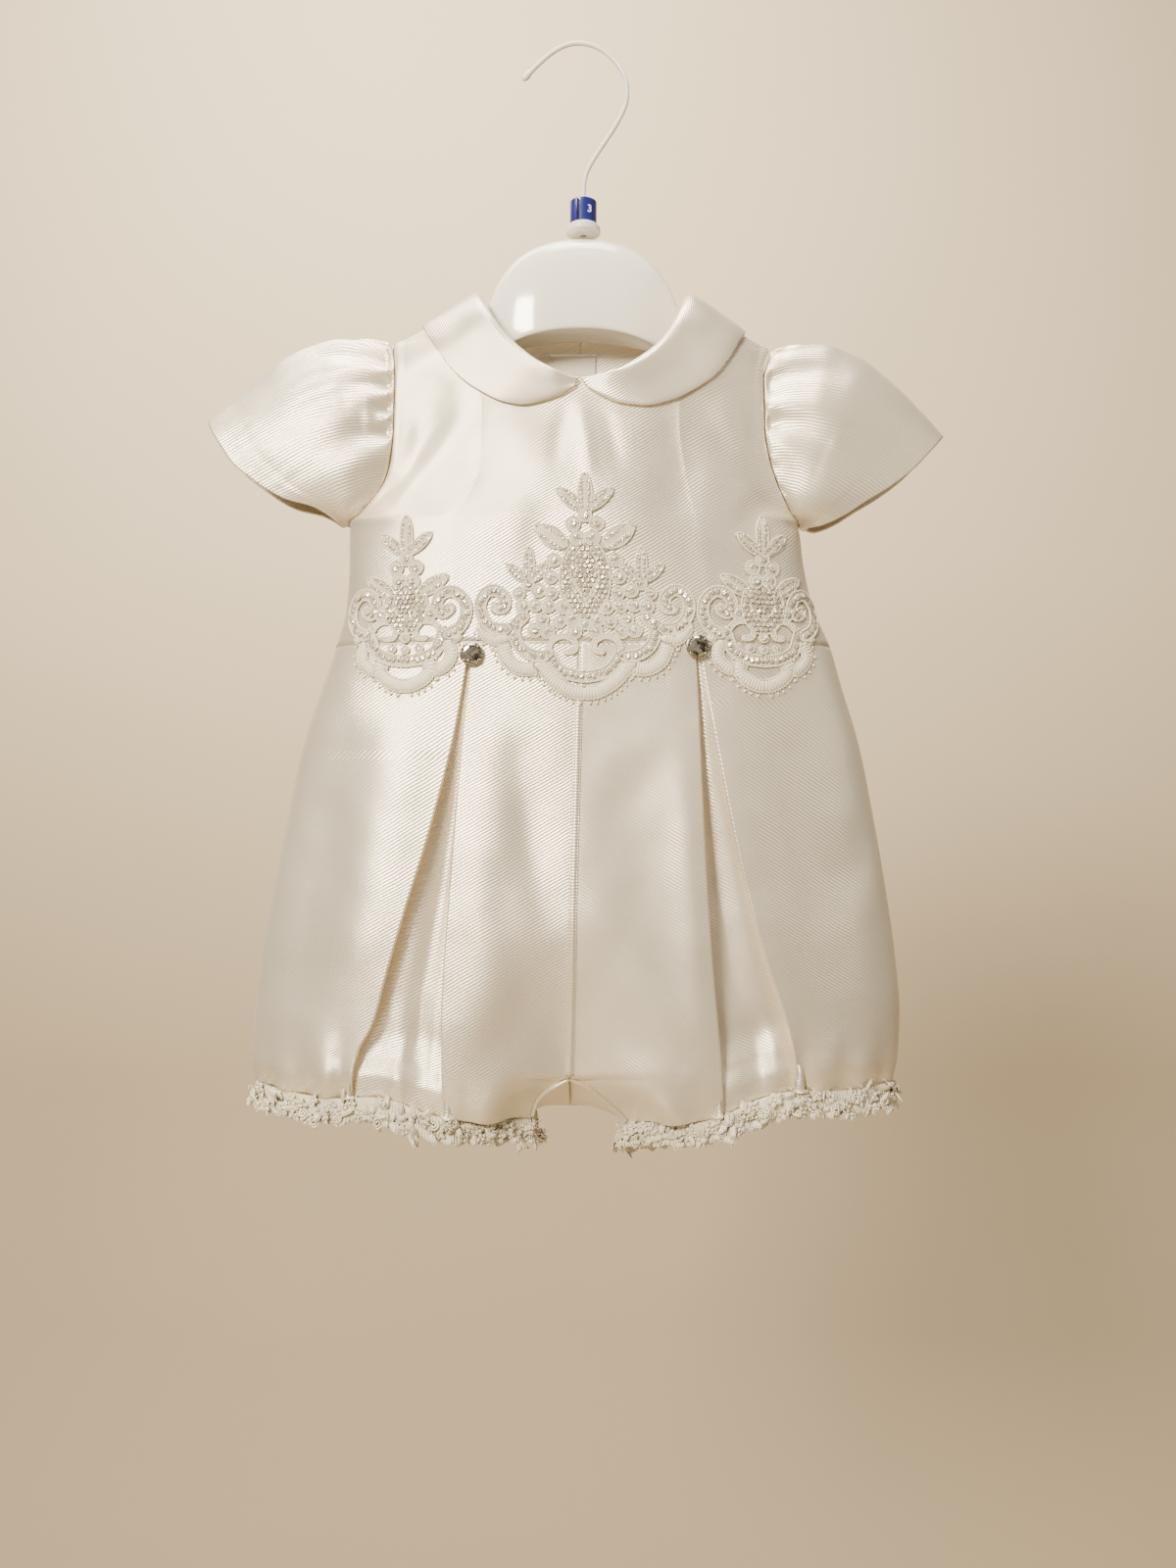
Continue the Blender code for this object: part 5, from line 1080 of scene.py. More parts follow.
def make_shorts_front(side, cloth):
    """A front panel with its inverted pleat, from the waist to the hem and the crotch arch."""
    row_list = finer(SHORTS_ROWS, SHORTS_DETAIL)
    edge_x, edge_y, edge_z, along = front_boundary(side, row_list)
    pleat = PLEATS[side]
    rows = row_list[:, None]
    hem_out = FRONT_HEM[side]["height"]
    fall = ((edge_z - edge_z[0]) / (edge_z[-1] - edge_z[0]))[:, None]

    def height(hem_z, blend):
        """Heights of the rows, evenly spaced or as far down as the inner edge's own rows."""
        return (WAIST - SEAM) + (hem_z - (WAIST - SEAM)) * (fall * (1 - blend) + rows * blend)

    inner_hem = float(smooth(hem_out, smooth(pleat["inner"], -538)))
    outer_hem = float(smooth(hem_out, smooth(pleat["outer"], -528)))
    inner_z, outer_z, side_z = height(inner_hem, 0.85), height(outer_hem, 1.0), height(SIDE_HEM, 1.0)
    inner_x = side * smooth(pleat["inner"], inner_z)
    outer_x = side * smooth(pleat["outer"], outer_z)
    side_x = body_edge(side, side_z)
    to_fold = finer(CENTRE_SHARES, SHORTS_DETAIL)[None, :]
    to_side = finer(SIDE_SHARES, SHORTS_DETAIL)[None, :]
    panel_x = edge_x[:, None] + (inner_x - edge_x[:, None]) * to_fold
    panel_z = edge_z[:, None] + (inner_z - edge_z[:, None]) * ease(to_fold * 1.6)
    side_panel_x = outer_x + (side_x - outer_x) * to_side
    side_panel_z = outer_z + (side_z - outer_z) * to_side
    wave = ease((rows - 0.8) / 0.2)
    target = smooth(hem_out, np.abs(panel_x))
    panel_z = panel_z + wave * ease(to_fold * 3) * (target[-1:] - panel_z[-1:])
    target = smooth(hem_out, np.abs(side_panel_x))
    side_panel_z = side_panel_z + wave * (target[-1:] - side_panel_z[-1:])
    inner_z, outer_z = panel_z[:, -1:], side_panel_z[:, :1]
    groove = smooth(PLEAT_DEPTH["depth"], inner_z)
    room = np.abs(outer_x - inner_x)
    under = np.minimum(UNDERCUT, room * 0.12) * np.where(room > 6, 1, 0)
    inside = np.array(PLEAT_INSIDE)
    share = np.clip(inside[:, 0] / 100, 0, 1)[None, :]
    # The fold edges roll a little over the opening before they run back
    roll = np.where(inside[:, 0] < 0, -inside[:, 0], np.where(inside[:, 0] > 100, 100 - inside[:, 0], 0))
    start, end = inner_x - side * under, outer_x + side * under
    tuck = np.where(np.abs(roll) > 0, 1.0, 0.0)[None, :]
    groove_x = start + (end - start) * share
    edge_of = np.where(inside[:, 0] < 50, 1, 0)[None, :]
    rolled_x = np.where(edge_of, inner_x, outer_x) + side * roll[None, :] * np.minimum(1, room / 6)
    groove_x = groove_x * (1 - tuck) + rolled_x * tuck
    groove_z = inner_z + (outer_z - inner_z) * share
    target = smooth(hem_out, np.abs(groove_x))
    groove_z = groove_z + wave * (target[-1:] - groove_z[-1:])
    x = np.concatenate([panel_x, groove_x, side_panel_x], axis=1)
    z = np.concatenate([panel_z, groove_z, side_panel_z], axis=1)
    y = -draped(FRONT, x, z)
    first, last = panel_x.shape[1], panel_x.shape[1] + len(inside)
    level = -depth(FRONT, groove_x, groove_z) - fold_heights(PLEAT_FOLDS[side], groove_x, groove_z)
    near = np.where(edge_of, y[:, first - 1 : first], y[:, last : last + 1])
    y[:, first:last] = np.where(tuck > 0, near, level) + groove * inside[None, :, 1]
    to_edge = to_fold / 0.6
    fade = (1 - ease(to_edge)) * ease((rows - 0.7) / (ARCH_START - 0.7))
    fade = np.where(rows >= ARCH_START - 1e-6, 1 - ease(to_edge), fade)
    y[:, :first] += (edge_y[:, None] - y[:, :1]) * fade
    y[:, 0] = np.where(row_list >= ARCH_START - 1e-6, edge_y, y[:, 0])
    y[:, -1] = -SEAM
    outer = stack(x, y, z)
    normal = normals(outer, (0, -1, 0))
    hem_z = smooth(hem_out, np.abs(x))
    on_panels = np.ones(x.shape[1])
    on_panels[first - 1 : last + 1] = 0.35
    tucks = hem_lift(side, np.abs(x), z - hem_z) * on_panels[None, :] * ease(np.abs(x - edge_x[:, None]) / 14)
    tucks = tucks * ease((np.abs(side_x) - np.abs(x)) / 8)
    outer = outer + normal * tucks[..., None]
    inward = kept(-normals(outer, (0, -1, 0))[-1], 1, 1, 0)
    inward[0] = (side, 0.2, 0)
    outer = turned_hem(outer, inward)
    normal = normals(outer, (0, -1, 0))
    rows_kept = len(row_list)
    normal[0] = kept(normal[0], 1, 1, 0)
    normal[:, -1] = kept(normal[:, -1] + (side * 0.01, 0, 0), 1, 0, 1)
    on_seam = row_list <= ARCH_START + 1e-6
    edge_normal = np.where(on_seam[:, None], kept(normal[:rows_kept, 0], 0, 1, 1), arch_normal(side, along))
    normal[:rows_kept, 0] = edge_normal
    angle = cloth.rib_angle if side == LEFT else -cloth.rib_angle
    uv = weave_map(outer, side, -1, 0, angle)
    return satin_piece(f"shorts_front_{NAMES[side]}", outer, normal, uv, cloth)


SEAT_ROWS = (0, 0.06, 0.16, 0.28, 0.4, 0.52, 0.64, 0.74, 0.82, 0.88, 0.93, 0.965, 1)
SEAT_COLUMNS = (0, 0.05, 0.1, 0.15, 0.2, 0.3, 0.42, 0.55, 0.68, 0.8, 0.9, 0.97, 1)
CORNER = 0.2


def make_shorts_back(side, cloth):
    """A back panel, from the waist down the seat, under the crotch to the arch, and to the hem."""
    hem, arch = BACK_HEM[side], ARCH[side]
    columns = finer(SEAT_COLUMNS, 5)
    row_list = finer(SEAT_ROWS, 6)
    on_arch = columns <= CORNER + 1e-9
    along = np.clip(columns / CORNER, 0, 1)
    beyond = np.clip((columns - CORNER) / (1 - CORNER), 0, 1)
    low_x = np.where(on_arch, smooth(arch["across"], along), side * smooth(hem["out"], beyond))
    low_y = np.where(on_arch, smooth(arch["depth"], along), smooth(hem["depth"], beyond))
    low_z = np.where(on_arch, smooth(arch["height"], along), smooth(hem["height"], beyond))
    low = stack(low_x, low_y, low_z)
    low[0, 0] += side * SEAM
    v = row_list[:, None]
    middle_x = smooth(SEAT_LINE["across"], row_list)[:, None] + side * SEAM
    middle_y = smooth(SEAT_LINE["depth"], row_list)[:, None]
    middle_z = smooth(SEAT_LINE["height"], row_list)[:, None] - SEAM * (1 - v)
    u = columns[None, :]
    near = np.clip(1 - u / 0.62, 0, 1) ** 1.5
    straight_z = (WAIST - SEAM) * (1 - v) + low_z[None, :] * v
    edge_x = body_edge(side, straight_z)
    x_flat = (smooth(CENTRE["across"], straight_z) + side * SEAM) * (1 - u) + edge_x * u
    y_flat = np.maximum(draped(BACK, x_flat, straight_z), SEAM)
    close = ease((v - 0.45) / 0.55)
    x = x_flat * (1 - close) + (low_x[None, :] + (x_flat - x_flat[-1:])) * close
    y = y_flat + (low_y[None, :] - y_flat[-1:]) * ease((v - 0.55) / 0.45)
    z = straight_z
    x = x + (middle_x - x[:, :1]) * near * ease(v / 0.3)
    y = y + (middle_y - y[:, :1]) * near
    z = z + (middle_z - z[:, :1]) * near
    outer = stack(x, y, z)
    outer[-1] = low
    outer[:, 0] = np.concatenate([middle_x, middle_y, middle_z], axis=1)
    outer[:, -1] = stack(body_edge(side, straight_z[:, -1]), SEAM, straight_z[:, -1])
    outer[0, :, 2] = WAIST - SEAM
    normal = normals(outer, (0, 1, 0))
    above = np.linalg.norm(outer - outer[-1:], axis=-1)
    tucks = 1.2 * np.sin(beyond * 46 + side) + 0.7 * np.sin(beyond * 71 + 1.3)
    tucks = tucks * ease(beyond / 0.08) * ease((1 - beyond) / 0.05)
    outer = outer + normal * (tucks[None, :] * np.exp(-((above / 12) ** 1.5)))[..., None]
    normal = normals(outer, (0, 1, 0))
    normal[0] = kept(normal[0], 1, 1, 0)
    normal[:, -1] = kept(normal[:, -1] + (side * 0.01, 0, 0), 1, 0, 1)
    normal[-1] = kept(normal[-1], 1, 1, 0)
    normal[:, 0] = kept(normal[:, 0], 0, 1, 1)
    normal[-1] = np.where(on_arch[:, None], arch_normal(side, along), normal[-1])
    normal[-1, 0] = unit((0, -1, -1))
    uv = weave_map(outer, -side, -1, 0, -cloth.rib_angle * side)
    return satin_piece(f"shorts_back_{NAMES[side]}", outer, normal, uv, cloth)


# Lace

# The right half of each motif, in millimetres from its own axis, the upper shapes first. A leaf
# has a width and runs from its root to its tip, a disc has a radius and its middle, an oval half
# its sizes and its middle, a band (filled with sequins) and a pad (padded and stitched) a width
# and the points of their line.
CENTRE_MOTIF = (
    ("leaf", 6.8, (0, -243.3), (0, -227.8)), ("leaf", 6.2, (1.6, -243.0), (12.2, -234.2)),
    ("disc", 3.2, (0, -246.4)), ("disc", 3.5, (5.8, -250.4)), ("disc", 3.6, (3.8, -257.4)),
    ("leaf", 9.6, (10.4, -260.5), (21.7, -252.8)), ("drop", (6.8, 14.5), (0, -275.6)),
    ("oval", (12.4, 20.0), (0, -278.0)), ("disc", 3.2, (15.2, -268.2)),
    ("leaf", 5.4, (27.3, -277.0), (27.3, -263.3)), ("leaf", 5.2, (28.5, -278.0), (37.0, -271.2)),
    ("leaf", 5.2, (26.0, -278.0), (17.9, -270.1)), ("disc", 2.6, (27.4, -280.2)),
    ("disc", 3.0, (32.0, -284.6)), ("disc", 3.3, (22.5, -283.2)), ("disc", 3.2, (16.6, -276.6)),
    ("disc", 3.0, (16.2, -284.6)), ("disc", 3.4, (10.6, -291.4)), ("disc", 3.0, (17.6, -291.0)),
    ("disc", 3.0, (24.0, -290.6)), ("disc", 3.4, (30.2, -291.0)), ("disc", 2.6, (0, -299.8)),
    ("disc", 3.5, (6.1, -297.4)), ("disc", 3.0, (12.4, -298.6)), ("disc", 3.3, (17.9, -303.4)),
    ("disc", 3.5, (24.2, -302.6)), ("disc", 3.4, (5.0, -303.4)), ("disc", 3.0, (20.6, -297.4)),
    ("band", 5.7, (38, -302), (44.8, -301.3), (49.4, -296.5), (50.8, -290.1), (48.2, -284.4),
     (43.4, -282.9), (39.2, -286.3), (39.2, -291.2), (42.8, -291.8)),
    ("pad", 4.8, (50.2, -301.3), (47.8, -305.0), (44.2, -307.6), (39.2, -306.5)),
    ("band", 5.7, (29.8, -296), (33.4, -300.1), (33.9, -305.6), (31.1, -311), (25.7, -314.7),
     (19.3, -315.6)),
    ("cord", 2.6, (17.3, -314.3), (17, -309.7), (13.8, -306.5), (9.3, -305.6), (4.9, -308.4),
     (4.9, -312.4), (8.6, -313.4)),
    ("band", 5.7, (17.3, -314.3), (13.8, -320.2), (8.4, -323.8), (0, -325.6)),
    ("pad", 6.2, (21.5, -319.0), (14.7, -327.3), (6.6, -332.3), (0, -333.3)),
    ("pad", 6.2, (40.2, -309.8), (37, -317.4), (31.1, -321.3), (24.8, -321.3), (20.7, -318.7)),
)
SIDE_MOTIF = (
    ("leaf", 6.4, (0, -263.0), (0, -246.9)), ("leaf", 5.6, (1.8, -263.6), (11.8, -254.9)),
    ("disc", 3.4, (0, -266.4)), ("disc", 3.6, (5.2, -270.9)), ("disc", 3.5, (3.6, -277.4)),
    ("leaf", 7.2, (7.6, -283.6), (19.5, -276.3)), ("drop", (6.4, 9.1), (0, -288.3)),
    ("oval", (11.2, 14.0), (0, -290.0)), ("disc", 3.4, (13.0, -293.5)),
    ("band", 5.7, (21.7, -304.2), (27.2, -301.1), (30.4, -294.7), (29.4, -287.6), (24.2, -283.3),
     (18.5, -284.6), (15.9, -289.7), (18.5, -293.8), (22.2, -291.8)),
    ("band", 5.7, (19.2, -303), (17.6, -307.4), (15.3, -312.4), (8.5, -316.1), (0, -317.4)),
    ("cord", 2.6, (16.6, -306.5), (17.4, -302), (13.9, -298.2), (8.5, -297.8), (5.2, -301.8),
     (6.2, -305.6), (10.2, -306.0)),
    ("disc", 2.2, (0, -305.8)), ("disc", 2.0, (0, -311.6)), ("disc", 2.0, (6.9, -311.0)),
    ("pad", 6.2, (11.2, -318.4), (12.6, -321.5), (9.7, -326.0), (3.6, -329.0), (0, -329.4)),
    ("pad", 5.6, (11.2, -318.8), (16.7, -321.4), (21.6, -318.0), (23.2, -313.3), (21.4, -308.6)),
    ("pad", 4.4, (21.6, -308.6), (22.6, -306.4), (26.2, -305.6)),
)
# Each motif's shapes, where its axis stands, half its width, its top and its bottom
MOTIFS = {
    "centre": (CENTRE_MOTIF, 2.5, 56, -224, -340),
    "left": (SIDE_MOTIF, -85.2, 35, -243, -336),
    "right": (SIDE_MOTIF, 89.8, 35, -243, -336),
}
LACE_STEP = 0.75
LACE_BASE = 0.3
CORD = 0.48
BEAD_SIDES = 6


def bending(points, step=1.2):
    """A smooth line through points, with a point every step."""
    points = np.asarray(points, float)
    if len(points) < 3:
        count = max(int(np.linalg.norm(points[-1] - points[0]) / step), 2)
        return points[0] + (points[-1] - points[0]) * np.linspace(0, 1, count + 1)[:, None]
    wide = np.concatenate([[2 * points[0] - points[1]], points, [2 * points[-1] - points[-2]]])
    line = []
    for a, b, c, d in zip(wide, wide[1:], wide[2:], wide[3:]):
        t = np.linspace(0, 1, max(int(np.linalg.norm(c - b) / step), 2), endpoint=False)[:, None]
        square, cube = 2 * a - 5 * b + 4 * c - d, 3 * b - a - 3 * c + d
        line.append(0.5 * (2 * b + (c - a) * t + square * t**2 + cube * t**3))
    return np.concatenate(line + [points[-1:]])


def leaf_half(width, share):
    """Half the width of a leaf at each share of its length."""
    return width / 2 * (0.3 + 0.7 * np.sin(np.pi * (0.13 + 0.74 * share)))


def in_shape(shape, x, z):
    """Depth inside a shape (negative outside), its greatest, and the place along and across it."""
    kind, size, *line = shape
    line = np.asarray(line, float)
    if kind == "disc":
        away = np.hypot(x - line[0, 0], z - line[0, 1])
        return size - away, size, np.arctan2(z - line[0, 1], x - line[0, 0]) * size, away
    if kind in ("oval", "drop"):
        sharp = 0.62 if kind == "drop" else 1.0
        across, up = np.abs(x - line[0, 0]) / size[0], (z - line[0, 1]) / size[1]
        away = np.hypot(across, up) if kind == "oval" else across**sharp * 0.55 + across * 0.45 + up**2
        turn = np.arctan2(z - line[0, 1], x - line[0, 0])
        return (1 - away) * size[0], size[0], turn * size[0], away * size[0]
    smooth_line = bending(line)
    far, sign, share = along_line(x, z, smooth_line)
    length = lengths_along(smooth_line)[-1]
    half = leaf_half(size, share) if kind == "leaf" else size / 2
    along = share * length + (0.8 * far if kind == "leaf" else 0)
    return half - far, half, along, sign * far


# How far each kind of shape rises in its middle, and the depth of the line along it
RISES = {
    "disc": (0.75, 0.55),
    "leaf": (0.6, 0.45),
    "oval": (0.35, 0),
    "drop": (0.2, 0),
    "band": (0.15, 0),
    "cord": (0.5, 0),
    "pad": (1.25, 0),
}


def lace_ground(shapes, reach, top, bottom):
    """The height and stitch direction of a motif's ground on a grid, and how deep it is inside."""
    xs = np.linspace(-reach, reach, int(2 * reach / LACE_STEP) | 1)
    zs = np.linspace(bottom, top, int((top - bottom) / LACE_STEP))
    x, z = np.meshgrid(xs, zs, indexing="ij")
    inside, height = np.full(x.shape, -9.0), np.full(x.shape, LACE_BASE + 0.45)
    along, across = x.copy(), z.copy()
    taken = np.zeros(x.shape, bool)
    for shape in shapes:
        deep, full, u, v = in_shape(shape, np.abs(x), z)
        rise, vein = RISES[shape[0]]
        dome = np.sqrt(np.clip(1 - (1 - np.clip(deep / full, 0, 1)) ** 2, 0, 1))
        lift = LACE_BASE + 0.45 + rise * dome - vein * np.exp(-((v / 0.7) ** 2))
        mine = (deep > 0) & ~taken
        height, along, across = (
            np.where(mine, new, old) for new, old in ((lift, height), (u, along), (v, across))
        )
        taken |= mine
        inside = np.maximum(inside, deep)
    return x, z, inside, height, along, across


def lace_sheet(heap, shapes, reach, top, bottom):
    """Adds a motif's ground to a heap: its domed face, its back and its cut edge."""
    x, z, inside, height, along, across = lace_ground(shapes, reach, top, bottom)
    inside = inside + 0.35
    data = np.stack([x, -height, z, along, across], axis=-1)
    points, made, faces, sides = [], {}, [], {}

    def point(first, second):
        key = tuple(sorted((first, second)))
        if key not in made:
            share = 0.0
            if first != second:
                share = inside[key[0]] / (inside[key[0]] - inside[key[1]])
            values = data[key[0]] + (data[key[1]] - data[key[0]]) * share
            if first != second:
                nearest = key[0] if inside[key[0]] > 0 else key[1]
                values[1], values[3:] = -(LACE_BASE + 0.4), data[nearest][3:]
            made[key] = len(points)
            points.append(values)
        return made[key]

    for i, j in zip(*np.nonzero(np.maximum.reduce(
            [inside[:-1, :-1], inside[1:, :-1], inside[:-1, 1:], inside[1:, 1:]]) > 0)):
        square = ((i, j), (i + 1, j), (i + 1, j + 1), (i, j + 1))
        face = []
        for place, after in zip(square, square[1:] + square[:1]):
            if inside[place] > 0:
                face.append(point(place, place))
            if (inside[place] > 0) != (inside[after] > 0):
                face.append(point(place, after))
        if len(face) > 2:
            faces.append(tuple(face))
            for first, second in zip(face, face[1:] + face[:1]):
                if sides.pop((second, first), None) is None:
                    sides[(first, second)] = True
    points = np.array(points)
    count = len(points)
    back = points.copy()
    back[:, 1] = -LACE_BASE
    solid = faces + [tuple(k + count for k in reversed(face)) for face in faces]
    solid += [(second, first, first + count, second + count) for first, second in sides]
    both = np.concatenate([points, back])
    heap.add(both[:, :3], solid, both[:, 3:])


def outlines(shape):
    """The lines of cord round a shape, each with whether it is closed."""
    kind, size, *line = shape
    line = np.asarray(line, float)
    if kind in ("disc", "oval", "drop"):
        wide, tall = (size, size) if kind == "disc" else size
        count = max(int(2 * math.pi * max(wide, tall) / 0.95), 12)
        turn = np.linspace(0, 2 * np.pi, count, endpoint=False)
        narrow = np.abs(np.sin(turn)) ** (1.7 if kind == "drop" else 1)
        across = line[0, 0] + wide * np.sign(np.sin(turn)) * narrow
        return [(np.stack([across, line[0, 1] + tall * np.cos(turn)], axis=1), True)]
    path = bending(line, 0.9)
    ahead, side = unit(np.gradient(path, axis=0)), beside(path)
    if kind == "leaf":
        share = np.linspace(0, 1, len(path))
        half = leaf_half(size, share)[:, None]
        tip, root = path[-1:] + ahead[-1:] * size * 0.34, path[:1] - ahead[:1] * size * 0.26
        edge = np.concatenate([root, path + side * half, tip, (path - side * half)[::-1]])
        return [(edge, True), (path, False)]
    half = size / 2 - (0.2 if kind != "pad" else 0)
    start, end = path[:1] - ahead[:1] * half, path[-1:] + ahead[-1:] * half
    on_axis = abs(line[-1, 0]) < 0.1
    caps = [] if on_axis else [end]
    edge = [*caps, (path + side * half)[::-1], start, path - side * half, *caps]
    return [(np.concatenate(edge), False)]


def add_cords(heap, shapes):
    """Adds the cords along all the shapes' edges, hidden where a shape lies over them."""
    for place, shape in enumerate(shapes):
        for path, closed in outlines(shape):
            single = len(shape) == 3 or shape[0] == "leaf"
            on_axis = single and abs(shape[-1][0]) < 0.1
            shown = np.ones(len(path), bool) if on_axis else path[:, 0] > -0.3
            for other in shapes[:place]:
                shown &= in_shape(other, np.abs(path[:, 0]), path[:, 1])[0] < 0.25
            radius = CORD * (0.62 if shape[0] == "leaf" and not closed else 1)
            for mirror in (1,) if on_axis else (1, -1):
                for first, last in runs(shown, closed):
                    part = path.take(np.arange(first, last), axis=0, mode="wrap")
                    whole = closed and last - first >= len(path)
                    if len(part) < 3:
                        continue
                    line = stack(part[:, 0] * mirror, -(LACE_BASE + 0.62), part[:, 1])
                    heap.tube(line, radius, 6, closed=whole)


def runs(shown, closed):
    """First and last places of each run of shown points, over the start where it is closed."""
    count = len(shown)
    if shown.all():
        return [(0, count)]
    if not shown.any():
        return []
    start = int(np.argmin(shown)) if closed else 0
    found, first = [], None
    for k in range(start, start + count):
        if shown[k % count] and first is None:
            first = k
        if not shown[k % count] and first is not None:
            found.append((first, k))
            first = None
    if first is not None:
        found.append((first, start + count))
    return found


def add_sequin(heap, x, z, radius, lift, tilt):
    """Adds a small cupped disc of eight sides, tilted a little."""
    turn = np.linspace(0, 2 * np.pi, 8, endpoint=False)
    rings = []
    for share, rise in ((0.4, 0.1), (1.0, 0.42), (1.0, 0.3), (0.4, 0.0)):
        rings.append(stack(radius * share * np.cos(turn), -rise, radius * share * np.sin(turn)))
    points = np.concatenate(rings)
    points[:, 1] += points[:, 0] * tilt[0] + points[:, 2] * tilt[1]
    points += (x, -lift, z)
    faces = [tuple(range(8)), tuple(24 + k for k in reversed(range(8)))]
    for r in range(3):
        low, high = r * 8, (r + 1) * 8
        faces += [(low + k, high + k, high + (k + 1) % 8, low + (k + 1) % 8) for k in range(8)]
    heap.add(points, faces)


def add_bead(heap, centre, radius):
    """Adds a small round bead."""
    sides = BEAD_SIDES
    turn = np.linspace(0, 2 * np.pi, sides, endpoint=False)
    points = [(0, 0, 1)]
    for up in (0.55, -0.25, -0.8):
        out = math.sqrt(1 - up * up)
        points += [(out * math.cos(t), out * math.sin(t), up) for t in turn]
    points.append((0, 0, -1))
    faces = [(0, 1 + k, 1 + (k + 1) % sides) for k in range(sides)]
    for r in (0, 1):
        high, low = 1 + r * sides, 1 + (r + 1) * sides
        faces += [(high + k, low + k, low + (k + 1) % sides, high + (k + 1) % sides) for k in range(sides)]
    low, last = 1 + 2 * sides, 1 + 3 * sides
    faces += [(last, low + (k + 1) % sides, low + k) for k in range(sides)]
    heap.add(np.array(points) * radius + centre, faces)


def add_sequins(heap, shapes, chance):
    """Adds the sequins: one on each disc, rows on leaves and bands, clusters in drops and ovals."""

    def free(x, z, place):
        """Whether no upper shape lies over a spot."""
        return all(in_shape(other, np.array([abs(x)]), np.array([z]))[0][0] < 0.5 for other in shapes[:place])

    for place, shape in enumerate(shapes):
        kind, size, *line = shape
        spots = []
        if kind == "disc":
            spots = [(*line[0], size * 0.52)]
        elif kind == "band":
            path = bending(line, 0.5)
            reach = lengths_along(path)
            for at in np.arange(0.9, reach[-1], 2.75):
                spot = [np.interp(at, reach, path[:, axis]) + chance.normal(0, 0.32) for axis in (0, 1)]
                if free(*spot, place):
                    spots.append((*spot, 1.25))
        elif kind == "leaf":
            path = bending(line, 0.5)
            side = beside(path)
            for k in range(3, len(path) - 2, 4):
                for way in (-0.25, 0.25):
                    spot = path[k] + side[k] * size * way
                    if spot[0] > -0.3 and free(*spot, place):
                        spots.append((*spot, 0.8))
        elif kind in ("drop", "oval"):
            inner = 1.1 if kind == "drop" else 0.9
            for k, up in enumerate(np.arange(-size[1], size[1], 2.35)):
                for across in np.arange(1.2 * (k % 2), size[0], 2.4):
                    deep = in_shape(shape, np.array([across]), np.array([line[0][1] + up]))[0][0]
                    if deep > inner and free(across, line[0][1] + up, place):
                        spots.append((across, line[0][1] + up, 1.1))
        for x, z, radius in spots:
            for mirror in (1,) if abs(x) < 0.4 else (1, -1):
                add_sequin(heap, x * mirror, z, radius, LACE_BASE + 0.85, chance.normal(0, 0.28, 2))


def add_picots(beads, cords, shapes, chance):
    """Adds the row of small beaded loops below the padded scallops."""
    pads = [shape for shape in shapes if shape[0] == "pad"]
    for shape in pads:
        path = bending(shape[2:], 0.5)
        side = beside(path)
        # The outer side of a scallop lies away from the middle of its line's two ends
        middle = (path[0] + path[-1]) / 2
        if np.sum(side[len(side) // 2] * (path[len(path) // 2] - middle)) < 0:
            side = -side
        reach = lengths_along(path)
        for at in np.arange(0.6, reach[-1], 2.7):
            spot, out = ([np.interp(at, reach, each[:, axis]) for axis in (0, 1)] for each in (path, side))
            spot, out = np.array(spot), np.array(out)
            end = spot + out * (shape[1] / 2 + 2.0)
            if end[0] < -0.5 or any(in_shape(other, np.abs(end[:1]), end[1:])[0][0] > 0 for other in shapes):
                continue
            for mirror in (1, -1):
                if mirror < 0 and end[0] < 0.8:
                    continue
                add_bead(beads, (end[0] * mirror, -0.85, end[1]), 0.72 + chance.uniform(-0.08, 0.08))
                for way in (-1, 1):
                    root = spot + out * (shape[1] / 2) + np.array((out[1], -out[0])) * 1.1 * way
                    bulge = out * 0.2 + np.array((out[1], -out[0])) * 0.35 * way
                    line = np.stack([root, (root + end) / 2 + bulge, end])
                    cords.tube(stack(line[:, 0] * mirror, -0.7, line[:, 1]), 0.2, 4)


def round_the_body(axis, across, z):
    """Places across that lie a distance from an axis, measured over the front's surface."""
    x = np.full(z.shape, float(axis))
    steps = 30
    for _ in range(steps):
        slope = depth(FRONT, x + np.sign(across), z) - depth(FRONT, x, z)
        x = x + across / steps / np.sqrt(1 + slope**2)
    return x


def over_front(axis, reach, top, bottom):
    """A way to lay flat points (across, -height, up) over the draped front."""
    across = np.arange(-reach - 4, reach + 5, 1.0)
    up = np.arange(bottom - 5, top + 6, 1.0)
    grid_a, grid_z = np.meshgrid(across, up, indexing="ij")
    x = round_the_body(axis, grid_a, grid_z)
    surface = on_body(FRONT, x, grid_z)
    normal = unit(on_body(FRONT, x, grid_z, 1.0) - surface)

    def lay(points):
        a, z = points[:, 0] - across[0], points[:, 2] - up[0]
        i, j = (np.clip(each.astype(int), 0, count - 2) for each, count in ((a, len(across)), (z, len(up))))
        s, t = (a - i)[:, None], (z - j)[:, None]
        laid = []
        for grid in (surface, normal):
            low = grid[i, j] * (1 - s) + grid[i + 1, j] * s
            high = grid[i, j + 1] * (1 - s) + grid[i + 1, j + 1] * s
            laid.append(low * (1 - t) + high * t)
        return laid[0] - laid[1] * points[:, 1:2]

    return lay


def laid_pieces(lay, name, nodes, parts):
    """The pieces of a set of heaps, laid in place. The lace itself stands for the nodes."""
    made = []
    for heap, kind, slot, material in parts:
        heap.bend(lay)
        piece = heap.piece(f"{kind}_{name}", material)
        made.append(show(piece, nodes if kind == "lace" else [], slot))
    return made


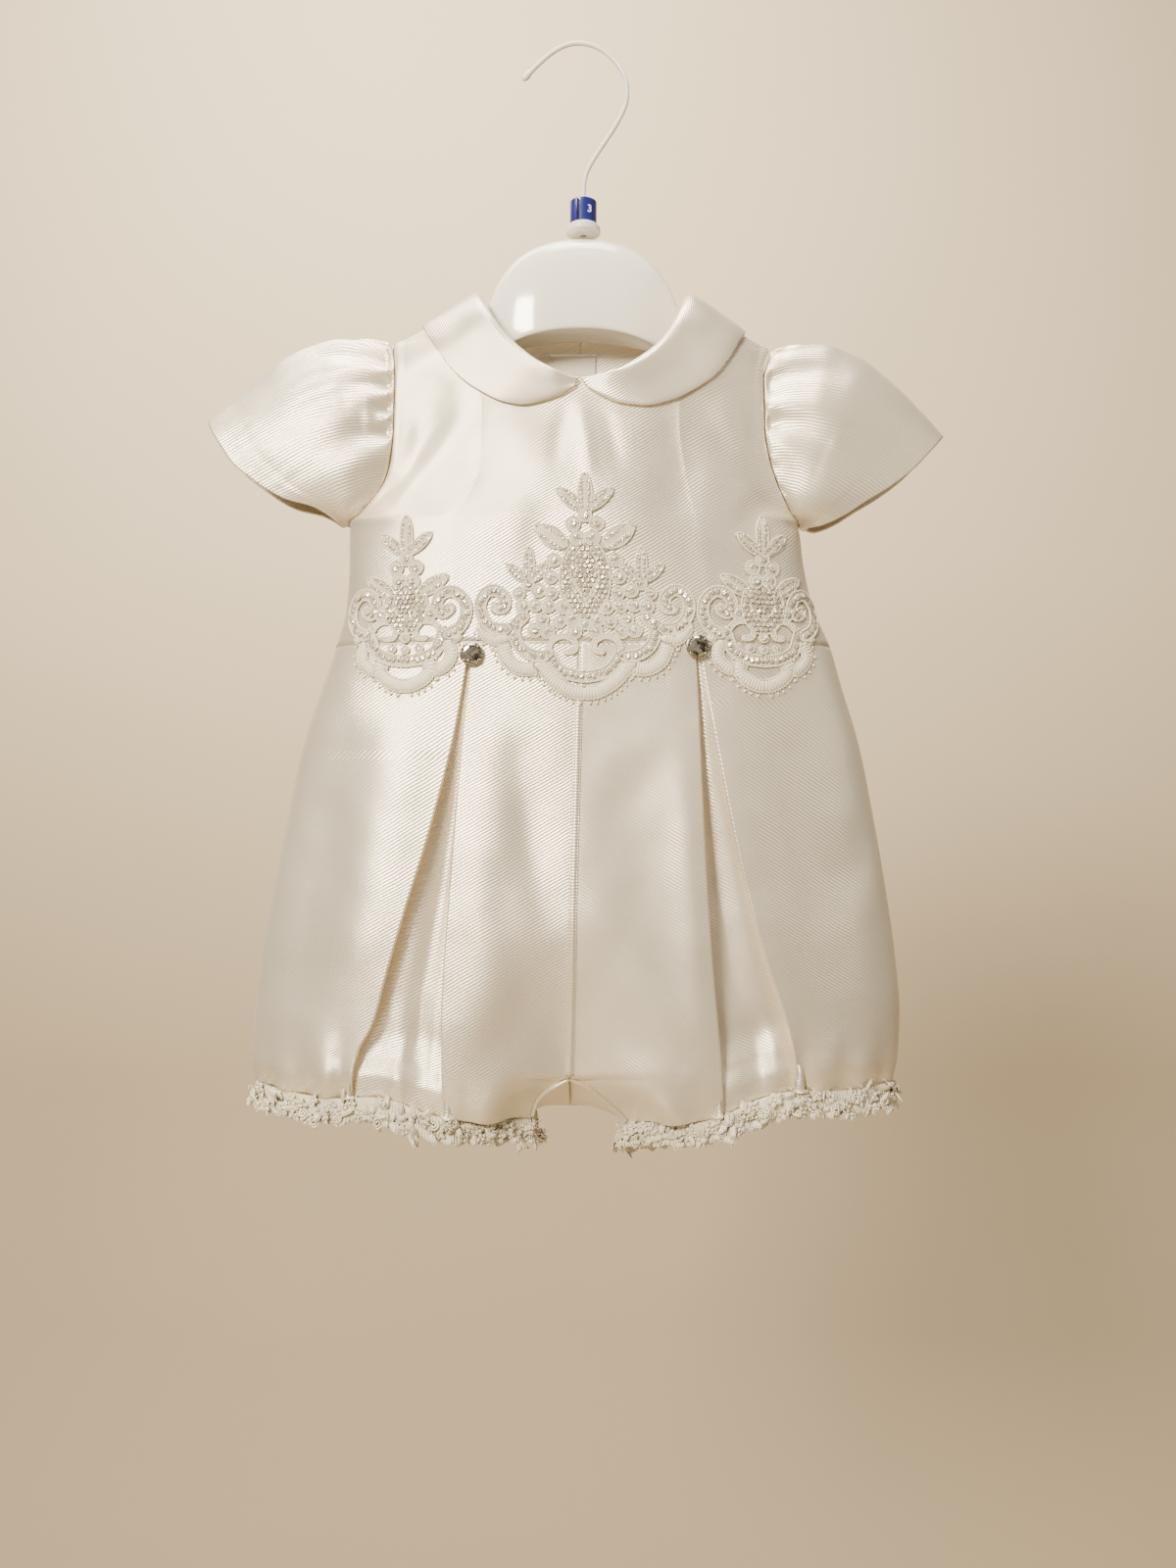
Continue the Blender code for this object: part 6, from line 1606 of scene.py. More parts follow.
def make_motif(name, trim):
    """One motif: its ground, its cords, its sequins and its edge of small beads."""
    shapes, axis, reach, top, bottom = MOTIFS[name]
    lay = over_front(axis, reach, top, bottom)
    chance = np.random.default_rng(len(name) * 7)
    ground, cords, sequins, beads = Heap(), Heap(), Heap(), Heap()
    lace_sheet(ground, shapes, reach, top, bottom)
    add_cords(cords, shapes)
    add_sequins(sequins, shapes, chance)
    add_picots(beads, cords, shapes, chance)
    return laid_pieces(lay, name, [f"motif_{name}"], (
        (ground, "lace", "lace", lace_cloth(trim)),
        (cords, "lace_cords", "lace", lace_cord(trim)),
        (sequins, "sequins", None, sequin(trim)),
        (beads, "lace_beads", None, pearl(trim)),
    ))


# Leg trims, piping and the centre seam


LEG_POINTS = 360


def hem_ring(side, count):
    """Evenly spaced points round a leg's hem, from the corner along the front to the side."""
    out = np.linspace(0, 1, 60)
    start, end = FRONT_HEM[side]["height"][0][0], smooth(BODY[NAMES[side]], SIDE_HEM)
    reach = start + (end - start) * out
    front_z = smooth(FRONT_HEM[side]["height"], reach)
    front_y = -depth(FRONT, side * reach, front_z)
    front_y = front_y + (CORNER_DEPTH - front_y[0]) * (1 - ease(out / 0.35))
    front = stack(side * reach, front_y, front_z)
    hem = BACK_HEM[side]
    back_out, back_y, back_z = (smooth(hem[name], 1 - out) for name in ("out", "depth", "height"))
    ring = np.concatenate([front, stack(side * back_out, back_y, back_z)[1:-1]])
    closed = np.concatenate([ring, ring[:1]])
    reached = lengths_along(closed)
    places = np.linspace(0, reached[-1], count, endpoint=False)
    return np.stack([np.interp(places, reached, closed[:, axis]) for axis in range(3)], axis=1)


def round_the_leg(side):
    """A way to lay flat points (along, -out, below the hem) round a leg, and the way's length."""
    count = LEG_POINTS
    ring = hem_ring(side, count)
    along = np.roll(ring, -3, 0) - np.roll(ring, 3, 0)
    out = unit(stack(along[:, 1], -along[:, 0], 0))
    if np.sum(out * (ring - ring.mean(0))) < 0:
        out = -out
    for _ in range(6):
        out = unit(np.roll(out, 1, 0) + out + np.roll(out, -1, 0))
    length = np.linalg.norm(np.roll(ring, -1, 0) - ring, axis=1).sum()

    def lay(points):
        place = (points[:, 0] / length * count) % count
        low = place.astype(int) % count
        share = (place - np.floor(place))[:, None]
        high = (low + 1) % count
        middle = ring[low] * (1 - share) + ring[high] * share
        away = unit(out[low] * (1 - share) + out[high] * share)
        return middle - away * points[:, 1:2] + stack(0, 0, points[:, 2])

    return lay, length


def ruffle(along, length, side):
    """How far the leg lace waves out at each place along it."""
    turn = 2 * np.pi * along / length
    wide, fine = 1.3 * np.sin(19 * turn + side), 0.5 * np.sin(47 * turn + 0.7 * side)
    return wide + 0.8 * np.sin(31 * turn + 2.1) + fine


def lens(heap, outline, middle, puff, turn):
    """Adds a thin domed shape inside an outline of (along, up) points, turned in space."""
    count = len(outline)
    centre = outline.mean(0)
    inner = centre + (outline - centre) * 0.55
    layers = [(outline, 0.0), (inner, puff), (centre[None], puff * 0.75)]
    layers += [(inner, -0.35), (centre[None], -0.35)]
    points = np.concatenate([stack(flat[:, 0], -rise, flat[:, 1]) for flat, rise in layers])
    top, low = count, 2 * count + 1
    faces = []
    for k in range(count):
        e = (k + 1) % count
        faces += [(k, e, top + e, top + k), (top + k, top + e, 2 * count)]
        faces += [(e, k, low + k, low + e), (low + e, low + k, low + count)]
    points = points @ turn.T + middle
    heap.add(points, faces, np.stack([points[:, 0], points[:, 2]], axis=1))
    return points[:count]


def turned(lean, swing, spin):
    """A turning matrix: spin in the plane of the lace, then lean along it, then swing round."""
    def about(axis, angle):
        c, s = math.cos(angle), math.sin(angle)
        a, b = [k for k in range(3) if k != axis]
        matrix = np.eye(3)
        matrix[a, a], matrix[b, b], matrix[a, b], matrix[b, a] = c, c, -s, s
        return matrix
    return about(2, swing) @ about(0, lean) @ about(1, spin)


def leaf_outline(length, width, count=10):
    """The outline of a small pointed leaf standing on its root."""
    turn = np.linspace(0, 2 * np.pi, count, endpoint=False)
    up = (1 - np.cos(turn)) / 2
    return np.stack([np.sin(turn) * width / 2 * (1 - 0.35 * up), up * length], axis=1)


# The leg lace: its depth, the columns of its ground, and the share of leaves, then of flowers,
# among its shapes. The rest are curls. Also the steps between shapes and their radii of thread
LACE_DEPTH = 10.2
LACE_COLUMNS = 481
LEAVES = 0.5
LEAVES_AND_FLOWERS = 0.85
SHAPE_STEP = (1.1, 2.1)
SHAPE_HEIGHTS = (-11.5, -2.0)
PETALS = 5
LEAF_THREAD = 0.26
PETAL_THREAD = 0.24
CURL_THREAD = 0.42
HANGING_THREAD = 0.13
HANGING_THREADS = 34


def make_leg_lace(side, trim):
    """The ruffled lace of a leg: a waved strip covered with small corded leaves and flowers."""
    lay, length = round_the_leg(side)
    chance = np.random.default_rng(40 + side)
    columns = np.linspace(0, length, LACE_COLUMNS)[None, :]
    down = np.array((0, 0.12, 0.3, 0.5, 0.7, 0.86, 1.0))[:, None]
    scallop = 1.6 * np.abs(np.sin(columns * np.pi / 7.3)) + 0.9 * np.abs(np.sin(columns * np.pi / 4.1 + 1))
    deep = LACE_DEPTH + scallop
    out = -0.9 + 2.2 * down + ruffle(columns, length, side) * down
    strip = stack(columns, -out, -0.6 - deep * down)
    flat = strip.reshape(-1, 3)
    placed = lay(flat).reshape(strip.shape)
    normal = ring_normals(placed)
    uv = np.stack([flat[:, 0], flat[:, 2]], axis=1).reshape(*strip.shape[:2], 2)
    ground = shell(f"lace_leg_{NAMES[side]}", placed, normal, 0.7, lace_cloth(trim), uv, closed=True)
    petals, cords, beads = Heap(), Heap(), Heap()
    at = 0.0
    while at < length:
        kind = chance.random()
        low = chance.uniform(*SHAPE_HEIGHTS)
        wave = -0.6 + 2.0 * -low / 11 + float(ruffle(at, length, side)) * -low / 11
        middle = np.array((at, -(wave + chance.uniform(0.5, 1.6)), low))
        lean, swing = chance.normal(-0.15, 0.4), chance.normal(0, 0.45)
        if kind < LEAVES:
            for _ in range(2):
                spin = chance.uniform(0, 2 * math.pi)
                outline = leaf_outline(chance.uniform(4.6, 7.4), chance.uniform(2.4, 3.8))
                rim = lens(petals, outline, middle, 0.8, turned(lean, swing, spin))
                cords.tube(rim, LEAF_THREAD, 5, closed=True)
        elif kind < LEAVES_AND_FLOWERS:
            size = chance.uniform(2.4, 3.6)
            first = chance.uniform(0, math.pi)
            for petal in range(PETALS):
                spin = first + petal * 2 * math.pi / PETALS
                outline = leaf_outline(size, size * 0.82, 8) + (0, 0.5)
                rim = lens(petals, outline, middle, 0.7, turned(lean, swing, spin))
                cords.tube(rim, PETAL_THREAD, 5, closed=True)
            add_bead(beads, middle + (0, -0.7, 0), 0.75)
        else:
            turn = np.linspace(0, 3.6 * math.pi, 22)
            grow = 0.5 + turn * 0.2
            curl = stack(grow * np.cos(turn), -0.3, grow * np.sin(turn)) @ turned(lean, swing, 0).T + middle
            cords.tube(curl, CURL_THREAD, 6)
        at += chance.uniform(*SHAPE_STEP)
    for _ in range(HANGING_THREADS):
        start = np.array((chance.uniform(-9, 11), -chance.uniform(0.5, 2.5), chance.uniform(-13, -3)))
        reach = chance.uniform(3.0, 6.5)
        way = unit(np.array((chance.normal(-0.6, 0.6), -chance.uniform(0, 0.7), chance.normal(-0.5, 0.5))))
        bend = chance.normal(0, 1.0, 3)
        share = np.linspace(0, 1, 6)[:, None]
        line = start + way * reach * share + bend * np.sin(np.pi * share) * 0.8
        cords.tube(line, HANGING_THREAD, 4)
    show(ground, [f"leg_lace_{NAMES[side]}"], "lace")
    return [ground] + laid_pieces(lay, NAMES[side], [], (
        (petals, "lace_petals", "lace", lace_cloth(trim)),
        (cords, "lace_threads", "lace", lace_cord(trim)),
        (beads, "lace_pearls", None, pearl(trim)),
    ))


def make_leg_band(side, cloth):
    """The plain band below a hem, behind its lace."""
    lay, length = round_the_leg(side)
    columns = np.linspace(0, length, 241)[None, :]
    down = np.array((0.85, 2.4, 4.5, 7.0, 9.0, 9.8))[:, None]
    under = stack(columns, 2.0 + 0.25 * np.sin(columns / 5.1) * (down / 10), -down)
    placed = lay(under.reshape(-1, 3)).reshape(under.shape)
    normal = ring_normals(placed)
    uv = np.stack(np.broadcast_arrays(columns, down), axis=-1)
    return satin_piece(f"leg_band_{NAMES[side]}", placed, normal, uv, cloth, BAND, closed=True)


def make_piping(cloth):
    """The thin bound edge round the crotch arch."""
    share = np.linspace(0, 1, 24)
    halves = []
    for side in SIDES:
        arch = ARCH[side]
        x, y, z = (smooth(arch[name], share) for name in ("across", "depth", "height"))
        halves.append(stack(x, y - 0.8, z) + arch_normal(side, share) * (0.35, 0.35, 0.35))
    line = np.concatenate([halves[0][::-1], halves[1][1:]])
    heap = Heap()
    heap.tube(line, PIPING, 8)
    return show(heap.piece("crotch_piping", satin(cloth)), [], "satin")


SEAM_EDGE = 0.42
SEAM_SUNK = -0.32
PIPING = 0.95


def seam_on(heap, face, x, z):
    """Adds a seam's sewn edge, just under the cloth."""
    heap.tube(on_body(face, x, z, np.full(len(z), SEAM_SUNK)), SEAM_EDGE, 6)


def make_waist_seam(cloth):
    """The sewn edges that fill the waist seam and the centre seams of front and back."""
    heap = Heap()
    for face in (FRONT, BACK):
        z = np.full(121, WAIST)
        x = np.linspace(float(body_edge(LEFT, WAIST)) + 0.5, float(body_edge(RIGHT, WAIST)) - 0.5, 121)
        seam_on(heap, face, x, z)
    z = np.linspace(WAIST, -336.0, 24)
    seam_on(heap, FRONT, smooth(CENTRE["across"], z), z)
    left, right = float(body_edge(LEFT, TOP_EDGE)), float(body_edge(RIGHT, TOP_EDGE))
    z = np.linspace(-142.0, WAIST, 90)
    x = body_edge(LEFT, z) - (body_edge(RIGHT, z) - body_edge(LEFT, z)) * left / (right - left)
    seam_on(heap, BACK, x, z)
    share = np.linspace(0, 0.84, 80)
    x, y, z = (smooth(SEAT_LINE[name], share) for name in ("across", "depth", "height"))
    heap.tube(stack(x, y - 0.4, z), 0.45, 6)
    return show(heap.piece("waist_seam", satin(cloth)), [], "satin")


def make_welt(cloth):
    """The raised seam down the centre front, with a stitched line on each side."""
    z = np.linspace(-334.0, -519.0, 90)[:, None]
    across = np.array((-2.1, -1.45, -1.25, -1.05, -0.6, 0, 0.6, 1.05, 1.25, 1.45, 2.1))[None, :]
    rise = np.array((0.12, 0.16, 0.1, 0.8, 1.05, 1.1, 1.05, 0.8, 0.1, 0.16, 0.12))[None, :]
    x = smooth(CENTRE["across"], z) + across
    outer = on_body(FRONT, x, z, rise + 0.1 + 0 * z)
    inner_lift = on_body(FRONT, x, z, 0 * rise - 0.3 + 0 * z)
    uv = stack(x, z, 0)[..., :2]
    return satin_piece("centre_welt", outer, unit(outer - inner_lift), uv, cloth, WELT)


# Stones, label and hanger

STONES = {LEFT: (-52.4, -314.0), RIGHT: (57.0, -310.5)}
# A stone and its setting: radii, depths, and how far each stands from the setting's back
STONE_SIDES = 16
STONE_RADIUS = 4.95 * MM
STONE_GIRDLE = 0.8 * MM
STONE_RISE = 2.4 * MM
# Each row of facets: how much narrower its upper end is, and its height
FACETS = ((0.82, 0.6 * MM), (0.72, 0.25 * MM))
RIM_RADIUS = 5.15 * MM
RIM_WIRE = 0.6 * MM
RIM_RISE = 2.0 * MM
CUP_BACK = 5.3 * MM
CUP_FRONT = 5.5 * MM
CUP_DEPTH = 1.9 * MM
CLAW_REACH = 5.0 * MM
CLAW_RADIUS = 0.75 * MM
CLAW_RISE = 2.9 * MM


def choose(pieces):
    """Selects these pieces alone, and makes the first one active."""
    bpy.ops.object.select_all(action="DESELECT")
    for piece in pieces:
        piece.select_set(True)
    bpy.context.view_layer.objects.active = pieces[0]


def join_into(name, pieces):
    """Joins pieces into one object with its place in its mesh."""
    choose(pieces)
    bpy.ops.object.join()
    bpy.ops.object.transform_apply(location=True, rotation=True, scale=True)
    pieces[0].name = name
    return pieces[0]


def make_stone(side, trim):
    """A cut stone with a flat table and two rows of facets, in a claw setting."""
    x, z = STONES[side]
    y = float(on_body(FRONT, np.array([x]), np.array([z]))[0, 1])
    bpy.ops.object.select_all(action="DESELECT")
    bpy.ops.mesh.primitive_cylinder_add(
        vertices=STONE_SIDES, radius=STONE_RADIUS, depth=STONE_GIRDLE, location=(0, 0, STONE_RISE)
    )
    stone = bpy.context.active_object
    bpy.ops.object.mode_set(mode="EDIT")
    bpy.ops.mesh.select_mode(type="FACE")
    for narrower, rise in FACETS:
        bpy.ops.mesh.select_all(action="DESELECT")
        edit = bmesh.from_edit_mesh(stone.data)
        top = max(edit.faces, key=lambda face: face.calc_center_median().z)
        top.select = True
        bmesh.update_edit_mesh(stone.data)
        bpy.ops.mesh.extrude_region_move(TRANSFORM_OT_translate={"value": (0, 0, rise)})
        bpy.ops.transform.resize(value=(narrower, narrower, 1))
        bpy.ops.transform.rotate(value=math.pi / STONE_SIDES, orient_axis="Z", center_override=(0, 0, 0))
    bpy.ops.mesh.select_all(action="SELECT")
    bpy.ops.mesh.quads_convert_to_tris()
    bpy.ops.object.mode_set(mode="OBJECT")
    stone.data.materials.append(crystal())
    bpy.ops.mesh.primitive_torus_add(
        major_radius=RIM_RADIUS, minor_radius=RIM_WIRE, major_segments=40, minor_segments=8,
        location=(0, 0, RIM_RISE),
    )
    rim = bpy.context.active_object
    bpy.ops.object.shade_smooth()
    bpy.ops.mesh.primitive_cone_add(
        vertices=40, radius1=CUP_BACK, radius2=CUP_FRONT, depth=CUP_DEPTH, location=(0, 0, CUP_DEPTH / 2)
    )
    cup = bpy.context.active_object
    bpy.ops.object.shade_smooth_by_angle(angle=math.radians(40))
    claws = []
    for turn in range(4):
        angle = math.radians(45 + 90 * turn)
        place = (CLAW_REACH * math.cos(angle), CLAW_REACH * math.sin(angle), CLAW_RISE)
        bpy.ops.mesh.primitive_uv_sphere_add(segments=12, ring_count=8, radius=CLAW_RADIUS, location=place)
        bpy.ops.object.shade_smooth()
        claws.append(bpy.context.active_object)
    for each in (rim, cup, *claws):
        each.data.materials.append(setting_metal(trim))
    setting = join_into(f"claw_setting_{NAMES[side]}", [rim, cup, *claws])
    stone = join_into(f"cut_stone_{NAMES[side]}", [stone])
    for each in (stone, setting):
        each.rotation_euler = (math.radians(90), 0, 0)
        each.location = (x * MM, y * MM - CUP_DEPTH / 2, z * MM)
        join_into(each.name, [each])
    show(stone, [f"stone_{NAMES[side]}"], "crystal")
    show(setting, [f"stone_setting_{NAMES[side]}"], "setting")


def crystal():
    """A foiled stone with painted reflection: patches of its colour turn near black or bright, as facets that
    mirror dark or bright surroundings.
    """
    if "foiled crystal" in bpy.data.materials:
        return bpy.data.materials["foiled crystal"]
    material, n, shader = new_material("foiled crystal")
    # Painted reflection: cells of near black and bright colour stand in for facets that mirror dark or bright
    # surroundings.
    spots = n.node("ShaderNodeTexVoronoi", {"Vector": n.object_place(), "Scale": 620.0})
    split = n.node("ShaderNodeSeparateColor", {"Color": spots.outputs["Color"]})
    deep = n.mix(split.outputs["Red"], (0.03, 0.027, 0.022, 1.0), (0.7, 0.64, 0.52, 1.0))
    n.link(deep, shader.inputs["Base Color"])
    n.set(shader, {"Metallic": 0.85, "Roughness": 0.08, "Coat Weight": 1.0, "Coat Roughness": 0.02})
    return material


def setting_metal(trim):
    """The stones' silvery metal."""
    if "setting metal" in bpy.data.materials:
        return bpy.data.materials["setting metal"]
    material, n, shader = new_material("setting metal")
    n.set(shader, {"Base Color": (*trim.metal, 1.0), "Metallic": 1.0})
    grain = n.noise(n.object_place(), 900.0, 2.0)
    n.link(n.math("MULTIPLY_ADD", grain, 0.15, 0.16), shader.inputs["Roughness"])
    return material


LABEL = (-16.0, 8.6, -152.5, -174.0)
LABEL_THICKNESS = 0.5


def make_label(trim):
    """The bare woven label inside the back of the neck, stitched at its ends."""
    left, right, top, bottom = LABEL
    x = np.linspace(left, right, 30)[None, :]
    z = np.linspace(top, bottom, 26)[:, None]
    behind = depth(BACK, x, z) - CLOTH - LABEL_THICKNESS
    edge = np.minimum(np.minimum(x - left, right - x) / 1.2, np.minimum(top - z, z - bottom) / 1.2)
    sag = 0.35 * np.sin((x - left) / 5.0) * np.sin((z - top) / 7.0)
    outer = stack(x, behind - 0.3 * ease(edge) + sag, z)
    uv = stack(x + 0 * z, z + 0 * x, 0)[..., :2]
    # Painted shade between the label's woven threads, from a darker copy of its colour.
    deep = tuple(0.8 * value for value in trim.label)
    material = thread("label weave", tuple(trim.label), deep, 0.0005, 0.0, 0.5, 0.45)
    piece = shell("woven_label", outer, normals(outer, (0, -1, 0)), LABEL_THICKNESS, material, uv)
    stitches = Heap()
    for across in (left + 1.0, right - 1.0):
        for up in np.arange(bottom + 1.5, top - 1.0, 2.2):
            at = float(depth(BACK, across, up)) - CLOTH - LABEL_THICKNESS
            stitch = ((across, at - 0.3, up), (across, at - 0.62, up + 0.8), (across, at - 0.3, up + 1.6))
            stitches.tube(stitch, 0.16, 5)
    show(stitches.piece("label_stitches", lace_cord(trim)), [], "label")
    return show(piece, ["neck_label"], "label")


def flat_below(mesh):
    """Gives the moulded body a flat underside with a crisp edge in front, near its middle."""
    points = np.array([vert.co for vert in mesh.vertices]) / MM
    corner = np.zeros(len(points))
    for x in np.unique(points[:, 0].round(1)):
        ring = np.abs(points[:, 0] - x) < 0.1
        share = float(ease(np.array((50 - abs(x - 1.5)) / 24)))
        y, z = points[ring, 1], points[ring, 2]
        middle, half, deepest = (z.max() + z.min()) / 2, (z.max() - z.min()) / 2, np.abs(y).max()
        drop = (middle - z) / half
        low = (drop > 0.7) & (np.abs(y) > 0.1)
        flank = (drop > 0.3) & (drop <= 0.7)
        wide = np.where(low, 0.94, np.where(flank, 1.0, np.abs(y) / deepest)) * deepest * np.sign(y)
        points[ring, 1] = y + (wide - y) * share
        points[ring, 2] = np.where(low, z + (z.min() + 0.4 - z) * share, z)
        corner[ring] = np.where(low, share * np.sign(y), 0)
    for vert, place in zip(mesh.vertices, points):
        vert.co = place * MM
    crease = mesh.attributes.new("crease_edge", "FLOAT", "EDGE")
    for edge in mesh.edges:
        first, second = (corner[k] for k in edge.vertices)
        crease.data[edge.index].value = 0.88 * math.sqrt(max(first * second, 0))


def from_part(node, name, material, levels=2, shape=None):
    """A copy of a node of the part, merged, its flat faces joined to quads, and rounded."""
    source = bpy.data.objects[node]
    mesh = source.data.copy()
    piece = bpy.data.objects.new(name, mesh)
    piece.matrix_world = source.matrix_world
    bpy.context.scene.collection.objects.link(piece)
    mesh.materials.clear()
    mesh.materials.append(material)
    choose([piece])
    bpy.ops.object.transform_apply(location=True, rotation=True, scale=True)
    bpy.ops.object.mode_set(mode="EDIT")
    bpy.ops.mesh.select_all(action="SELECT")
    bpy.ops.mesh.remove_doubles(threshold=1e-6)
    bpy.ops.mesh.tris_convert_to_quads(face_threshold=math.radians(60), shape_threshold=math.radians(60))
    bpy.ops.mesh.normals_make_consistent(inside=False)
    bpy.ops.object.mode_set(mode="OBJECT")
    if shape:
        shape(mesh)
    if levels:
        round_off = piece.modifiers.new("round", "SUBSURF")
        round_off.levels = round_off.render_levels = levels
        bpy.ops.object.modifier_apply(modifier="round")
    bpy.ops.object.shade_smooth_by_angle(angle=math.radians(45))
    return piece


def make_hanger(hanger):
    """The moulded body, the bush, the size ring with its numeral, and the coated hook."""
    white = plastic("hanger plastic", tuple(hanger.white), hanger.gloss, 0.3, 0.6)
    show(from_part("hanger_body", "moulded_body", white, 3, flat_below), ["hanger_body"], "hanger_plastic")
    clear = plastic("cloudy plastic", (0.8, 0.79, 0.76), 0.22, 0.3, 0.4)
    show(from_part("hanger_bush", "hook_bush", clear, 0), ["hanger_bush"], "clear_plastic")
    blue = plastic("blue plastic", tuple(hanger.ring), 0.3, 0.0, 0.3)
    show(from_part("size_ring", "size_clip", blue, 0), ["size_ring"], "size_ring")
    coated = plastic("coated wire", (0.84, 0.82, 0.78), 0.3, 0.0, 0.5)
    show(from_part("hanger_hook", "coated_hook", coated, 1), ["hanger_hook"], "hook_wire")
    # The numeral, printed on the ring's right front
    bpy.ops.object.select_all(action="DESELECT")
    bpy.ops.object.text_add(location=(0, 0, 0))
    numeral = bpy.context.active_object
    numeral.data.body = "3"
    numeral.data.size = 5.2 * MM
    numeral.data.align_x, numeral.data.align_y = "CENTER", "CENTER"
    numeral.data.extrude = 0.05 * MM
    numeral.data.offset = 0.08 * MM
    bpy.ops.object.convert(target="MESH")
    turn = math.radians(NUMERAL_TURN)
    x, z, radius = NUMERAL_PLACE
    numeral.rotation_euler = (math.radians(90), 0, turn)
    numeral.location = ((x + radius * math.sin(turn)) * MM, -radius * math.cos(turn) * MM, z * MM)
    ink = plastic("white ink", (0.9, 0.9, 0.9), 0.5)
    numeral.data.materials.append(ink)
    show(join_into("size_numeral", [numeral]), [])


NUMERAL_TURN = 27.0
NUMERAL_PLACE = (1.6, -86.5, 7.1)


# Stage, in metres

LENS = 27.9
CAMERA_PLACE = (0.004, -0.62, -0.377)
BACKDROP = 7.0
BACKDROP_PLACE = (0, -2.1, -1.36)
WALL_HEIGHT = 4.6
WALL_BEND = 0.5
MIDDLE = (0.0, 0.0, -0.32)
# Each light: where it stands, what it points at, its size, its power in watts and its colour
LIGHTS = {
    "key": ((-0.6, -1.18, 0.24), MIDDLE, 0.34, 42, (1.0, 0.89, 0.72)),
    "side": ((1.15, -0.8, 0.1), MIDDLE, 0.35, 1.8, (1.0, 0.88, 0.72)),
    "low": ((-0.6, -1.4, -0.9), (0, 0, -0.45), 0.35, 3, (1.0, 0.9, 0.74)),
    "top": ((0.0, -0.3, 0.95), MIDDLE, 0.5, 15, (1.0, 0.92, 0.79)),
    "wall": ((-0.4, 0.2, 1.2), (0, 1.4, -0.05), 1.1, 56, (1.0, 0.9, 0.75)),
}


def make_camera():
    """The camera at the photograph's place."""
    data = bpy.data.cameras.new("camera")
    data.sensor_fit = "VERTICAL"
    data.sensor_height = 36.0
    data.lens = LENS
    camera = bpy.data.objects.new("camera", data)
    camera.location = CAMERA_PLACE
    camera.rotation_euler = (math.radians(90), 0, 0)
    bpy.context.scene.collection.objects.link(camera)
    bpy.context.scene.camera = camera


def area_light(name, place, aim, size, power, colour):
    """A square soft light that looks at a point."""
    data = bpy.data.lights.new(name, "AREA")
    data.size = size
    data.energy = power
    data.color = colour
    light = bpy.data.objects.new(name, data)
    light.location = place
    away = np.array(place, float) - np.array(aim, float)
    light.rotation_euler = (
        math.atan2(math.hypot(away[0], away[1]), away[2]),
        0,
        math.atan2(away[1], away[0]) + math.pi / 2,
    )
    bpy.context.scene.collection.objects.link(light)


def make_stage(stage):
    """A pale floor that curves up into a backdrop, soft lights and the camera."""
    bpy.ops.object.select_all(action="DESELECT")
    bpy.ops.mesh.primitive_plane_add(size=BACKDROP, location=BACKDROP_PLACE)
    floor = bpy.context.active_object
    floor.name = "backdrop"
    bpy.ops.object.mode_set(mode="EDIT")
    far = BACKDROP / 2 - 0.1
    edit = bmesh.from_edit_mesh(floor.data)
    for edge in edit.edges:
        edge.select = all(vert.co.y > far for vert in edge.verts)
    bmesh.update_edit_mesh(floor.data)
    bpy.ops.mesh.select_mode(type="EDGE")
    bpy.ops.mesh.extrude_region_move(TRANSFORM_OT_translate={"value": (0, 0, WALL_HEIGHT)})
    edit = bmesh.from_edit_mesh(floor.data)
    for edge in edit.edges:
        edge.select = all(vert.co.y > far and vert.co.z < far / 2 for vert in edge.verts)
    bmesh.update_edit_mesh(floor.data)
    bpy.ops.mesh.bevel(offset=WALL_BEND, segments=16)
    bpy.ops.object.mode_set(mode="OBJECT")
    bpy.ops.object.transform_apply(location=True)
    floor.data.shade_smooth()
    material, n, shader = new_material("backdrop paint")
    # Painted shade: the backdrop darkens unevenly towards the bottom, where the light falls off.
    where = n.object_place()
    height = n.node("ShaderNodeSeparateXYZ", {"Vector": where}).outputs["Z"]
    low = n.node("ShaderNodeMapRange", {"Value": height, "From Min": 0.0, "From Max": -1.3}).outputs["Result"]
    share = n.math("MULTIPLY_ADD", n.noise(where, 3.0, 3.0), 0.12, low)
    colour = tuple(stage.wall)
    deep = (colour[0] * 0.56, colour[1] * 0.53, colour[2] * 0.5, 1.0)
    n.link(n.mix(share, (*colour, 1.0), deep), shader.inputs["Base Color"])
    shader.inputs["Roughness"].default_value = 0.85
    floor.data.materials.append(material)
    world = bpy.data.worlds.new("studio")
    world.use_nodes = True
    background = world.node_tree.nodes["Background"]
    background.inputs["Color"].default_value = (1.0, 0.89, 0.71, 1.0)
    background.inputs["Strength"].default_value = stage.fill
    bpy.context.scene.world = world
    for name, (place, aim, size, power, colour) in LIGHTS.items():
        area_light(name, place, aim, size, power * stage.light, colour)
    make_camera()


# The add-on's settings and operators


def colour_setting(name, description, default):
    """A colour among the settings."""
    return bpy.props.FloatVectorProperty(
        name=name, description=description, subtype="COLOR", size=3, default=default
    )


class RomperCloth(bpy.types.PropertyGroup):
    """The satin's settings."""

    satin: colour_setting("Satin", "Colour of the satin", (0.945, 0.86, 0.71))
    roughness: bpy.props.FloatProperty(
        name="Roughness", description="How soft the satin's highlights are", default=0.3, min=0.1, max=0.8
    )
    rib_pitch: bpy.props.FloatProperty(
        name="Rib pitch", description="Distance between the ribs of the weave", default=0.00145, unit="LENGTH"
    )
    rib_angle: bpy.props.FloatProperty(
        name="Rib angle", description="Slope of the ribs across the front, in degrees", default=30.0
    )
    rib_strength: bpy.props.FloatProperty(
        name="Rib strength", description="How strongly the ribs stand out", default=0.7, min=0, max=1
    )


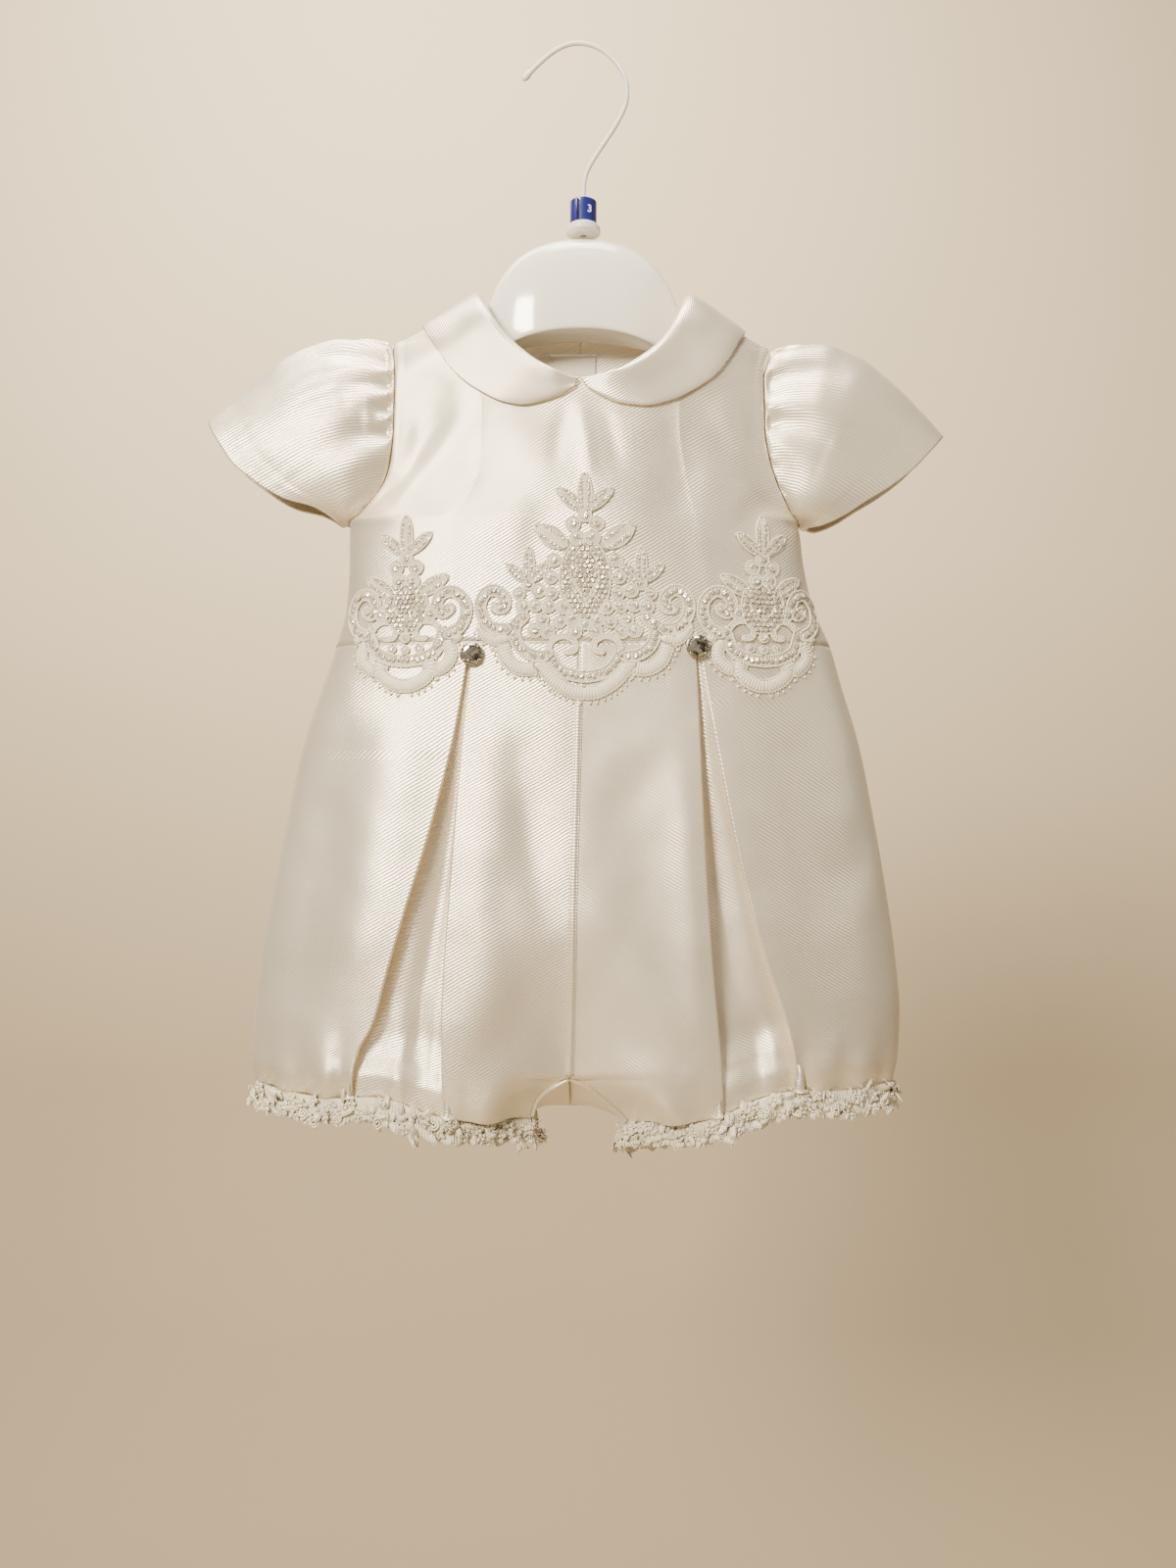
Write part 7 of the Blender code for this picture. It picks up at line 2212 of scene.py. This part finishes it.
class RomperTrim(bpy.types.PropertyGroup):
    """The settings of the lace, the stones and the label."""

    lace: colour_setting("Lace", "Colour of the lace's thread", (0.97, 0.885, 0.69))
    # The colour of the painted shade between the lace's threads and in its narrow gaps.
    shadow: colour_setting("Lace depth", "Colour between the threads", (0.5, 0.41, 0.28))
    sequin_roughness: bpy.props.FloatProperty(
        name="Sequin roughness", description="How soft the sequins' glints are",
        default=0.1, min=0.02, max=0.6,
    )
    metal: colour_setting("Setting", "Colour of the stones' metal", (0.42, 0.39, 0.34))
    label: colour_setting("Label", "Colour of the neck label", (0.86, 0.8, 0.66))


class RomperHanger(bpy.types.PropertyGroup):
    """The hanger's settings."""

    white: colour_setting("Hanger", "Colour of the moulded plastic", (0.975, 0.91, 0.8))
    gloss: bpy.props.FloatProperty(
        name="Roughness", description="How soft the plastic's highlights are", default=0.14, min=0.02, max=0.8
    )
    ring: colour_setting("Size ring", "Colour of the size ring", (0.012, 0.016, 0.17))


class RomperStage(bpy.types.PropertyGroup):
    """The stage's settings."""

    wall: colour_setting("Backdrop", "Colour of the floor and backdrop", (0.86, 0.735, 0.53))
    light: bpy.props.FloatProperty(
        name="Light", description="Strength of all the lights", default=1.0, min=0
    )
    fill: bpy.props.FloatProperty(
        name="Fill", description="Strength of the even light from all round", default=0.24, min=0
    )


class ROMPER_OT_bodice(bpy.types.Operator):
    """Make the front and the two back panels of the bodice"""

    bl_idname = "romper.bodice"
    bl_label = "Bodice"

    def execute(self, context):
        cloth = context.scene.romper_cloth
        left, right = bodice_columns(LEFT), bodice_columns(RIGHT)
        pieces = [
            bodice_panel("bodice_front", FRONT, left + [0.0] + right[::-1], cloth),
            bodice_panel("bodice_back_left", BACK, left + [-SEAM], cloth, -1),
            bodice_panel("bodice_back_right", BACK, [SEAM] + right[::-1], cloth, 0),
        ]
        return {"FINISHED"}


class ROMPER_OT_sleeves(bpy.types.Operator):
    """Make the two gathered puff sleeves"""

    bl_idname = "romper.sleeves"
    bl_label = "Sleeves"

    def execute(self, context):
        for side in SIDES:
            piece = make_sleeve(side, context.scene.romper_cloth)
        return {"FINISHED"}


class ROMPER_OT_collar(bpy.types.Operator):
    """Make the two halves of the flat collar"""

    bl_idname = "romper.collar"
    bl_label = "Collar"

    def execute(self, context):
        for side in SIDES:
            piece = make_collar(side, context.scene.romper_cloth)
        return {"FINISHED"}


class ROMPER_OT_shorts(bpy.types.Operator):
    """Make the two pleated front panels and the two back panels of the shorts"""

    bl_idname = "romper.shorts"
    bl_label = "Shorts"

    def execute(self, context):
        for side in SIDES:
            piece = make_shorts_front(side, context.scene.romper_cloth)
            piece = make_shorts_back(side, context.scene.romper_cloth)
        return {"FINISHED"}


class ROMPER_OT_lace(bpy.types.Operator):
    """Make the three corded lace motifs over the waist"""

    bl_idname = "romper.lace"
    bl_label = "Lace motifs"

    def execute(self, context):
        for name, flat, area in (
            ("centre", (0.11, 0.112), 0.0062), ("left", (0.068, 0.088), 0.0034),
            ("right", (0.068, 0.088), 0.0034),
        ):
            pieces = make_motif(name, context.scene.romper_trim)
        return {"FINISHED"}


class ROMPER_OT_legs(bpy.types.Operator):
    """Make the bands and the ruffled lace of the legs"""

    bl_idname = "romper.legs"
    bl_label = "Leg bands and lace"

    def execute(self, context):
        for side in SIDES:
            band = make_leg_band(side, context.scene.romper_cloth)
            pieces = make_leg_lace(side, context.scene.romper_trim)
        return {"FINISHED"}


class ROMPER_OT_seams(bpy.types.Operator):
    """Make the raised centre seam and the crotch piping"""

    bl_idname = "romper.seams"
    bl_label = "Centre seam and piping"

    def execute(self, context):
        welt = make_welt(context.scene.romper_cloth)
        make_piping(context.scene.romper_cloth)
        make_waist_seam(context.scene.romper_cloth)
        return {"FINISHED"}


class ROMPER_OT_stones(bpy.types.Operator):
    """Make the two set stones on the pleats"""

    bl_idname = "romper.stones"
    bl_label = "Stones"

    def execute(self, context):
        for side in SIDES:
            make_stone(side, context.scene.romper_trim)
        return {"FINISHED"}


class ROMPER_OT_label(bpy.types.Operator):
    """Make the bare label inside the neck"""

    bl_idname = "romper.label"
    bl_label = "Neck label"

    def execute(self, context):
        label = make_label(context.scene.romper_trim)
        return {"FINISHED"}


class ROMPER_OT_hanger(bpy.types.Operator):
    """Make the hanger with its bush, size ring and hook"""

    bl_idname = "romper.hanger"
    bl_label = "Hanger"

    def execute(self, context):
        make_hanger(context.scene.romper_hanger)
        return {"FINISHED"}


class ROMPER_OT_stage(bpy.types.Operator):
    """Make the floor, the lights and the camera"""

    bl_idname = "romper.stage"
    bl_label = "Stage"

    def execute(self, context):
        make_stage(context.scene.romper_stage)
        return {"FINISHED"}


OPERATORS = (
    ROMPER_OT_bodice,
    ROMPER_OT_sleeves,
    ROMPER_OT_collar,
    ROMPER_OT_shorts,
    ROMPER_OT_legs,
    ROMPER_OT_seams,
    ROMPER_OT_lace,
    ROMPER_OT_stones,
    ROMPER_OT_label,
    ROMPER_OT_hanger,
    ROMPER_OT_stage,
)
SETTINGS = {
    "romper_cloth": RomperCloth,
    "romper_trim": RomperTrim,
    "romper_hanger": RomperHanger,
    "romper_stage": RomperStage,
}


class ROMPER_PT_panel(bpy.types.Panel):
    """The romper's settings and steps"""

    bl_idname = "ROMPER_PT_panel"
    bl_label = "Romper"
    bl_space_type = "VIEW_3D"
    bl_region_type = "UI"
    bl_category = "Romper"

    def draw(self, context):
        for settings in (getattr(context.scene, name) for name in SETTINGS):
            for name in settings.bl_rna.properties.keys():
                if name not in ("rna_type", "name"):
                    self.layout.prop(settings, name)
        for operator in OPERATORS:
            self.layout.operator(operator.bl_idname)


CLASSES = (*SETTINGS.values(), *OPERATORS, ROMPER_PT_panel)


def register():
    """Registers the add-on's classes and settings."""
    for each in CLASSES:
        bpy.utils.register_class(each)
    for name, group in SETTINGS.items():
        setattr(bpy.types.Scene, name, bpy.props.PointerProperty(type=group))


def unregister():
    """Takes them out again."""
    for name in SETTINGS:
        delattr(bpy.types.Scene, name)
    for each in reversed(CLASSES):
        bpy.utils.unregister_class(each)


def main():
    """Builds the whole piece and its stage."""
    register()
    bpy.ops.object.select_all(action="DESELECT")
    bpy.ops.romper.bodice()
    bpy.ops.romper.sleeves()
    bpy.ops.romper.collar()
    bpy.ops.romper.shorts()
    bpy.ops.romper.legs()
    bpy.ops.romper.seams()
    bpy.ops.romper.lace()
    bpy.ops.romper.stones()
    bpy.ops.romper.label()
    bpy.ops.romper.hanger()
    bpy.ops.romper.stage()


if __name__ == "__main__":
    main()
